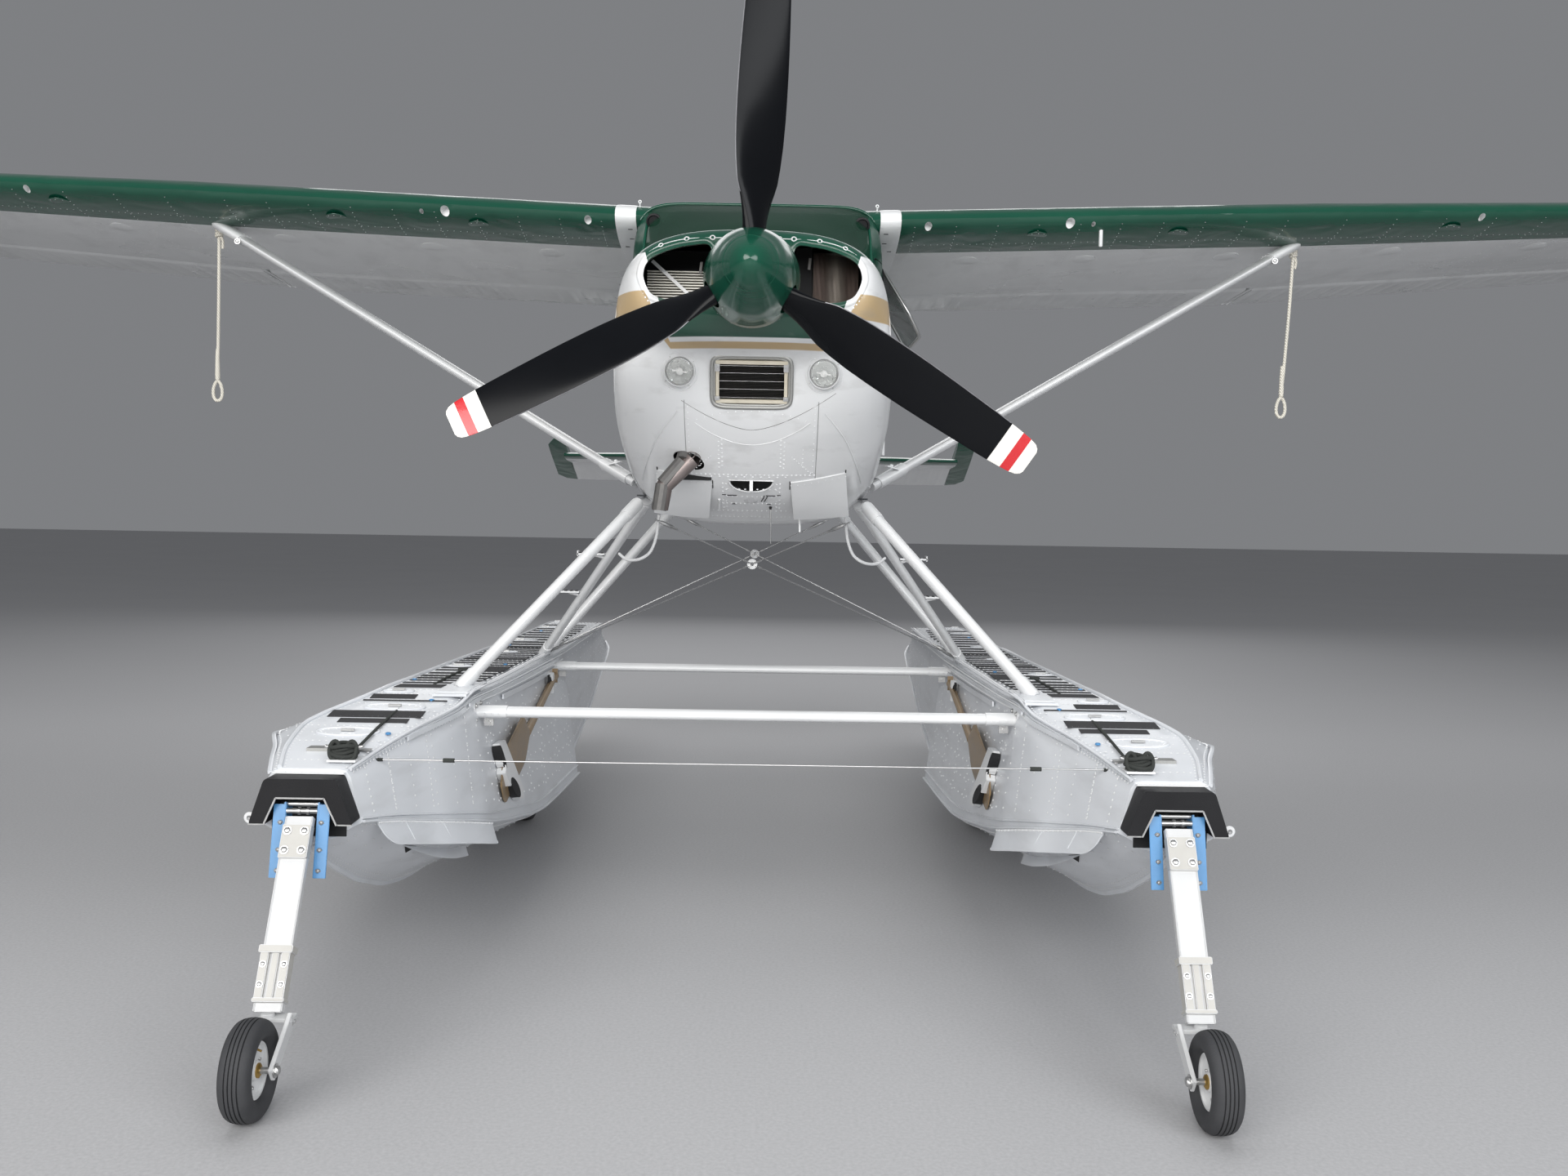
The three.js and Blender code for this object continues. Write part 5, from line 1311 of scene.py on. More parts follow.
def make_cabin():
    rings = body_rings(CABIN_ROWS, CABIN_STATIONS)
    wall = piece("cabin_skin", Shape().loft(rings), [WHITE, INSIDE])
    inner = body_rings(CABIN_ROWS, CABIN_STATIONS, -28)
    front, back = 1097, 3379
    first, last = CABIN_STATIONS[0], CABIN_STATIONS[-1]
    for i, r in enumerate(inner):
        r[:, 1] = front + (CABIN_STATIONS[i] - first) * (back - front) / (last - first)
        r[:, 2] = np.maximum(r[:, 2], FLOOR_Z)
    carve(wall, [Shape().loft(inner, 1)])
    doors = {name: copy_of(wall, f"door_skin_{name}") for name, _ in SIDES}
    cuts = [side_prism(WINDSCREEN, -700, 700)]
    for name, side in SIDES:
        ends = sorted((side * 380, side * 700))
        cuts += [side_prism(door_outline(0), *ends), side_prism(window_outline(*REAR_WINDOW), *ends)]
        door = doors[name]
        carve(door, [side_prism(door_outline(5), *ends)], "INTERSECT")
        carve(door, [side_prism(window_outline(*DOOR_WINDOW), *ends)])
        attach(door, f"door_{name}")
        stands_for(door, "white_paint", f"door_{name}")
    carve(wall, cuts)
    stands_for(wall, "white_paint", "cabin_shell")

    skin = piece("windscreen_glass", Shape().loft(rings), GLASS, smooth=60)
    thin = body_rings(CABIN_ROWS, CABIN_STATIONS, -6)
    thin[0][:, 1] -= 30
    thin[-1][:, 1] += 30
    carve(skin, [Shape().loft(thin)], smooth=60)
    panes = {}
    for name, side in SIDES:
        for kind, outline in (("door_pane", DOOR_WINDOW), ("rear_pane", REAR_WINDOW)):
            panes[kind, name] = copy_of(skin, f"{kind}_{name}")
            ends = sorted((side * 380, side * 700))
            carve(panes[kind, name], [side_prism(window_outline(*outline, 0.5), *ends)], "INTERSECT", 60)
    carve(
        skin, [side_prism([(y + (1 if y == 1000 else -0.5), z + 0.5) for y, z in WINDSCREEN], -690, 690)],
        "INTERSECT", 60,
    )
    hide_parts("windscreen")
    x, z, turn = OPEN_PANE
    for (kind, name), pane in panes.items():
        side = 1 if name == "left" else -1
        if kind == "door_pane":
            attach(pane, f"door_{name}")
            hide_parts(f"door_glass_{name}")
            edge = Shape().tube(
                on_side(CABIN_ROWS, side, window_outline(*DOOR_WINDOW, 4), -2), 7, 10, loop=True
            )
            frame_ring = piece(f"pane_frame_{name}", edge, STEEL, f"door_{name}", 60)
            if side > 0:
                pivot = Vector((x / 1000, 0, z / 1000))
                turned = Matrix.Rotation(math.radians(-turn), 4, "Y")
                swing = Matrix.Translation(pivot) @ turned @ Matrix.Translation(-pivot)
                for obj in (pane, frame_ring):
                    obj.data.transform(swing)
        else:
            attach(pane, "airframe")
            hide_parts(f"rear_window_{name}")

    trim, seals, studs = Shape(), Shape(), Shape()
    for name, side in SIDES:
        seals.tube(on_side(CABIN_ROWS, side, window_outline(*REAR_WINDOW, -4), 1), 5, 8, loop=True)
        seals.tube(
            on_side(CABIN_ROWS, side, rounded([(y, z) for y, z in door_outline(0)], 1, 2), -1), 2.4, 6,
            loop=True,
        )
        trim.tube(on_side(CABIN_ROWS, side, [(y, 2640) for y in np.linspace(1440, 1090, 12)], 1), 6, 8, 1)
        trim.tube(
            on_side(CABIN_ROWS, side, [(1430 + 270 * t, 2640 + 310 * t) for t in np.linspace(0, 1, 14)], 1),
            7, 8, 1,
        )
        for y in (1095, 1425, 1545, 2435, 2480, 2900, 3200, 3375):
            rivet_line(
                studs, CABIN_ROWS, side, [(y, z) for z in np.arange(1750, 2400 if y > 1500 else 2600, 26)]
            )
        for z in (1770, 2330):
            rivet_line(studs, CABIN_ROWS, side, [(y, z) for y in np.arange(1100, 3380, 26)])
        for y, z in window_outline(*REAR_WINDOW, -18)[::2]:
            rivet_line(studs, CABIN_ROWS, side, [(y, z)], 3)
        door_edge = Shape()
        door_edge.tube(on_side(CABIN_ROWS, side, window_outline(*DOOR_WINDOW, -4), 1), 5, 8, loop=True)
        handle = Shape()
        hx = side_x(CABIN_ROWS, 2290, 2290)
        handle.lathe([(26, 0), (26, 3), (22, 5), (0.1, 5)], (side * (hx - 1), 2300, 2290), (side, 0, 0), 28)
        handle.tube(
            [
                (side * (hx + 4), 2300, 2290), (side * (hx + 16), 2292, 2290),
                (side * (hx + 18), 2200, 2290), (side * (hx + 12), 2190, 2290),
            ],
            6, 12,
        )
        studs_door = Shape()
        rivet_line(studs_door, CABIN_ROWS, side, [(y, 1830) for y in np.arange(1600, 2400, 26)])
        rivet_line(studs_door, CABIN_ROWS, side, [(y, 2360) for y in np.arange(1600, 2400, 26)])
        for y in (1590, 2390):
            rivet_line(studs_door, CABIN_ROWS, side, [(y, z) for z in np.arange(1840, 2360, 26)])
        hinge = Shape()
        for z in (1950, 2260):
            hinge.tube([(side * 563, 1563, z + 0.2), (side * 563, 1563, z + 36)], 7.4, 14)
            hinge.bar((side * 552, 1572, z + 18), (side * 568, 1588, z + 18), 30, 4, (0, 0, 1))
            trim.tube([(side * 563, 1563, z - 36), (side * 563, 1563, z - 0.2)], 7.4, 14)
            trim.bar((side * 552, 1552, z - 18), (side * 560, 1540, z - 18), 30, 4, (0, 0, 1))
        piece(f"door_seal_{name}", door_edge, RUBBER, f"door_{name}", 60)
        piece(f"door_handle_{name}", handle, STEEL, f"door_{name}", 50)
        piece(f"door_hinge_{name}", hinge, TRIM_WHITE, f"door_{name}", 50)
        piece(f"door_rivets_{name}", studs_door, RIVET_HIGHLIGHT, f"door_{name}", 80)
    for z in np.arange(1640, 1700, 24):
        ring_rivets(studs, CABIN_ROWS, 1100, 26, z_min=z, z_max=z + 24)
    piece("cabin_trim", trim, [TRIM_WHITE, GREEN], smooth=60)
    piece("window_seals", seals, RUBBER, smooth=60)
    piece("cabin_rivets", studs, RIVET_HIGHLIGHT, smooth=80)

    # Header over the windscreen, air vents with their hoses, and demist tubes.
    roof = Shape()
    row = read_rows(CABIN_ROWS, [1742])[0]
    ring = [p for p in body_ring(row, 1, 200) if p[2] > 2940]
    ring = sorted(ring, key=lambda p: math.atan2(p[2] - 2100, p[0]))
    roof.tube([(x, 1738, z) for x, _, z in ring], 8, 10)
    piece("windscreen_header", roof, GREEN, smooth=60)
    vents = Shape()
    for side in (-1, 1):
        centre = np.array((side * 458, 1662, 2928))
        vents.lathe(
            [(30, 0), (33, -3), (33, -16), (26, -19), (22, -12), (0.1, -12)], centre, (0, 0.9, 0.3), 32
        )
        vents.tube(
            spline(
                [
                    centre + (0, 6, 0), centre + (side * -30, 10, -14), (side * 336, 1530, 2858),
                    (side * 250, 1470, 2760),
                ],
                24,
            ),
            13, 16,
        )
    piece("cabin_vents", vents, RUBBER, smooth=60)
    pipes = Shape()
    for side in (-1, 1):
        pipes.tube(
            spline(
                [
                    (side * 415, 1600, 2700), (side * 400, 1500, 2665), (side * 330, 1380, 2660),
                    (side * 250, 1330, 2656),
                ],
                20,
            ),
            9, 12,
        )
    piece("demist_tubes", pipes, TRIM_WHITE, smooth=60)


make_cabin()


def make_cabin_inside():
    panel = Shape()
    ring = [(x, z) for x, _, z in body_ring(read_rows(CABIN_ROWS, [1244])[0], -32, 64)]
    face = [(x, min(max(z, 2182), 2558)) for x, z in ring]
    panel.loft([[(x, y, z) for x, z in face] for y in (1228, 1262)])
    piece("panel_board", panel, DARK, hides=("instrument_panel",), bevel=0)
    dials, marks = Shape(), Shape()
    for row, z in enumerate((2480, 2372)):
        for k in range(7):
            x = -345 + 115 * k
            r = 42 if k < 6 else 30
            dials.lathe([(r, 0), (r, 4), (r - 5, 6), (r - 6, 2), (0.1, 2)], (x, 1262, z), (0, 1, 0), 28)
            a = 0.7 * k + row
            marks.bar(
                (x, 1265, z), (x + (r - 14) * math.cos(a), 1265, z + (r - 14) * math.sin(a)), 3.5, 1.2,
                (0, 0, 1),
            )
            for t in np.arange(0, 10):
                b = 0.4 + t * 0.6
                marks.bar(
                    (x + (r - 11) * math.cos(b), 1264.6, z + (r - 11) * math.sin(b)),
                    (x + (r - 7) * math.cos(b), 1264.6, z + (r - 7) * math.sin(b)), 2, 0.8, (0, 1, 0),
                )
    for k in range(9):
        dials.lathe([(9, 0), (9, 16), (6, 19), (0.1, 19)], (-200 + 50 * k, 1262, 2255), (0, 1, 0), 16)
    dials.box(-60, 110, 1262, 1270, 2284, 2330)
    piece("panel_dials", dials, CAST, smooth=50)
    piece("panel_marks", marks, plain("dial_white", (0.7, 0.7, 0.68), (0.85, 0.85, 0.83), 0.5))
    cover = Shape()
    row = read_rows(CABIN_ROWS, [1230])[0]
    cover.loft(
        [
            [
                (x, y, min(max(z, 2552), 2600 + 25 * math.cos(x / 330)))
                for x, _, z in body_ring(row, -34, 96)
            ]
            for y in (1120, 1290)
        ]
    )
    piece("panel_hood", cover, DARK, smooth=60)
    yokes = Shape()
    for x in (-255, 255):
        yokes.tube([(x, 1262, 2300), (x, 1420, 2305)], 13, 16)
        wheel = [
            (x + 118 * math.cos(t), 1425, 2318 + 92 * math.sin(t))
            for t in np.linspace(-0.55, math.pi + 0.55, 30)
        ]
        yokes.tube(wheel, 13, 12)
        yokes.bar((x - 100, 1425, 2280), (x + 100, 1425, 2280), 24, 22, (0, 0, 1))
    for x in (-255, 255):
        for dx in (-70, 70):
            yokes.bar((x + dx, 1170, 1780), (x + dx, 1195, 1880), 90, 14, (1, 0, 0))
            yokes.tube([(x + dx, 1190, 1840), (x + dx, 1150, 1720)], 8, 10)
    for k, z in enumerate((2180, 2150)):
        yokes.tube([(40 * k, 1250, z + 80), (40 * k, 1330, z + 70)], 5, 10)
        yokes.lathe(
            [(0.1, -14), (12, -12), (16, 0), (12, 12), (0.1, 14)], (40 * k, 1336, z + 70), (0, 1, 0), 20
        )
    piece("yokes_and_pedals", yokes, BLACK, smooth=50)
    carpet = Shape()
    carpet.box(-470, 470, 1130, 2500, FLOOR_Z + 0.5, FLOOR_Z + 6)
    carpet.box(-440, 440, 2500, 3350, FLOOR_Z + 0.5, FLOOR_Z + 6)
    piece(
        "cabin_carpet", carpet,
        plain(
            "carpet", (0.04, 0.045, 0.05), (0.09, 0.095, 0.10), 0.95, scale=30, bump=0.003, bump_scale=350
        ),
    )


make_cabin_inside()


# Seats
# Metres: voxels of the cushions' mesh, and how far a cover may puff up
PAD_GRID, PAD_CAP = 0.017, 0.024
PADS = []


def puff_up(pads):
    """Cloth under light pressure fills the pads; no point moves further than the cap."""
    scene = bpy.context.scene
    for obj, _ in pads:
        cloth = obj.modifiers.new("pad", "CLOTH")
        settings = cloth.settings
        settings.quality = 4
        settings.mass = 0.3
        settings.tension_stiffness = settings.compression_stiffness = 18
        settings.bending_stiffness = 1.0
        settings.use_pressure = True
        settings.uniform_pressure_force = 4
        settings.effector_weights.gravity = 0
        cloth.point_cache.frame_start, cloth.point_cache.frame_end = 1, 14
    for step in range(1, 15):
        scene.frame_set(step)
    layer = bpy.context.evaluated_depsgraph_get()
    for obj, _ in pads:
        filled = bpy.data.meshes.new_from_object(obj.evaluated_get(layer))
        for before, after in zip(obj.data.vertices, filled.vertices):
            way = after.co - before.co
            if way.length > PAD_CAP:
                after.co = before.co + way * (PAD_CAP / way.length)
        obj.modifiers.clear()
        obj.data = filled
        finer = obj.modifiers.new("finer", "SUBSURF")
        finer.levels = finer.render_levels = 1
        mesh_step(obj)
    scene.frame_set(1)


def seat_cushion(name, x0, x1, front, base, back_top, node):
    """Cushion and backrest, puffed up between their seams."""
    objs = []
    blocks = (
        ("base", (x0, x1), (front, front + 470), (base + 8, base + 128), 0.0),
        ("back", (x0, x1), (front + 400, front + 500), (base + 135, back_top), 0.2),
    )
    for part, (a, b), (c, d), (e, f), lean in blocks:
        shape = Shape()
        shape.box(a + 18, b - 18, c + 16, d - 16, e + 14, f - 16)
        obj = piece(f"{name}_{part}", shape, LEATHER)
        mod = obj.modifiers.new("soft", "BEVEL")
        mod.width, mod.segments = 0.03, 4
        mesh_step(obj)
        remesh = obj.modifiers.new("grid", "REMESH")
        remesh.mode, remesh.voxel_size = "VOXEL", PAD_GRID
        mesh_step(obj)
        if lean:
            for v in obj.data.vertices:
                v.co.y += (v.co.z - (base + 60) / 1000) * 0.235
        PADS.append((obj, part))
        objs.append(obj)
    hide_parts(node)
    frame_part = Shape()
    for x in (x0 + 105, x1 - 105):
        frame_part.tube([(x, front + 60, FLOOR_Z + 8), (x, front + 60, base + 6)], 13, 14)
        frame_part.tube([(x, front + 380, FLOOR_Z + 8), (x, front + 380, base + 6)], 13, 14)
        frame_part.bar((x, front + 20, FLOOR_Z + 10), (x, front + 440, FLOOR_Z + 10), 26, 16, (1, 0, 0))
    frame_part.bar(
        ((x0 + x1) / 2, front + 30, base), ((x0 + x1) / 2, front + 440, base), x1 - x0 - 60, 12, (1, 0, 0)
    )
    piece(f"{name}_frame", frame_part, CAST, smooth=50)
    belts = Shape()
    for x in (x0 + 30, x1 - 30):
        path = [
            (x, front + 430, base + 40), (x, front + 400, base + 134),
            (x + (18 if x < (x0 + x1) / 2 else -18), front + 250, base + 140), (x, front + 120, base + 138),
        ]
        line = spline(path, 14)
        for a, b in zip(line[:-1], line[1:]):
            belts.bar(a, b, 44, 3, (1, 0, 0))
    belts.bar((x0 + 48, front + 120, base + 142), (x0 + 48, front + 66, base + 142), 52, 12, (1, 0, 0))
    piece(
        f"{name}_belt", belts,
        plain(
            "belt_web_" + name, (0.03, 0.03, 0.035), (0.06, 0.06, 0.065), 0.8, scale=40, bump=0.0008,
            bump_scale=500,
        ),
    )
    return objs


def mesh_step(obj):
    bpy.context.view_layer.update()
    new = bpy.data.meshes.new_from_object(obj.evaluated_get(bpy.context.evaluated_depsgraph_get()))
    obj.modifiers.clear()
    obj.data = new


def pillow(obj, part):
    """Without simulation: channels pressed into the padding."""
    xs = [v.co.x for v in obj.data.vertices]
    mid, half = (max(xs) + min(xs)) / 2, (max(xs) - min(xs)) / 2
    count = max(round(half * 2 / 0.105), 3)
    for v in obj.data.vertices:
        u = (v.co.x - mid) / half
        groove = abs(math.cos(u * math.pi * count / 2)) ** 8 if abs(u) < 0.93 else 0
        n = v.normal
        v.co -= n * 0.009 * groove * (1 if abs(n.z if part == "base" else n.y) > 0.5 else 0.2)


# name, both sides, front, bottom, top of the back, node
SEATS = (
    ("seat_left", 45, 465, 1660, 1930, 2560, "front_seat_left"),
    ("seat_right", -465, -45, 1660, 1930, 2560, "front_seat_right"),
    ("bench", -430, 430, 2560, 1930, 2500, "rear_seat"),
)
for seat_row in SEATS:
    seat_cushion(*seat_row)
puff_up(PADS)
for pad, pad_part in PADS:
    pillow(pad, pad_part)
    pad.data.update()
    shade(pad.data, 60)


# Wings
# Rise over span
DIHEDRAL = 0.0362
# x, nose y, nose z, chord, incidence in degrees, thickness as a share of the chord
WING_ROWS = (
    (430, 1730, 2962, 1626, 6.5, 0.12), (2540, 1730, 2970 + 1900 * DIHEDRAL, 1626, 6.5, 0.12),
    (5200, 1842, 2970 + 4560 * DIHEDRAL, 1175, 4.9, 0.11),
    (5380, 1880, 2970 + 4760 * DIHEDRAL, 1080, 4.8, 0.09),
    (5460, 1960, 2970 + 4880 * DIHEDRAL, 900, 4.7, 0.05),
)
# name, inner and outer x, hinge line as a share of the chord at both ends
SURFACES = (("flap", 640, 2590, 0.735, 0.735), ("aileron", 2625, 5150, 0.735, 0.72))
# How far the green band reaches behind the nose, below and above
BAND_LOWER, BAND_UPPER = 168, 150


def foil(t, thick, camber, upper):
    half = 5 * thick * (
        0.2969 * math.sqrt(max(t, 0)) - 0.126 * t - 0.3516 * t**2 + 0.2843 * t**3 - 0.1036 * t**4
    )
    p = 0.4
    mean = (
        camber / p**2 * (2 * p * t - t * t) if t < p
        else camber / (1 - p) ** 2 * (1 - 2 * p + 2 * p * t - t * t)
    )
    return mean + (half if upper else -half)


def wing_row(x):
    r = np.array(WING_ROWS)
    return [float(np.interp(x, r[:, 0], r[:, k])) for k in range(6)]


def wing_point(x, side, u, upper, lift=0.0):
    """A point of a wing's skin, u millimetres behind its nose along the chord."""
    _, nose_y, nose_z, chord, tilt, thick = wing_row(x)
    a = math.radians(tilt)
    v = foil(min(u / chord, 1), thick, 0.02, upper) * chord + (lift if upper else -lift)
    return (side * x, nose_y + u * math.cos(a) + v * math.sin(a), nose_z - u * math.sin(a) + v * math.cos(a))


def chord_steps(chord, edge):
    """Distances along the chord, close together at both ends, with the edge of the green band among them."""
    t = (1 - np.cos(np.linspace(0, math.pi, 30))) / 2
    return np.array(sorted(set(np.round(np.concatenate((t * chord, [edge])), 3))))


def wing_ring(x, side, grow=0.0):
    """A section of the wing and each point's distance behind the nose, negative below."""
    chord = wing_row(x)[3]
    upper, lower = chord_steps(chord, BAND_UPPER), chord_steps(chord, BAND_LOWER)
    pts = [wing_point(x, side, u, True, grow) for u in upper[::-1]]
    pts += [wing_point(x, side, u, False, grow) for u in lower[1:]]
    return pts, [*upper[::-1], *-lower[1:]]


RIB_PITCH = 82


def from_rib(x):
    """Distance from the middle of the nearest pressed rib."""
    return abs((x / RIB_PITCH) % 1 - 0.5) * RIB_PITCH


def ribbed(x, t):
    """Pressed ribs across a control surface, spaced along the span."""
    away = from_rib(x)
    across = min(max((9 - away) / 5, 0), 1)
    return 3.0 * across * min(max((t - 0.76) / 0.03, 0), 1) * min(max((0.992 - t) / 0.02, 0), 1)


def hinge_at(x, share):
    hi, lo = wing_point(x, 1, share * wing_row(x)[3], True), wing_point(x, 1, share * wing_row(x)[3], False)
    return (hi[1] + lo[1]) / 2, (hi[2] + lo[2]) / 2, (hi[2] - lo[2]) / 2


def make_wing(name, side):
    xs = np.concatenate(
        (
            np.linspace(430, 2540, 24), np.linspace(2660, 5200, 24), np.linspace(5230, 5380, 6),
            (5420, 5445, 5460),
        )
    )
    rings = [wing_ring(x, side)[0] for x in xs]
    along = wing_ring(xs[-1], side)[1]
    green = [-BAND_LOWER <= u <= BAND_UPPER for u in along]
    band = lambda i, k: int(green[k] and green[(k + 1) % len(green)])
    wing = piece(f"wing_skin_{name}", Shape().loft(rings, slot_at=band), [UNDER, GREEN], smooth=32)
    cuts = []
    for _, inner, outer, f_in, f_out in SURFACES:
        a, b = hinge_at(inner, f_in), hinge_at(outer, f_out)
        ahead = max(a[2], b[2]) + 6
        ring = lambda p, x: [
            (side * x, p[0] - ahead, p[1] - 400), (side * x, p[0] + 900, p[1] - 400),
            (side * x, p[0] + 900, p[1] + 400), (side * x, p[0] - ahead, p[1] + 400),
        ]
        cuts.append(Shape().loft([ring(a, inner - 7), ring(b, outer + 7)]))
    grown = body_rings(CABIN_ROWS, CABIN_STATIONS, 0.5)
    cuts.append(Shape().loft(grown))
    # Holes in the nose: landing light, cabin air and two lifting points.
    for x, u, r in ((760, 18, 16), (1395, 14, 20), (1500, 22, 9), (3260, 16, 14)):
        p = np.array(wing_point(x, side, u, False))
        cuts.append(Shape().lathe([(r, -30), (r, 40)], p, (0, 1, 0), 24))
    carve(wing, cuts, smooth=32)
    stands_for(wing, "white_paint", f"wing_{name}")

    for kind, inner, outer, f_in, f_out in SURFACES:
        a, b = hinge_at(inner, f_in), hinge_at(outer, f_out)
        rings = []
        count = round((outer - inner) / RIB_PITCH) * 6
        for x in np.linspace(inner, outer, count):
            share = f_in + (f_out - f_in) * (x - inner) / (outer - inner)
            chord = wing_row(x)[3]
            hy, hz, half = hinge_at(x, share)
            half *= 0.94
            pts = [
                wing_point(x, side, u, True, ribbed(x, u / chord))
                for u in np.linspace(chord, share * chord + half * 0.35, 16)
            ]
            for t in np.linspace(0.42, 1.58, 11):
                pts.append(
                    (side * x, hy - half * math.sin(t * math.pi / 2), hz + half * math.cos(t * math.pi / 2))
                )
            pts += [
                wing_point(x, side, u, False, ribbed(x, u / chord))
                for u in np.linspace(share * chord + half * 0.35, chord, 16)
            ]
            rings.append(pts)
        piece(
            f"{kind}_skin_{name}", Shape().loft(rings), UNDER, f"{kind}_{name}", 32,
            (f"{kind}_{name}",),
        )
        fittings = Shape()
        for f in (0.06, 0.5, 0.94):
            x = inner + f * (outer - inner)
            share = f_in + (f_out - f_in) * f
            hy, hz, half = hinge_at(x, share)
            fittings.bar(
                (side * x, hy - half - 60, hz - half * 0.6), (side * x, hy - half - 8, hz - half * 0.6), 10,
                26, (1, 0, 0),
            )
        piece(f"{kind}_brackets_{name}", fittings, STEEL, bevel=1)

    # White cuff round the wing's root, and its fasteners.
    cuff, studs, marks = Shape(), Shape(), Shape()
    u_top, u_low = 420, 620
    steps = np.linspace(0, 1, 34) ** 2
    rings = []
    for x in np.linspace(545, 638, 6):
        over = 3.2 if 547 < x < 636 else 1.5
        ring = [wing_point(x, side, u, True, over) for u in u_top * steps[::-1]]
        ring += [wing_point(x, side, u, False, over) for u in u_low * steps[1:]]
        ring += [wing_point(x, side, u, False, 0.3) for u in u_low * steps[:0:-1]]
        ring += [wing_point(x, side, u, True, 0.3) for u in u_top * steps]
        rings.append(ring)
    cuff.loft(rings)
    piece(f"wing_cuff_{name}", cuff, TRIM_WHITE, smooth=40)
    for x in (552, 630):
        for u in np.arange(20, 600, 42):
            p = np.array(wing_point(x, side, u, False, 3.2))
            studs.dome(p, np.array(wing_point(x, side, u, False, 9)) - p, 3.4, 1.6)
    # Near-black bars stand for slots under the cuff: painted shade.
    for x, u in ((574, 60), (574, 150), (604, 250)):
        p = np.array(wing_point(x, side, u, False, 3.4))
        marks.bar(p - (10, 0, 0), p + (10, 0, 0), 6, 2.4, (0, 1, 0))

    # Rivets under the wing: along the spars and across at every rib.
    def under(x, u, r=2.9):
        p = np.array(wing_point(x, side, u, False))
        studs.dome(p, np.array(wing_point(x, side, u, False, 8)) - p, r, 1.2)

    ribs = np.concatenate((np.arange(700, 2560, 186), np.arange(2640, 5400, 230)))
    for x in ribs:
        chord = wing_row(x)[3]
        for u in np.arange(24, 0.70 * chord, 34):
            under(x, u)
    for share in (0.215, 0.45, 0.685):
        for x in np.arange(660, 5380, 34):
            under(x, share * wing_row(x)[3])
    for x in np.arange(700, 5380, 30):
        under(x, BAND_LOWER + 14, 2.6)
    # Inspection covers: thin raised discs with their screws.
    covers = Shape()
    for x, u in (
        (980, 420), (1540, 430), (2230, 430), (3000, 400), (3700, 380), (4500, 330), (1260, 95),
        (1900, 100), (3150, 95),
    ):
        p = np.array(wing_point(x, side, u, False, 0.2))
        n = unit(np.array(wing_point(x, side, u, False, 8)) - p)
        r = 62 if u > 200 else 46
        covers.lathe([(r, -1), (r, 1.2), (r - 3, 2.0), (0.1, 2.0)], p, n, 36, 0 if u > 200 else 1)
        for k in range(8):
            t = k * math.pi / 4
            studs.dome(p + 0.84 * r * np.array((math.cos(t), math.sin(t), 0)) + n * 1.5, n, 2.6, 1.0)
    piece(f"wing_covers_{name}", covers, [UNDER, GREEN], smooth=40)
    piece(f"wing_rivets_{name}", studs, RIVET_HIGHLIGHT, smooth=80)
    piece(f"cuff_slots_{name}", marks, DARK)

    # Hook on the root, peg below the wing, tie-down ring, wing-tip lamp and pitot tube.
    extras = Shape()
    top = np.array(wing_point(533, side, 60, True, 2))
    extras.tube([top, top + (0, -4, 15)], 3.4, 10)
    extras.tube(
        [top + (6 * math.cos(t), -5, 20 + 6 * math.sin(t)) for t in np.arange(12) * math.pi / 6], 2.6, 8,
        loop=True,
    )
    piece(f"root_hook_{name}", extras, TRIM_WHITE, smooth=60)
    lamp = Shape()
    tip_y, tip_z = 2350, wing_row(5380)[2] - 30
    lamp.lathe([(2, 46), (18, 38), (24, 18), (26, -10)], (side * 5400, tip_y, tip_z), (side, 0, 0), 24)
    colour = ((0.5, 0.01, 0.01), (0.75, 0.02, 0.02)) if side > 0 else ((0.01, 0.22, 0.05), (0.02, 0.4, 0.1))
    piece(f"tip_lamp_{name}", lamp, plain(f"tip_lens_{name}", *colour, 0.1, coat=0.6, scale=40), smooth=60)
    if side > 0:
        tube = Shape()
        a = np.array(wing_point(1545, side, 70, False))
        tube.lathe([(9, -4), (9, 66), (6, 70), (0.1, 70)], a, (0, 0, -1), 16)
        piece("under_wing_peg", tube, TRIM_WHITE, smooth=50)
    else:
        tube = Shape()
        a = np.array(wing_point(3650, side, 260, False))
        tube.tube([a, a + (0, -30, -70), a + (0, -150, -80), a + (0, -240, -80)], 7, 12)
        piece("pitot_tube", tube, STEEL, smooth=50)


for name, side in SIDES:
    make_wing(name, side)


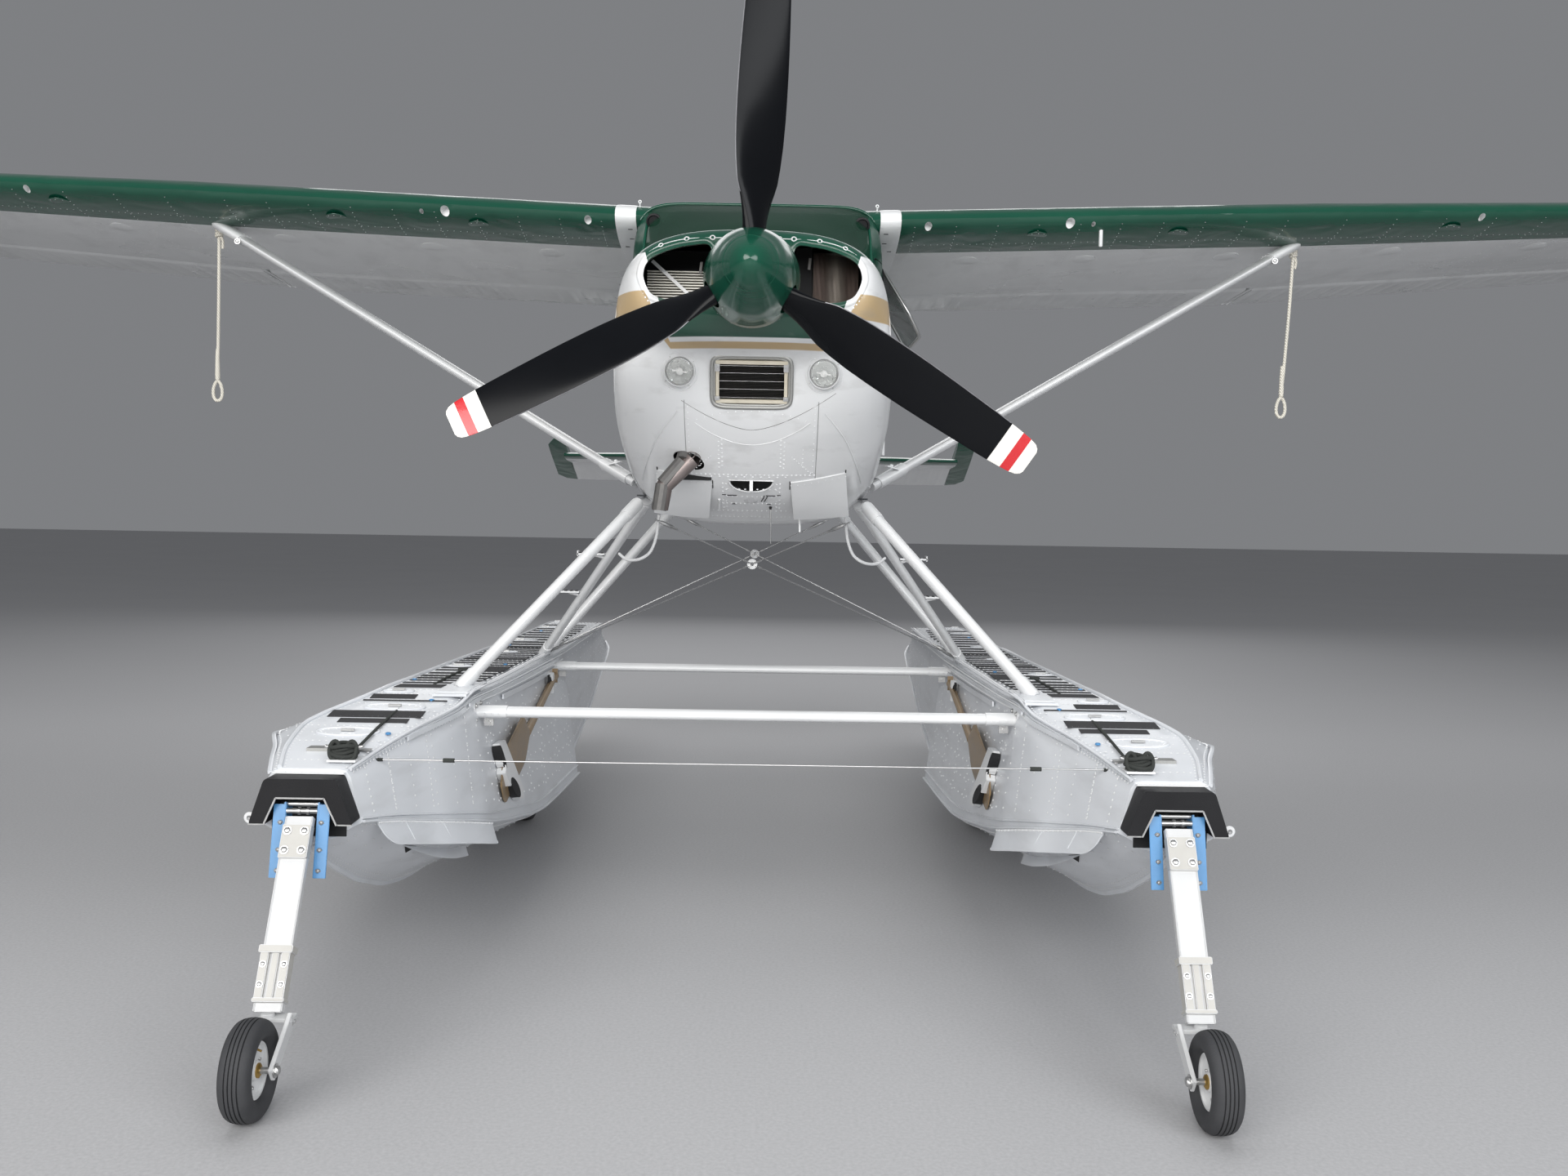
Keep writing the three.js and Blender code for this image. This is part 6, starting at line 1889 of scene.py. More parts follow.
def make_lift_struts():
    for name, side in SIDES:
        foot, head = np.array((side * 505.0, 1465, 1772)), np.array((side * 2560.0, 2050, 2975))
        along = unit(head - foot)
        strut = piece(
            f"lift_strut_{name}", Shape().strut(foot, head, 116, 43, (0, 1, 0), 40, sharp=1.15), TRIM_WHITE,
            smooth=60,
        )
        whole = [wing_ring(x, side, 0.5)[0] for x in np.linspace(2000, 3000, 5)]
        carve(
            strut, [Shape().loft(whole), Shape().loft(body_rings(CABIN_ROWS, CABIN_STATIONS, 0.5))],
            smooth=60,
        )
        stands_for(strut, "white_paint", f"wing_strut_{name}")
        fit = Shape()
        top = foot + along * (np.linalg.norm(head - foot) - 96)
        fit.strut(top - along * 130, top + along * 30, 126, 52, (0, 1, 0), 28, sharp=1.1)
        low = foot + along * 60
        fit.strut(low - along * 26, low + along * 110, 126, 54, (0, 1, 0), 28, sharp=1.1)
        for p in (low + along * 100, top - along * 120):
            for s in (-40, 0, 40):
                q = p + np.array((0, s, 0))
                fit.dome(q + np.cross(along, (0, 1, 0)) * 26.5, np.cross(along, (0, 1, 0)), 6, 4, 0, 8)
                fit.dome(q - np.cross(along, (0, 1, 0)) * 26.5, -np.cross(along, (0, 1, 0)), 6, 4, 0, 8)
        piece(f"strut_sleeves_{name}", fit, TRIM_WHITE, smooth=50)
        tabs = Shape()
        a = np.array((side * 620.0, 1440, 1850))
        tabs.bar(a, a + (side * -52, -10, 14), 40, 5, (0, 1, 0))
        tabs.bolt(a + (side * -30, -12, 14), (0, -1, 0.3), 5, 6)
        tabs.tube([head - along * 205 + (0, -60, -20), head - along * 205 + (0, 60, -20)], 7, 12, 1)
        tabs.bolt(head - along * 205 + (0, -66, -20), (0, -1, 0), 9, 8, 1)
        # Shackle that carries the tie-down rope.
        r = np.array((side * 2520.0, 2060, 2939))
        tabs.tube(
            [
                r + (-14, 0, 8), r + (-15, 0, -12), r + (-9, 0, -24), r + (0, 0, -27), r + (9, 0, -24),
                r + (15, 0, -12), r + (14, 0, 8),
            ],
            4.5, 10, 1,
        )
        tabs.tube([r + (-22, 0, 4), r + (22, 0, 4)], 5, 10, 1)
        piece(f"strut_fittings_{name}", tabs, [TRIM_WHITE, STEEL], smooth=50)


make_lift_struts()


# Tail
# x, nose y and z, back y and z, thickness as a share of the chord
STAB_ROWS = (
    (0, 5760, 2052, 6920, 2016, 0.07), (1500, 6060, 2050, 6900, 2018, 0.07),
    (1590, 6110, 2048, 6880, 2019, 0.06), (1650, 6230, 2044, 6800, 2020, 0.03),
)
# z, nose y, back y, thickness
FIN_ROWS = (
    (2060, 5300, 7480, 92), (2300, 5640, 7480, 88), (2560, 5910, 7460, 80), (3000, 6190, 7410, 66),
    (3380, 6400, 7340, 50), (3470, 6480, 7310, 36), (3520, 6640, 7230, 12),
)
# Station and height of the elevator's hinge
STAB_HINGE = (6500, 2022)
ELEVATOR_DROOP = math.radians(20)
RUDDER_HINGE = 6880


def linear_row(rows, at):
    r = np.array(rows, float)
    return [float(np.interp(at, r[:, 0], r[:, k])) for k in range(r.shape[1])]


def plane_ring(x, side, from_y=None, to_y=None, swell=0.0):
    _, nose_y, nose_z, back_y, back_z, thick = linear_row(STAB_ROWS, x)
    chord = back_y - nose_y
    a = math.atan2(nose_z - back_z, chord)
    t0 = 0 if from_y is None else max((from_y - nose_y) / chord, 0)
    t1 = 1 if to_y is None else (to_y - nose_y) / chord
    steps = (
        t0 + (t1 - t0) * (1 - np.cos(np.linspace(0, math.pi, 20))) / 2 if from_y is None
        else np.linspace(t0, t1, 14)
    )
    out = []
    for upper, ts in ((True, steps[::-1]), (False, steps[1:] if t0 == 0 else steps)):
        for t in ts:
            lift = swell * (1 if t0 + 0.03 < t < 0.985 else 0)
            u, v = t * chord, foil(t, thick, 0, upper) * chord + (lift if upper else -lift)
            out.append(
                (
                    side * x, nose_y + u * math.cos(a) + v * math.sin(a),
                    nose_z - u * math.sin(a) + v * math.cos(a),
                )
            )
    return out


def drooped(shape):
    c, s = math.cos(ELEVATOR_DROOP), math.sin(ELEVATOR_DROOP)
    hy, hz = STAB_HINGE
    shape.v = [(x, hy + (y - hy) * c + (z - hz) * s, hz - (y - hy) * s + (z - hz) * c) for x, y, z in shape.v]
    return shape


def make_tail():
    stations = np.linspace(3395.4, 6840, 46)
    cone = piece(
        "tail_skin", Shape().loft(body_rings(TAIL_ROWS, stations)), WHITE,
        hides=("tail_cone",),
    )
    cuts = [Shape().box(-300, 300, 6460, 6534, 1988, 2082)]
    cuts.append(
        Shape().loft(
            [plane_ring(x, s, None, 6472) for s, x in ((-1, 1500), (-1, 700), (1, 0), (1, 700), (1, 1500))]
        )
    )
    carve(cone, cuts)
    studs = Shape()
    for y in (3410, 3800, 4200, 4600, 5000, 5400, 5800, 6200):
        ring_rivets(studs, TAIL_ROWS, y, 26)
    for side in (-1, 1):
        rivet_line(studs, TAIL_ROWS, side, [(y, 2230 - (y - 3400) * 0.02) for y in np.arange(3420, 6100, 28)])
    piece("tail_rivets", studs, RIVET_HIGHLIGHT, smooth=80)

    plane = Shape()
    xs = [1500, 1200, 900, 600, 300]
    order = [(-1, x) for x in xs] + [(1, 0)] + [(1, x) for x in xs[::-1]]
    plane.loft(
        [plane_ring(x, s, None, 6470) for s, x in order], slot_at=lambda i, k: 1 if 14 <= k <= 24 else 0
    )
    piece("stabilizer_skin", plane, [TRIM_WHITE, GREEN], hides=("stabilizer",), smooth=40)
    elev = Shape()
    for side in (-1, 1):
        rings = []
        for x in np.linspace(170, 1500, 98):
            ring = plane_ring(x, side, 6503, None, 2.2 if from_rib(x) < 7 else 0)
            half = 23 - 4 * (x - 170) / 1330
            for t in np.linspace(1.42, 0.58, 9):
                hy = STAB_HINGE[0] - half * math.sin(t * math.pi / 2)
                hz = STAB_HINGE[1] + half * math.cos(t * math.pi / 2) * 0.93
                ring.append((side * x, hy, hz))
            rings.append(ring)
        elev.loft(rings)
        elev.loft([plane_ring(x, side, None, None) for x in (1506.5, 1540, 1590, 1620, 1640, 1650)], 1)
    elev.tube([(-1506, *STAB_HINGE), (1506, *STAB_HINGE)], 17, 20)
    piece("elevator_skin", drooped(elev), [TRIM_WHITE, GREEN], "elevator", 40, ("elevator",))
    tab = drooped(Shape().bar((-1050, 6880, 2030), (-400, 6880, 2030), 6, 4, (0, 0, 1)))
    piece("elevator_tab_horn", tab, STEEL, "elevator")

    def fin_ring(z, from_y=None, to_y=None, swell=0.0):
        _, nose_y, back_y, thick = linear_row(FIN_ROWS, z)
        chord = back_y - nose_y
        t0 = 0 if from_y is None else (from_y - nose_y) / chord
        t1 = 1 if to_y is None else (to_y - nose_y) / chord
        steps = (
            t0 + (t1 - t0) * (1 - np.cos(np.linspace(0, math.pi, 22))) / 2 if from_y is None
            else np.linspace(t0, t1, 14)
        )
        out = []
        for sign, ts in ((1, steps[::-1]), (-1, steps[1:] if from_y is None else steps)):
            for t in ts:
                lift = swell if t0 + 0.03 < t < 0.985 else 0
                out.append((sign * (foil(t, thick / chord, 0, True) * chord + lift), nose_y + t * chord, z))
        return out

    zs = [2062, 2120, 2200, 2300, 2430, 2560, 2700, 2850, 3000, 3200, 3380, 3430, 3470, 3500, 3520]
    fin = piece("fin_skin", Shape().loft([fin_ring(z, None, 6848) for z in zs]), GREEN, smooth=40)
    carve(fin, [Shape().loft(body_rings(TAIL_ROWS, stations, 0.5))], smooth=40)
    stands_for(fin, "green_paint", "fin")
    rudder = Shape()
    rings = []
    for z in np.concatenate((np.linspace(2082, 3380, 98), (3430, 3470, 3500, 3518))):
        ring = fin_ring(z, 6884, None, 2.0 if from_rib(z) < 7 and z < 3400 else 0)
        half = linear_row(FIN_ROWS, z)[3] * 0.5 * 0.62
        half = min(half, 25)
        for t in np.linspace(1.42, 0.58, 9):
            ring.append(
                (
                    half * math.cos(t * math.pi / 2),
                    RUDDER_HINGE - half * math.sin(t * math.pi / 2) * 0.95, z,
                )
            )
        rings.append(ring)
    rudder.loft(rings)
    rudder.bar((0, 6872, 2000), (0, 7318, 2040), 168, 39, (0, 0, 1))
    piece("rudder_skin", rudder, GREEN, "rudder", 40, ("rudder",))
    lamp = Shape().lathe([(2, 30), (14, 24), (18, 10), (19, -6)], (0, 7300, 2120), (0, 1, 0), 20)
    piece("tail_lamp", lamp, TRIM_WHITE, "rudder", 60)
    beacon = Shape().lathe(
        [(34, -6), (36, 4), (28, 12), (26, 44), (16, 56), (0.1, 60)], (0, 4300, 2620), (0, 0, 1), 28
    )
    piece(
        "beacon", beacon,
        [plain("beacon_red", (0.5, 0.02, 0.02), (0.7, 0.04, 0.03), 0.15, coat=0.5, scale=40)], smooth=60,
    )


make_tail()


# Float struts and wires
FLOAT_X = 1310
# name, foot, head, section chord and thickness
FLOAT_STRUTS = (
    ("front", (1070, 566, 985), (458, 1112, 1692), 66, 46),
    ("diagonal", (1015, 2150, 950), (434, 1215, 1700), 60, 40),
    ("rear", (1022, 2262, 945), (400, 2470, 1680), 66, 46),
)
# Where the bars end against the floats, and where the wires' fittings hang under them
SPREADER_END, WIRE_FITTING = 985, 940
# name, station and height
SPREADERS = (("front", 500, 919), ("rear", 2300, 878))
# name, head at the fuselage, foot on the other side's float
BRACES = (("front", (398, 1150, 1622), (1040, 2205, 940)), ("rear", (372, 2462, 1624), (1040, 2330, 940)))


def flip(p, side):
    return np.array((p[0] * side, p[1], p[2]), float)


def make_float_strut(name, side, kind, foot, head, chord, thick):
    """The bar, and a riveted sleeve on each end."""
    a, b = flip(foot, side), flip(head, side)
    along = unit(b - a)
    bar = Shape().strut(a + along * 8, b - along * 4, chord, thick, (0, 1, 0), 36, sharp=1.1)
    piece(
        f"{kind}_strut_{name}", bar, TRIM_WHITE, smooth=60,
        hides=(f"float_strut_{kind}_{name}",),
    )
    fit = Shape()
    for p, d in ((a, along), (b, -along)):
        fit.strut(p + d * 12, p + d * 92, chord + 7, thick + 7, (0, 1, 0), 28, sharp=1.05)
        for k in (30, 70):
            for s in (-1, 1):
                n = np.cross(along, (0, 1, 0)) * s
                fit.dome(p + d * k + n * (thick / 2 + 3), n, 6, 4, 0, 8)
    # Clevis at the foot: two plates, a pin with its nut, and the deck pad.
    if kind == "front":
        for s in (-1, 1):
            fit.bar(a + (0, s * 16, -26), a + along * 52 + (0, s * 16, 0), 44, 6, (1, 0, 0))
        fit.tube([a + (0, -30, 4), a + (0, 30, 4)], 9, 14, 1)
        fit.bolt(a + (0, -24, 4), (0, -1, 0), 11, 9, 1)
        fit.box(a[0] - 46, a[0] + 46, a[1] - 46, a[1] + 46, a[2] - 34, a[2] - 24)
        for dx in (-34, 34):
            for dy in (-34, 34):
                fit.bolt((a[0] + dx, a[1] + dy, a[2] - 24), (0, 0, 1), 6, 6, 1)
    piece(f"{kind}_strut_ends_{name}", fit, [TRIM_WHITE, STEEL], smooth=50)


def make_steps(name, side):
    """Steps on the diagonal strut, and the grab tube at its head."""
    more = Shape()
    a, b = flip(FLOAT_STRUTS[1][1], side), flip(FLOAT_STRUTS[1][2], side)
    for t in (0.42, 0.66):
        p = a + (b - a) * t
        more.bar(p + (side * 10, -20, 18), p + (side * 130, -20, 18), 54, 7, (0, 1, 0))
        more.bar(p + (side * 126, -20, 10), p + (side * 126, -20, 32), 54, 5, (0, 1, 0))
        for k in range(5):
            more.bar(
                p + (side * (24 + 24 * k), -44, 23), p + (side * (24 + 24 * k), 4, 23), 9, 3, (1, 0, 0), 2,
            )
        more.tube([p, p + (side * 60, -18, 16)], 8, 10)
    grab = [
        (384, 1190, 1640), (388, 1196, 1600), (398, 1215, 1541), (424, 1240, 1483), (472, 1270, 1452),
        (528, 1330, 1448), (566, 1380, 1470),
    ]
    more.tube(spline([flip(q, side) for q in grab], 26), 6.5, 10)
    piece(f"steps_{name}", more, [TRIM_WHITE, STEEL, STRIP], smooth=50, bevel=0)


def make_spreader(name, y, z):
    """The bar between the floats, its bolted ends and the fittings for the wires."""
    bar = Shape().strut((-SPREADER_END, y, z), (SPREADER_END, y, z), 66, 40, (0, 1, 0), 36, sharp=1.05)
    piece(
        f"{name}_spreader", bar, TRIM_WHITE, smooth=60,
        hides=(f"spreader_bar_{name}",),
    )
    ends = Shape()
    for s in (-1, 1):
        ends.strut((s * 870, y, z), (s * SPREADER_END, y, z), 74, 47, (0, 1, 0), 28, sharp=1.05)
        ends.bar((s * 978, y, z), (s * (992 if name == "front" else 990), y, z), 104, 74, (0, 1, 0))
        for dy in (-40, 40):
            for dz in (-26, 26):
                ends.bolt((s * 977, y + dy, z + dz), (-s, 0, 0), 6, 6, 1)
        for k in (-24, 0, 24):
            ends.dome((s * (920 + k), y - 37, z), (0, -1, 0), 5, 3, 0, 8)
        x = s * WIRE_FITTING
        ends.bar((x, y + 10, z - 20), (x, y + 10, z - 52), 34, 7, (1, 0, 0), 1)
        ends.tube([(x, y - 2, z - 40), (x, y + 22, z - 40)], 6, 10, 1)
    piece(f"{name}_spreader_ends", ends, [TRIM_WHITE, STEEL], smooth=50)


def make_brace(name, head, foot):
    """Two crossed wires with their turnbuckles, and the plate where they cross."""
    f = head[0] / (head[0] + foot[0])
    cross = np.array((0, head[1] + f * (foot[1] - head[1]), head[2] + f * (foot[2] - head[2])))
    wires = Shape()
    for side in (-1, 1):
        top, low = flip(head, side), flip(foot, -side)
        way = unit(low - top)
        wires.tube([top, low - way * 60], 3.0, 10)
        for p, d in ((top + way * 20, way), (low - way * 66, -way)):
            wires.tube(
                [p, p + d * 12, p + d * 14, p + d * 70, p + d * 74, p + d * 96],
                (5, 5, 8, 8, 4.5, 4.5), 12, 1,
            )
        wires.tube([cross + way * -52, cross + way * -34], 6, 10, 1)
        wires.tube([cross + way * 52, cross + way * 34], 6, 10, 1)
    piece(
        f"{name}_brace", wires, [WIRE, STEEL], smooth=60,
        hides=(f"brace_wires_{name}",),
    )
    plate = Shape().lathe([(22, -4.5), (22, 4.5), (8, 4.5), (8, -4.5)], cross, (0, 1, 0), 36, closed=True)
    for a in (0.6, -0.6, math.pi + 0.6, math.pi - 0.6):
        q = cross + 15 * np.array((math.cos(a), 0, math.sin(a)))
        plate.bolt(q + (0, -4.5, 0), (0, -1, 0), 4.5, 4, 1)
    piece(f"{name}_brace_plate", plate, [TRIM_WHITE, STEEL], smooth=50)


for name, side in SIDES:
    for strut_row in FLOAT_STRUTS:
        make_float_strut(name, side, *strut_row)
    make_steps(name, side)
for spreader_row in SPREADERS:
    make_spreader(*spreader_row)
for brace_row in BRACES:
    make_brace(*brace_row)


# Floats
# y, deck half width, deck z, slope start, outer shoulder z, chine half width, chine z, keel z
FLOAT_FORE = (
    (-342, 118, 866, 88, 853, 158, 702, 634),
    (-180, 168, 903, 124, 870, 208, 672, 540),
    (20, 230, 939, 138, 876, 268, 625, 449),
    (120, 270, 956, 112, 886, 307, 602, 405),
    (280, 312, 978, 55, 872, 350, 564, 351),
    (460, 322, 1000, 0, 850, 388, 520, 296),
    (900, 330, 990, 0, 838, 396, 435, 224),
    (1600, 330, 974, 0, 822, 402, 327, 180),
    (2550, 330, 950, 0, 798, 416, 288, 150),
)
FLOAT_AFT = (
    (2510, 329, 949, 0, 797, 350, 312, 226),
    (3500, 329, 934, 0, 784, 334, 452, 372),
    (4300, 312, 918, 10, 784, 306, 574, 505),
    (5000, 215, 852, 40, 778, 282, 676, 622),
    (5250, 165, 832, 50, 780, 230, 712, 668),
)
# Station of the step, and height of the wheel wells' roof
STEP_Y, WELL_TOP = 2550, 425
# Rows of rivets across the deck
DECK_ROWS = (
    -280, -125, 20, 112, 182, 272, 318, 392, 470, 625, 735, 830, 920, 1020, 1125, 1395, 1490, 1590, 1690,
    1810, 1910, 2010, 2110, 2210, 2310, 2405, 2520, 2700, 2860, 3020, 3180, 3340, 3500, 3660, 3820, 3980,
    4140, 4300, 4460, 4620, 4780, 4940, 5100,
)
# Non-skid strips: middle, width, and the ends counted towards the fuselage
DECK_STRIPS = (
    (70, 40, -40, 190), (141, 73, -90, 222), (355, 50, -12, 145), (575, 95, 18, 190), (690, 34, 12, 290),
    (785, 34, 12, 290), (875, 46, 15, 290), (965, 50, 12, 292), (1073, 46, 15, 290), (1260, 230, 170, 292),
    (1200, 40, 12, 150), (1306, 46, 12, 150), (1440, 44, 12, 290), (1540, 40, 12, 290), (1640, 40, 12, 290),
    (1750, 90, 12, 290), (1860, 40, 12, 290), (1960, 40, 12, 290), (2060, 40, 12, 290), (2160, 40, 12, 290),
    (2260, 40, 12, 290), (2360, 40, 12, 290), (2460, 90, 12, 290), (2640, 60, 0, 280), (2780, 60, 0, 280),
    (2940, 60, 0, 280), (3100, 60, 0, 280), (3260, 60, 0, 280), (3420, 60, 0, 280), (3580, 60, 0, 280),
    (3740, 60, 0, 270), (3900, 60, 0, 260), (4060, 60, 0, 250),
)
# Oval covers: middle, centre towards the fuselage, half width and half length
DECK_COVERS = (
    (-45, 25, 100, 38), (222, 105, 102, 36), (424, 65, 52, 20), (1360, 70, 52, 40), (2110, 120, 60, 30),
    (2860, 60, 90, 50), (3820, 40, 90, 50), (4520, 10, 80, 46),
)


def hull_points(row, grow=0.0):
    """Corners of a hull section as distance towards the fuselage and height."""
    _, deck, deck_z, flat, shoulder_z, chine, chine_z, keel_z = row
    low = (chine_z + keel_z) / 2 - 14
    return [
        (deck + grow, deck_z + grow), (-flat, deck_z + grow), (-deck - grow, shoulder_z + grow * 0.5),
        (-chine - grow, chine_z - grow), (-chine * 0.5, low - grow * 2), (0, keel_z - grow * 2),
        (chine * 0.5, low - grow * 2), (chine + grow, chine_z - grow),
    ]


def hull_section(row, side, parts=6):
    """The section with rounded deck edges and a gently hollow bottom."""
    p = [np.array(q, float) for q in hull_points(row)]
    out, slots = [], []
    for i, (a, b) in enumerate(zip(p, p[1:] + p[:1])):
        for t in np.linspace(0, 1, parts, endpoint=False):
            q = a + (b - a) * t
            if i in (3, 6):
                q[1] += 8 * math.sin(math.pi * t) * 0.4
            out.append(q)
            slots.append(i)
    soft = []
    for k, q in enumerate(out):
        if k % parts == 0 and slots[k] in (0, 2):
            before, after = out[k - 1], out[(k + 1) % len(out)]
            q = q * 0.5 + (before + after) * 0.25
        soft.append(q)
    return [(side * FLOAT_X - side * s, row[0], z) for s, z in soft]


def hull_row(y, aft=False):
    return read_rows(FLOAT_AFT if aft else FLOAT_FORE, [y])[0]


def hull_wall(y, side, f, inner=True, aft=False, out=0.0):
    """A point of the float's side wall: f is 0 at the deck edge and 1 at the chine."""
    row = hull_row(y, aft)
    p = [np.array(q, float) for q in hull_points(row)]
    a, b = (p[0], p[7]) if inner else (p[2], p[3])
    q = a + (b - a) * f
    n = np.array((-(b - a)[1], (b - a)[0]))
    n = unit(n) * (1 if inner else -1)
    if (n[0] > 0) != inner:
        n = -n
    q = q + n * out
    return np.array((side * FLOAT_X - side * q[0], y, q[1])), np.array((-side * n[0], 0, n[1]))


def hull_bottom(y, side, f, inner=True, aft=False, out=0.0):
    """A point of the bottom: f is 0 at the keel and 1 at the chine."""
    row = hull_row(y, aft)
    p = [np.array(q, float) for q in hull_points(row)]
    keel, mid, chine = p[5], p[6] if inner else p[4], p[7] if inner else p[3]
    q = keel + (mid - keel) * f * 2 if f < 0.5 else mid + (chine - mid) * (f - 0.5) * 2
    d = unit(chine - keel)
    n = np.array((d[1], -d[0]))
    if n[1] > 0:
        n = -n
    q = q + n * out
    return np.array((side * FLOAT_X - side * q[0], y, q[1])), np.array((-side * n[0], 0, n[1]))


def hull_deck(y, side, s, out=0.0, aft=False):
    """A point of the deck, s millimetres towards the fuselage from the float's middle."""
    row = hull_row(y, aft)
    z = row[2]
    if s < -row[3]:
        z += (row[4] - row[2]) * (s + row[3]) / (-row[1] + row[3])
    return np.array((side * FLOAT_X - side * s, y, z + out))


def make_float(name, side):
    cx = side * FLOAT_X
    fore_y = np.concatenate((np.linspace(-342, 460, 26), np.linspace(500, 2550, 42)))
    fore = [hull_section(r, side) for r in read_rows(FLOAT_FORE, fore_y)]
    aft = [hull_section(r, side) for r in read_rows(FLOAT_AFT, np.linspace(2510, 5250, 50))]
    hull = piece(f"hull_skin_{name}", Shape().loft(fore), SKIN, smooth=28)
    carve(hull, [Shape().loft(aft)], "UNION", 28)
    carve(hull, [Shape().box(cx - 222, cx + 222, STEP_Y + 15, 3060, 50, WELL_TOP, 0)], smooth=28)
    stands_for(hull, "white_paint", f"float_hull_{name}")

    # Flanges: gunwale, deck crease, double chine strip and keel.
    edge = Shape()
    ys = np.linspace(-340, STEP_Y, 60)
    rear = np.linspace(STEP_Y, 5240, 40)
    for inner in (True, False):
        for f, out, size in ((0.0, 3, 7.5), (0.035, 4, 4.5), (0.985, 6, 8.5), (0.925, 4, 5.5)):
            edge.tube([hull_wall(y, side, f, inner, out=out)[0] for y in ys], size, 6, flat=0.55)
        edge.tube([hull_wall(y, side, 0.0, inner, True, 3)[0] for y in rear], 5.5, 6, flat=0.55)
        edge.tube([hull_wall(y, side, 0.985, inner, True, 5)[0] for y in rear], 7, 6, flat=0.55)
    edge.tube([hull_deck(y, side, -hull_row(y)[3] - 3, 4) for y in ys], 7.5, 8)
    edge.tube([hull_deck(y, side, -hull_row(y, True)[3] - 3, 3, True) for y in rear], 6, 8)
    for first, last, s0, drop in ((-40, 330, 16, 0.065), (380, 2400, 12, 0.075), (900, 2500, 20, 0.13)):
        path = np.arange(first, last, 60.0)
        for a, b in zip(path[:-1], path[1:]):
            edge.bar(
                hull_wall(a, side, drop, True, out=s0 * 0.35)[0],
                hull_wall(b, side, drop, True, out=s0 * 0.35)[0], 7, s0, (1, 0, 0),
            )
    keel = [hull_bottom(y, side, 0.0, out=-2)[0] for y in np.linspace(-335, STEP_Y, 50)]
    for a, b in zip(keel[:-1], keel[1:]):
        edge.bar(a, b, 10, 26, (1, 0, 0))
    keel = [hull_bottom(y, side, 0.0, aft=True, out=-2)[0] for y in np.linspace(3065, 5240, 30)]
    for a, b in zip(keel[:-1], keel[1:]):
        edge.bar(a, b, 10, 24, (1, 0, 0))
    piece(f"hull_flanges_{name}", edge, SKIN, smooth=40)

    # Rivets in the rows that show from in front, and sparser ones behind.
    studs = Shape()

    def stud(found, r=5.6, h=3.4):
        p, n = found
        studs.dome(p, n, r, h)

    for inner in (True, False):
        for y in np.arange(-325, STEP_Y - 20, 17 if inner else 26):
            for f in (0.055, 0.095) if inner else (0.06,):
                stud(hull_wall(y, side, f, inner, out=0.5), 4.2)
        for y in np.arange(-325, STEP_Y - 20, 24):
            for f in (0.05, 0.12, 0.93):
                stud(hull_bottom(y, side, f, inner, out=0.5), 4.4)
        for y in np.concatenate((np.arange(-270, 500, 118), np.arange(560, 2500, 118))):
            for f in np.arange(0.14, 0.90, 0.115):
                stud(hull_wall(y, side, f, inner, out=0.3), 5.4)
            for f in np.arange(0.16, 0.88, 0.12):
                stud(hull_bottom(y, side, f, inner, out=0.3), 4.8)
        for y in (-150, 60, 320, 640, 980, 1330, 1680, 2040, 2390):
            for f in np.arange(0.13, 0.90, 0.055):
                stud(hull_wall(y, side, f, inner, out=0.3), 4.8)
        for y in np.arange(STEP_Y + 30, 5230, 34):
            for f in (0.06, 0.92):
                stud(hull_wall(y, side, f, inner, True, 0.5), 4.4)
        for y in np.arange(2750, 5200, 160):
            for f in np.arange(0.12, 0.90, 0.11):
                stud(hull_wall(y, side, f, inner, True, 0.3), 4.6)
        for y in np.arange(3090, 5200, 40):
            for f in (0.08, 0.9):
                stud(hull_bottom(y, side, f, inner, True, 0.5), 4.4)
    for y in np.arange(-330, 5230, 22):
        aft_part = y > STEP_Y
        row = hull_row(y, aft_part)
        for s in (row[1] - 14, -row[3] + 12, -row[3] - 18, -row[1] + 16):
            studs.dome(hull_deck(y, side, s, 0.4, aft_part), (0, 0, 1), 4.2, 2.0)
    for y in DECK_ROWS:
        aft_part = y > STEP_Y
        row = hull_row(y, aft_part)
        for s in np.arange(-row[3] + 26, row[1] - 24, 21):
            studs.dome(hull_deck(y, side, s, 0.3, aft_part), (0, 0, 1), 5.2, 2.4)
        for s in np.arange(-row[1] + 40, -row[3] - 30, 34):
            studs.dome(hull_deck(y, side, s, 0.3, aft_part), (0, 0, 1), 4.4, 2.0)
    piece(f"hull_rivets_{name}", studs, RIVET_HIGHLIGHT, smooth=80)

    make_spray_plates(name, side)
    make_deck(name, side)


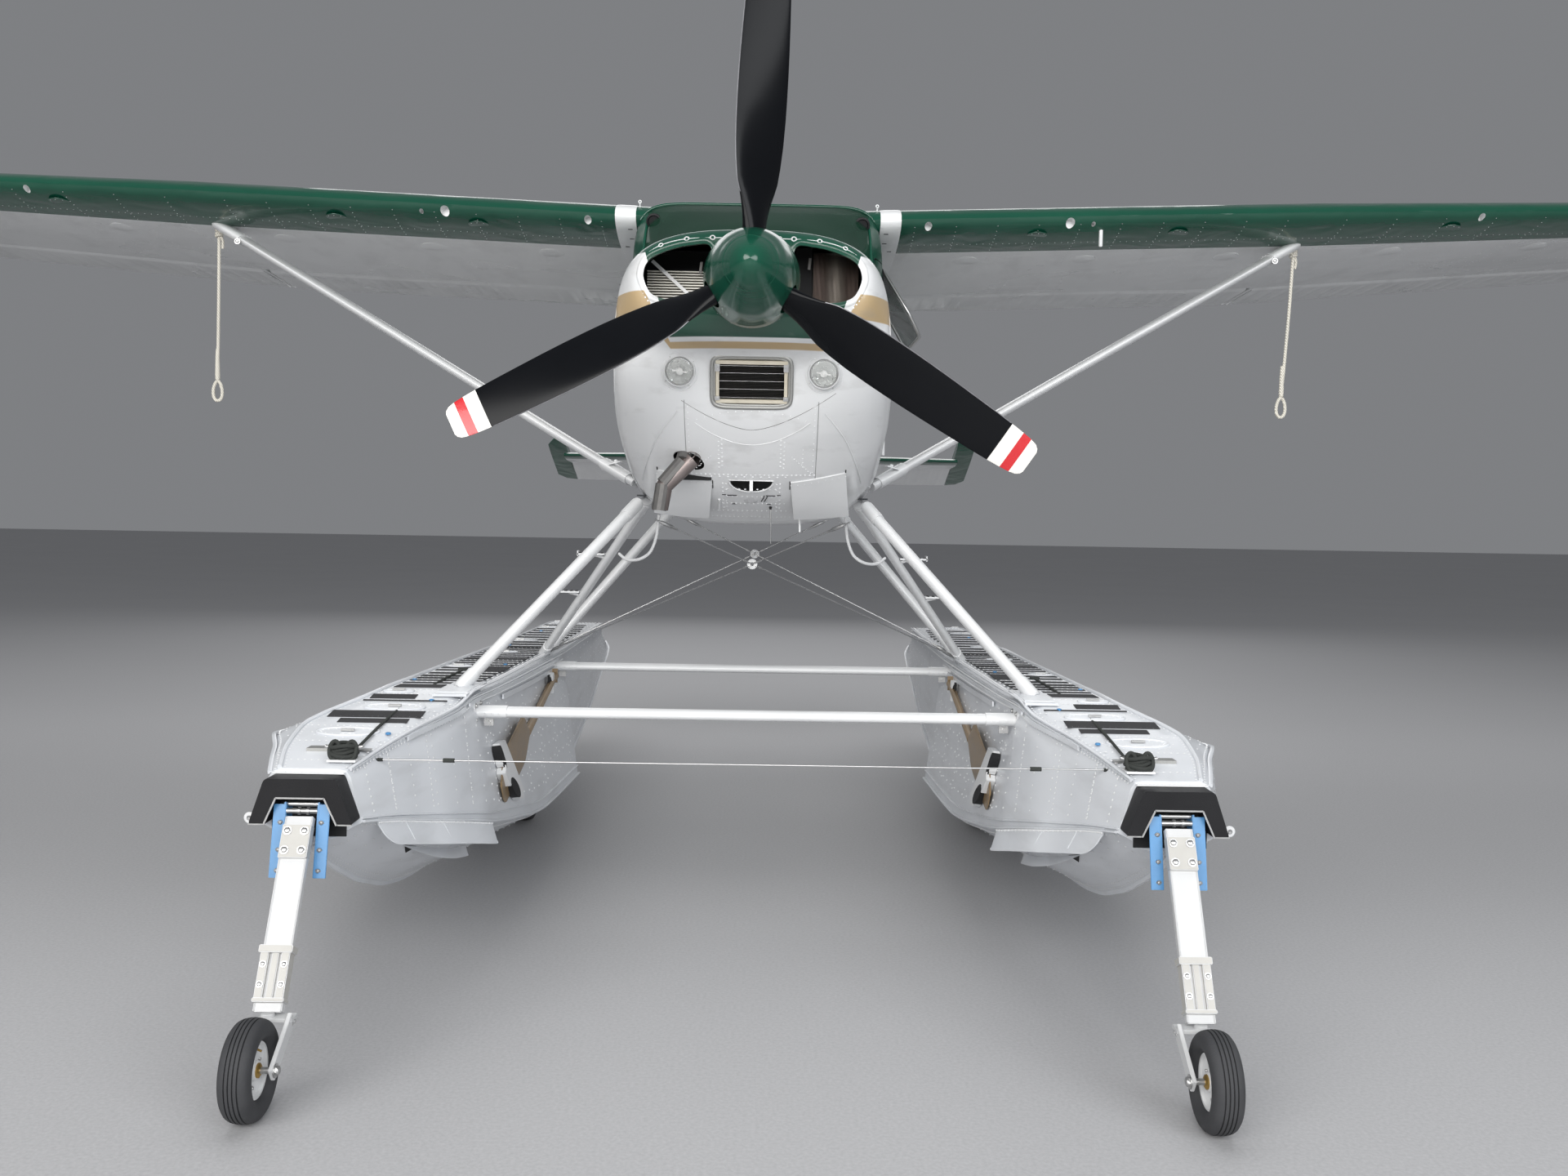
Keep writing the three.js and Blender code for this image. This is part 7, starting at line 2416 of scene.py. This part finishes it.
def make_spray_plates(name, side):
    """Plates that hang below the inner chine of the bow, and the short strip under them."""
    plate, hinge, gap = Shape(), Shape(), Shape()
    upper = []
    for y in np.concatenate((np.linspace(-262, -180, 9), np.linspace(-140, 448, 22), (456, 460))):
        share = math.sqrt(max(1 - (1 - min((y + 262) / 82, 1)) ** 2, 0.02))
        if y > 448:
            share *= 0.97 if y < 460 else 0.9
        base = hull_wall(y, side, 1.0, True)[0]
        top = base + (side * 2, 0, 12)
        tip = base + (-side * 27 * share, 0, -75 * share)
        upper.append([top, tip + (side * 3.5, 0, 0), tip, top + (-side * 3.5, 0, 0)])
        hinge.dome(base + (-side * 5, 0, -4), (-side, 0, 0.4), 4.2, 2)
    plate.loft(upper)
    low_bead = [ring[2] for ring in upper]
    plate.tube(low_bead, 2.6, 6)
    for k in range(len(upper) - 1):
        a, b = upper[k][3] + (-side * 4, 0, -14), upper[k + 1][3] + (-side * 4, 0, -14)
        hinge.tube([a, a + (b - a) * 0.86], 4.2, 8)
    for y in (-120, 90):
        top = hull_wall(y, side, 1.0, True, out=5)[0]
        tip = hull_wall(y, side, 1.0, True, out=31)[0] + (0, 26, -72)
        plate.tube([top, tip], 2.0, 6)
    strip = []
    for y in np.linspace(60, 700, 24):
        base, _ = hull_bottom(y, side, 0.62, True, out=3)
        t = (y - 60) / 640
        reach = 22 * math.sin(min(t * 2.4, 1) * math.pi / 2) * (1 - max((t - 0.9) / 0.1, 0) ** 2 * 0.8)
        tip = base + np.array((-side * reach, 0, -33 * math.sin(min(t * 2.4, 1) * math.pi / 2)))
        strip.append([base + (0, 0, 1.4), tip + (0, 0, 1.4), tip - (0, 0, 1.4), base - (0, 0, 1.4)])
    plate.loft(strip)
    corner = [hull_bottom(y, side, f, True, out=1.2)[0] for y, f in ((70, 0.62), (150, 0.62), (140, 0.52))]
    gap.loft([[q + (0, 0, d) for q in corner] for d in (-0.8, 0.8)])
    piece(f"spray_plates_{name}", plate, SKIN, smooth=40)
    piece(f"spray_hinge_{name}", hinge, RIVET_HIGHLIGHT, smooth=60)
    piece(f"spray_gap_{name}", gap, DARK)


def make_deck(name, side):
    strips, hatches, caps, pads = Shape(), Shape(), Shape(), Shape()
    for y, width, s0, s1 in DECK_STRIPS:
        aft_part = y > STEP_Y
        across = np.linspace(s0, s1, 6)
        rings = []
        for s in across:
            near, far = (hull_deck(y + d, side, s, 0.0, aft_part) for d in (-width / 2, width / 2))
            rings.append([near + (0, 0, 0.3), far + (0, 0, 0.3), far + (0, 0, 2.4), near + (0, 0, 2.4)])
        strips.loft(rings)
    for y, s, half_x, half_y in DECK_COVERS:
        aft_part = y > STEP_Y
        turn = turns(36)
        ring = [
            hull_deck(y + half_y * math.sin(t), side, s + half_x * math.cos(t), 2.5, aft_part) for t in turn
        ]
        hatches.loft([[q + (0, 0, d) for q in ring] for d in (-2, 1)])
        hatches.tube(ring, 4.5, 8, loop=True)
        for t in turn[::2]:
            q = hull_deck(
                y + (half_y - 11) * math.sin(t), side, s + (half_x - 13) * math.cos(t), 3.4, aft_part
            )
            caps.dome(q, (0, 0, 1), 4.4, 2.2)
        for t in turn[::3]:
            q = hull_deck(
                y + (half_y + 13) * math.sin(t), side, s + (half_x + 15) * math.cos(t), 0.4, aft_part
            )
            caps.dome(q, (0, 0, 1), 4.4, 2.0)
        knob = hull_deck(y, side, s, 4, aft_part)
        hatches.bar(knob + (-22, 0, 5), knob + (22, 0, 5), 9, 8, (0, 1, 0), 1)
    for y, s in ((-60, 160), (310, 210), (780, 30), (1450, 250), (2560, 60), (3540, 60)):
        pads.lathe([(9, 0), (9, 5), (5, 7), (0.1, 7)], hull_deck(y, side, s, 0.5, y > STEP_Y), (0, 0, 1), 16)
    # The seam of the deck panels by the strut and the pad the strut stands on.
    seam = [hull_deck(304, side, s, 2.0) for s in np.linspace(-27, 265, 8)]
    strips.tube(seam, 3.0, 6)
    base = hull_deck(560, side, 262, 0)
    hatches.box(base[0] - 52, base[0] + 52, 400, 640, base[2] - 4, base[2] + 5)
    hatches.box(base[0] - 60, base[0] + 60, 350, 700, base[2] - 6, base[2] + 2.5)
    for dy in np.arange(-205, 130, 26):
        for dx in (-54, 54):
            caps.dome((base[0] + dx, base[1] + dy, base[2] + 2.5), (0, 0, 1), 4.4, 2.2)
    piece(f"deck_strips_{name}", strips, STRIP)
    piece(f"deck_hatches_{name}", hatches, [SKIN, STEEL], smooth=50)
    piece(f"hatch_screws_{name}", caps, RIVET_HIGHLIGHT, smooth=80)
    piece(f"pump_caps_{name}", pads, BLUE, smooth=50)

    # Bow cleat with its coiled rope, the dark rope to the strut and the bow eye.
    cleat, coil = Shape(), Shape()
    at = hull_deck(-282, side, 86, 0.5)
    cleat.box(at[0] - 44, at[0] + 44, at[1] - 34, at[1] + 34, at[2], at[2] + 7)
    block = hull_deck(-186, side, -16, 0.5)
    cleat.box(block[0] - 36, block[0] + 36, block[1] - 30, block[1] + 30, block[2] - 8, block[2] + 3, 2)
    for dx in (-16, 16):
        cleat.tube([at + (dx, 0, 4), at + (dx * 0.9, 0, 34)], 7, 12, 1)
    cleat.tube(
        [at + (-58, 0, 44), at + (-30, 0, 37), at + (30, 0, 37), at + (58, 0, 44)], (5, 8, 8, 5), 12, 1
    )
    for dx in (-24, 24):
        for dy in (-17, 17):
            cleat.bolt(at + (dx, dy, 6), (0, 0, 1), 4, 4, 1)
    piece(f"bow_cleat_{name}", cleat, [TRIM_WHITE, STEEL, DULL], smooth=50)
    for k in range(5):
        turn = turns(26)
        lift, grow = 12 + 8.5 * k, 30 + 5 * math.sin(k * 1.7)
        coil.tube(
            [
                at + (grow * 1.15 * math.cos(t), grow * math.sin(t), lift + 4 * math.sin(2 * t + k))
                for t in turn
            ],
            6.5, 8, loop=True,
        )
    for sign in (-1, 1):
        turn = np.linspace(0, 2 * math.pi, 20, endpoint=False)
        coil.tube(
            [
                at + (sign * (26 + 15 * math.cos(t)), -14 + 10 * math.sin(t), 34 + 26 * math.sin(t))
                for t in turn
            ],
            6.5, 8, loop=True,
        )
    piece(f"cleat_rope_{name}", coil, ROPE_OLD, smooth=60)
    a = at + (-side * 20, 30, 22)
    b = np.array((side * 1156, 1050, 1003.0))
    line = spline([a, a * 0.7 + b * 0.3 + (0, 0, 28), a * 0.3 + b * 0.7 + (0, 0, 24), b], 30)
    rope = Shape().tube(line, 5, 10)
    rope.tube(
        [b + (16 * math.cos(t), 16 * math.sin(t) + 4, 2) for t in turns(22)], 5, 8,
        loop=True,
    )
    piece(f"deck_rope_{name}", rope, ROPE_OLD, smooth=60)
    eye = Shape()
    q = np.array((side * 1500, -300, 704.0))
    eye.bar(q + (-side * 60, 6, 8), q, 30, 7, (0, 1, 0))
    eye.lathe(
        [(15, -4), (18, 0), (15, 4), (8, 4), (8, -4)], q + (side * 8, 0, -2), (0, 1, 0), 24, closed=True
    )
    eye.tube([q + (side * 6, -12, -2), q + (side * 6, 12, -2)], 4, 8, 1)
    piece(f"bow_eye_{name}", eye, [TRIM_WHITE, STEEL], smooth=50)


for name, side in SIDES:
    make_float(name, side)


def make_bow_cable():
    cable = Shape()
    a, b = np.array((-1189.0, -200, 869)), np.array((1198.0, -200, 870))
    cable.tube([a, b], 2.6, 10)
    for s in (-1, 1):
        cable.tube([(s * 905, -200, 869.5), (s * 940, -200, 869.5)], 7, 12, 1)
        end = a if s < 0 else b
        cable.tube([end + (-s * 60, 0, 0), end + (-s * 10, 0, 0)], 5.5, 12, 1)
        cable.lathe([(9, -4), (13, 0), (9, 4), (5, 4), (5, -4)], end, (0, 1, 0), 20, 1, closed=True)
    piece("bow_cable", cable, [WIRE, ROPE_OLD], smooth=60)
    for name, side in SIDES:
        lug = Shape()
        lug.bar((side * 1192, -200, 868), (side * 1174, -192, 898), 26, 6, (0, 1, 0))
        lug.bar((side * 1165, -200, 899), (side * 1205, -200, 899), 30, 6, (0, 1, 0))
        piece(f"cable_lug_{name}", lug, STEEL, bevel=1)


make_bow_cable()


def make_paddles():
    # side, grip, end of the shaft and tip as station and height on the inner wall
    for name, side, high, low, tip in (
        ("left", 1, (2040, 850), (1240, 716), (640, 618)),
        ("right", -1, (2100, 850), (1262, 716), (640, 620)),
    ):

        def at(y, z, out):
            p = hull_points(hull_row(y))
            return hull_wall(y, side, (p[0][1] - z) / (p[0][1] - p[7][1]), True, out=out)

        wood = Shape()
        a, b = at(*high, 18)[0], at(*low, 18)[0]
        wood.tube([a, a * 0.96 + b * 0.04, a * 0.5 + b * 0.5, b], (21, 16, 15.5, 17), 18)
        rows = []
        for t in np.linspace(0, 1, 30):
            y, z = low[0] + (tip[0] - low[0]) * t, low[1] + (tip[1] - low[1]) * t
            half = 16 + 92 * math.sin(min(t / 0.17, 1) * math.pi / 2) ** 1.4
            if t > 0.8:
                half *= math.sqrt(max(1 - ((t - 0.8) / 0.2) ** 2, 0.02))
            thick = 13 * (1 - t) ** 1.2 + 4.5
            centre, n = at(y, z, 16)
            up = unit((0, low[1] - tip[1], low[0] - tip[0])) * (1, -1, 1)
            rows.append(
                [
                    centre + up * half * math.cos(u) + n * thick * math.sin(u)
                    for u in turns(24)
                ]
            )
        wood.loft(rows)
        end = at(*high, 18)[0] - (b - a) * 0.01
        wood.bar(end + (0, -6, -32), end + (0, 8, 32), 26, 28, (0, 1, 0))
        piece(f"paddle_{name}", wood, WOOD, smooth=60)

        # White holder across the blade, the slots beside it, painted near black as shade, and the clip for
        # the shaft.
        holder, slots = Shape(), Shape()

        def patch(shape, outline, out, depth):
            rings = []
            for d in (out - depth, out):
                rings.append([at(y, z, d)[0] for y, z in outline])
            shape.loft(rings)

        def leaf(y0, z0, y1, z1, half, count=18):
            way = unit((y1 - y0, z1 - z0))
            across = np.array((-way[1], way[0]))
            middle, reach = np.array(((y0 + y1) / 2, (z0 + z1) / 2)), math.hypot(y1 - y0, z1 - z0) / 2
            turn = turns(count)
            return [
                tuple(
                    middle + way * reach * math.copysign(abs(math.cos(t)) ** 0.8, math.cos(t))
                    + across * half * math.sin(t)
                )
                for t in turn
            ]

        patch(
            holder, [(738, 772), (990, 534), (962, 500), (880, 512), (742, 600), (640, 700), (628, 776)],
            31, 29,
        )
        patch(slots, leaf(622, 768, 700, 655, 20), 32.5, 30)
        patch(slots, leaf(752, 612, 905, 528, 28), 32.5, 30)
        patch(holder, [(640, 662), (700, 600), (730, 622), (668, 690)], 37, 36)
        for y, z in (
            (1004, 560), (1010, 530), (1040, 520), (1070, 545), (1100, 530), (560, 800), (585, 820),
            (600, 790),
        ):
            p, n = at(y, z, 0.4)
            holder.dome(p, n, 6, 3)
        clip, n = at(high[0] * 0.88 + low[0] * 0.12, high[1] * 0.88 + low[1] * 0.12, 14)
        holder.bar(clip + (0, -12, 40), clip + (0, 12, -46), 46, 30, (0, 1, 0))
        slots.tube([clip + n * 4 + (0, -70, 30), clip + n * 4 + (0, -30, 8)], 7, 8)
        slots.bar(clip + n * 4 + (0, -84, 44), clip + n * 4 + (0, -84, 10), 30, 8, (0, 1, 0))
        piece(f"paddle_holder_{name}", holder, TRIM_WHITE, bevel=2)
        piece(f"holder_slots_{name}", slots, DARK)


make_paddles()


# Landing gear
def make_bow_and_nose_gear(name, side):
    cx = side * FLOAT_X
    outer = [(-155, 712), (155, 712), (107, 850), (-107, 850)]
    bumper = Shape().loft([[(cx + s, y, z) for s, z in rounded(outer, 12, 4)] for y in (-430, -337)])
    block = piece(f"bumper_{name}", bumper, RUBBER, smooth=40)
    slot = [(-118, 690), (118, 690), (71, 793), (-71, 793)]
    carve(block, [Shape().loft([[(cx + s, y, z) for s, z in slot] for y in (-500, -300)])], smooth=40)
    stands_for(block, "bumper_rubber", f"bow_bumper_{name}")
    lining = Shape()
    for a, b in (((-108.5, 712), (-71.5, 793)), ((-71.5, 793), (71.5, 793)), ((71.5, 793), (108.5, 712))):
        lining.bar((cx + a[0], -432, a[1]), (cx + b[0], -432, b[1]), 3.2, 5, (0, 1, 0))
    for s in (-1, 1):
        lining.bar((cx + s * 154, -431, 713.5), (cx + s * 111, -431, 713.5), 3.2, 4, (0, 1, 0))
    lining.bar((cx - 108, -342, 854), (cx + 108, -342, 854), 30, 5, (0, 1, 0), 1)
    for k in range(9):
        lining.dome((cx - 98 + 24.5 * k, -350, 856.5), (0, -0.3, 1), 4.6, 3, 1)
    piece(f"bumper_edging_{name}", lining, [STEEL, TRIM_WHITE])
    # A near-black plate painted as shade at the back of the recess behind the leg, and the tubes the leg
    # turns on.
    inside, steel, blue, leg = Shape(), Shape(), Shape(), Shape()
    inside.box(cx - 112, cx + 112, -350, -343.5, 660, 796)
    piece(f"bumper_recess_{name}", inside, DARK)
    top, foot = np.array((cx, -423.6, 735.0)), np.array((cx, -698, 244.0))
    leg.bar(top, foot, 82, 20, (1, 0, 0))
    for s in (-1, 1):
        leg.bar(top + (s * 38, 0, 0), foot + (s * 38, 0, 0), 5, 27, (1, 0, 0))
    a, b = np.array((cx, -440.0, 713)), np.array((cx, -489.0, 625))
    leg.bar(a, b, 84, 34, (1, 0, 0), 1)
    along = unit(b - a)
    face = front_of(along)
    for k in (20, 78):
        for dx in (-25, 25):
            steel.bolt(a + along * k + (dx, 0, 0) + face * 17, face, 9, 8)
    c, d = np.array((cx, -614.8, 393.6)), np.array((cx, -683.7, 269.3))
    for dx in (-30, 0, 30):
        leg.bar(c + (dx, 0, 0), d + (dx, 0, 0), 24 if dx else 20, 44 if dx else 36, (1, 0, 0), 1)
    along2 = unit(d - c)
    face2 = front_of(along2)
    leg.bar(c - along2 * 12 + face2, c + along2 * 10 + face2, 96, 50, (1, 0, 0), 1)
    leg.bar(d - along2 * 8 + face2, d + along2 * 4 + face2, 90, 48, (1, 0, 0), 1)
    for k in (42, 98):
        for dx in (-30, 30):
            steel.bolt(c + along2 * k + (dx, 0, 0) + face2 * 22, face2, 6.5, 6)
            steel.bolt(c + along2 * k + (dx, 0, 0) - face2 * 22, -face2, 6.5, 6)
    piece(
        f"nose_leg_skin_{name}", leg, [LEG_WHITE, CLAMP], hides=(f"nose_leg_{name}",),
        bevel=2.2,
    )
    for s in (-1, 1):
        blue.bar((cx + s * 50, -380, 770), (cx + s * 50, -431, 560), 60, 6, (0, 1, 0))
        blue.bar((cx + s * 65, -407, 770), (cx + s * 65, -458, 560), 6, 38, (0, 1, 0))
        for t in (0.25, 0.62, 0.9):
            steel.bolt((cx + s * 61, -410 - 51 * t, 770 - 210 * t), (0, -1, -0.25), 5.5, 5)
    piece(f"nose_rails_{name}", blue, BLUE, bevel=1.2)
    steel.tube([(cx - 46, -408, 750), (cx + 46, -408, 750)], 8, 20)
    steel.tube([(cx - 46, -392, 768), (cx + 46, -392, 768)], 8, 16)
    for s in (-12, 14):
        steel.tube([(cx + s, -408, 750), (cx + s + 8, -408, 750)], 11, 20)
    piece(f"nose_leg_bolts_{name}", steel, STEEL, smooth=50)
    # Caster fork and its wheel.
    arm = cx - side * 64
    fork, bits = Shape(), Shape()
    fork.lathe([(19, 224), (19, 243.4), (12, 243.4)], (cx, -700, 0), (0, 0, 1), 28)
    fork.box(*sorted((arm - side * 8, cx + side * 26)), -719, -670, 222, 234)
    fork.bar((arm, -694, 230), (arm, -854, 128.5), 12, 42, (1, 0, 0))
    piece(
        f"fork_skin_{name}", fork, LEG_WHITE, f"nose_fork_{name}", 45,
        (f"nose_fork_{name}",), 1.6,
    )
    bits.tube([(arm - side * 14, -840, 137.5), (cx + side * 40, -840, 137.5)], 9, 18)
    bits.bolt((arm - side * 6, -840, 137.5), (-side, 0, 0), 13, 12)
    bits.bolt((cx, -700, 236), (0, 0, 1), 9, 6)
    for dy in (-686, -706):
        bits.bolt((arm - side * 2, dy + 4, 214), (-side, 0, 0), 5, 5)
    piece(f"fork_bolts_{name}", bits, STEEL, f"nose_fork_{name}", 50)
    wheel_pieces(
        f"nose_wheel_{name}", f"nose_wheel_{name}", (cx, -840, 137.5), 137.5, 86, 73,
        (f"nose_wheel_{name}",),
    )


def tyre_profile(radius, width, rim):
    """A closed section: rounded walls, and grooves cut round the tread."""
    half = width / 2
    crown = []
    tread = half * 0.66
    for k in range(5):
        a = -tread + 2 * tread * k / 5
        b = a + 2 * tread / 5
        for s, down in ((a + 2, 0), (b - 2, 0), (b - 1.2, 5), (b + 1.2, 5)):
            if k == 4 and down:
                continue
            crown.append((radius - down - 9 * (s / tread) ** 2 * 0.55, s))
    wall = [
        (rim + 2, -half * 0.42), (rim + 8, -half * 0.72), (rim + (radius - rim) * 0.30, -half * 0.95),
        (rim + (radius - rim) * 0.52, -half), (rim + (radius - rim) * 0.74, -half * 0.94),
        (radius - 9, -half * 0.80),
    ]
    other = [(r, -s) for r, s in wall[::-1]]
    return wall + crown + other


def wheel_pieces(name, body, centre, radius, width, rim, hides):
    profile = tyre_profile(radius, width, rim)
    tyre = Shape().lathe(profile, centre, (1, 0, 0), 56, closed=True)
    piece(f"{name}_tyre", tyre, TYRE, body, 40, hides)
    disc = Shape()
    half = width * 0.21
    disc.lathe(
        [
            (rim + 3, -half - 6), (rim + 3, half + 6), (rim - 4, half + 6), (rim - 8, half - 2),
            (26, half - 12), (26, half + 4), (12, half + 6), (12, -half - 6), (26, -half - 4),
            (26, -half + 12), (rim - 8, -half + 2), (rim - 4, -half - 6),
        ],
        centre, (1, 0, 0), 48, closed=True,
    )
    piece(f"{name}_rim", disc, TRIM_WHITE, body, 40)
    bits, holes = Shape(), Shape()
    for k in range(6):
        t = k * math.pi / 3 + 0.3
        at = np.array(centre) + (0, 42 * math.cos(t) * rim / 66, 42 * math.sin(t) * rim / 66)
        for s in (-1, 1):
            bits.bolt(at + (s * (half - 8), 0, 0), (s, 0, 0), 4.5, 5)
        t += math.pi / 6
        at = np.array(centre) + (0, 46 * math.cos(t) * rim / 66, 46 * math.sin(t) * rim / 66)
        for s in (-1, 1):
            holes.lathe([(8, 0), (8, 1), (0.1, 1)], at + (s * (half - 9), 0, 0), (s, 0, 0), 16)
    for s in (-1, 1):
        bits.lathe(
            [(20, half + 2), (20, half + 9), (14, half + 13), (0.1, half + 13)], centre, (s, 0, 0), 28, 1
        )
    bits.tube(
        [np.array(centre) + (half * 1.1, 0, rim - 14), np.array(centre) + (half * 1.1 + 14, 0, rim - 20)],
        3, 8, 1,
    )
    piece(f"{name}_nuts", bits, [STEEL, BRASS], body, 50)
    # Near-black discs stand for the holes in the wheel's disc: painted shade.
    piece(f"{name}_holes", holes, DARK, body)


# Station, radius, width and half track of the twin main wheels
MAIN_WHEEL = (2775, 185, 118, 106)


def make_main_gear(name, side):
    cx = side * FLOAT_X
    y, r, w, half_track = MAIN_WHEEL
    leg = Shape()
    leg.lathe([(62, -24), (62, 24), (36.8, 24), (36.8, -24)], (cx, y, r), (1, 0, 0), 48, closed=True)
    leg.bar((cx, y + 84, r + 36), (cx, 2975, WELL_TOP + 24), 44, 88, (1, 0, 0))
    arm = piece(f"main_arm_{name}", leg, STEEL, smooth=40)
    carve(arm, [Shape().box(cx - 90, cx + 90, 2500, 3300, WELL_TOP - 1, 700)], smooth=40)
    stands_for(arm, "gear_steel", f"main_leg_{name}")
    for s in (-1, 1):
        wheel_pieces(
            f"main_wheel_{name}_{'in' if s < 0 else 'out'}", f"main_wheels_{name}",
            (cx + s * half_track, y, r), r, w, 90, (f"main_wheels_{name}",) if s < 0 else (),
        )
    axle = Shape().lathe(
        [(36, -half_track - 30), (36, half_track + 30), (15, half_track + 30), (15, -half_track - 30)],
        (cx, y, r), (1, 0, 0), 40, closed=True,
    )
    piece(f"main_axle_{name}", axle, STEEL, f"main_wheels_{name}", 40)
    blade = Shape()
    outline = rounded([(5300, 700), (5330, 640), (5560, 650), (5640, 690), (5560, 780), (5330, 800)], 30)
    blade.loft([[(cx + x, a, b) for a, b in outline] for x in (-6, 6)])
    for z in (672, 700, 728, 756):
        blade.bar((cx, 5340, z), (cx, 5570, z), 15, 5, (1, 0, 0))
    blade.tube([(cx, 5296, 690), (cx, 5296, 830)], 22, 24)
    blade.bar((cx - 60, 5296, 826), (cx + 60, 5296, 826), 16, 8, (0, 1, 0))
    piece(
        f"water_rudder_skin_{name}", blade, TRIM_WHITE, f"water_rudder_{name}", 45,
        (f"water_rudder_{name}",), 0,
    )
    lugs = Shape()
    for z in (715, 790):
        lugs.box(cx - 16, cx + 16, 5225, 5273, z - 8, z + 8)
    piece(f"stern_lugs_{name}", lugs, STEEL, bevel=2)


for name, side in SIDES:
    make_bow_and_nose_gear(name, side)
    make_main_gear(name, side)


# Stage
def make_stage():
    floor = Finish("pale_floor", 0.45)
    speck = floor.noise(85, 6)
    broad = floor.noise(0.6, 3)
    mat = floor.done(
        floor.mix(speck, (0.34, 0.34, 0.35), (0.50, 0.50, 0.51)), broad * 0.15 + 0.5, speck * 0.0008
    )
    bpy.ops.mesh.primitive_plane_add(size=120, location=(0, 0, 0))
    ground = bpy.context.object
    ground.name = "floor"
    ground.data.materials.append(mat)
    world = bpy.context.scene.world or bpy.data.worlds.new("world")
    bpy.context.scene.world = world
    world.use_nodes = True
    back = world.node_tree.nodes["Background"]
    back.inputs[0].default_value = (0.21, 0.215, 0.225, 1)
    back.inputs[1].default_value = 1.0
    bpy.context.scene.view_settings.view_transform = "Standard"
    # place, size, power and tint of each light
    for where, size, power, tint in (
        ((-3.5, -13.5, 5.5), (12, 6), 1450, (1.0, 0.99, 0.97)),
        ((5.5, -11.0, 4.5), (6, 5), 480, (0.96, 0.98, 1.0)),
        ((0, -1.0, 9.5), (14, 10), 520, (1.0, 1.0, 1.0)),
        ((0, 11.0, 6.0), (12, 6), 300, (1.0, 1.0, 1.0)),
    ):
        data = bpy.data.lights.new("soft", "AREA")
        data.shape, data.size, data.size_y, data.energy, data.color = "RECTANGLE", *size, power, tint
        lamp = bpy.data.objects.new("soft", data)
        bpy.context.scene.collection.objects.link(lamp)
        lamp.location = where
        lamp.visible_glossy = where[2] < 9
        lamp.rotation_mode = "QUATERNION"
        lamp.rotation_quaternion = (Vector((0, -1.0, 1.2)) - Vector(where)).to_track_quat("-Z", "Y")


make_stage()

CARRIED = {
    "white_paint": TRIM_WHITE, "green_paint": GREEN, "engine_metal": CAST, "cooler_metal": DULL,
    "black_paint": BLACK, "panel_black": DARK, "window": GLASS, "seat_leather": LEATHER,
    "bumper_rubber": RUBBER, "tyre": TYRE, "gear_steel": STEEL, "rope": ROPE, "wire_steel": WIRE,
}
slots = {p["node"]: p["material_slot"] for p in frame["record"]["subparts"]}
for node, obj in frame["nodes"].items():
    if not obj.hide_render:
        obj.data.materials.clear()
        obj.data.materials.append(CARRIED[slots[node]])
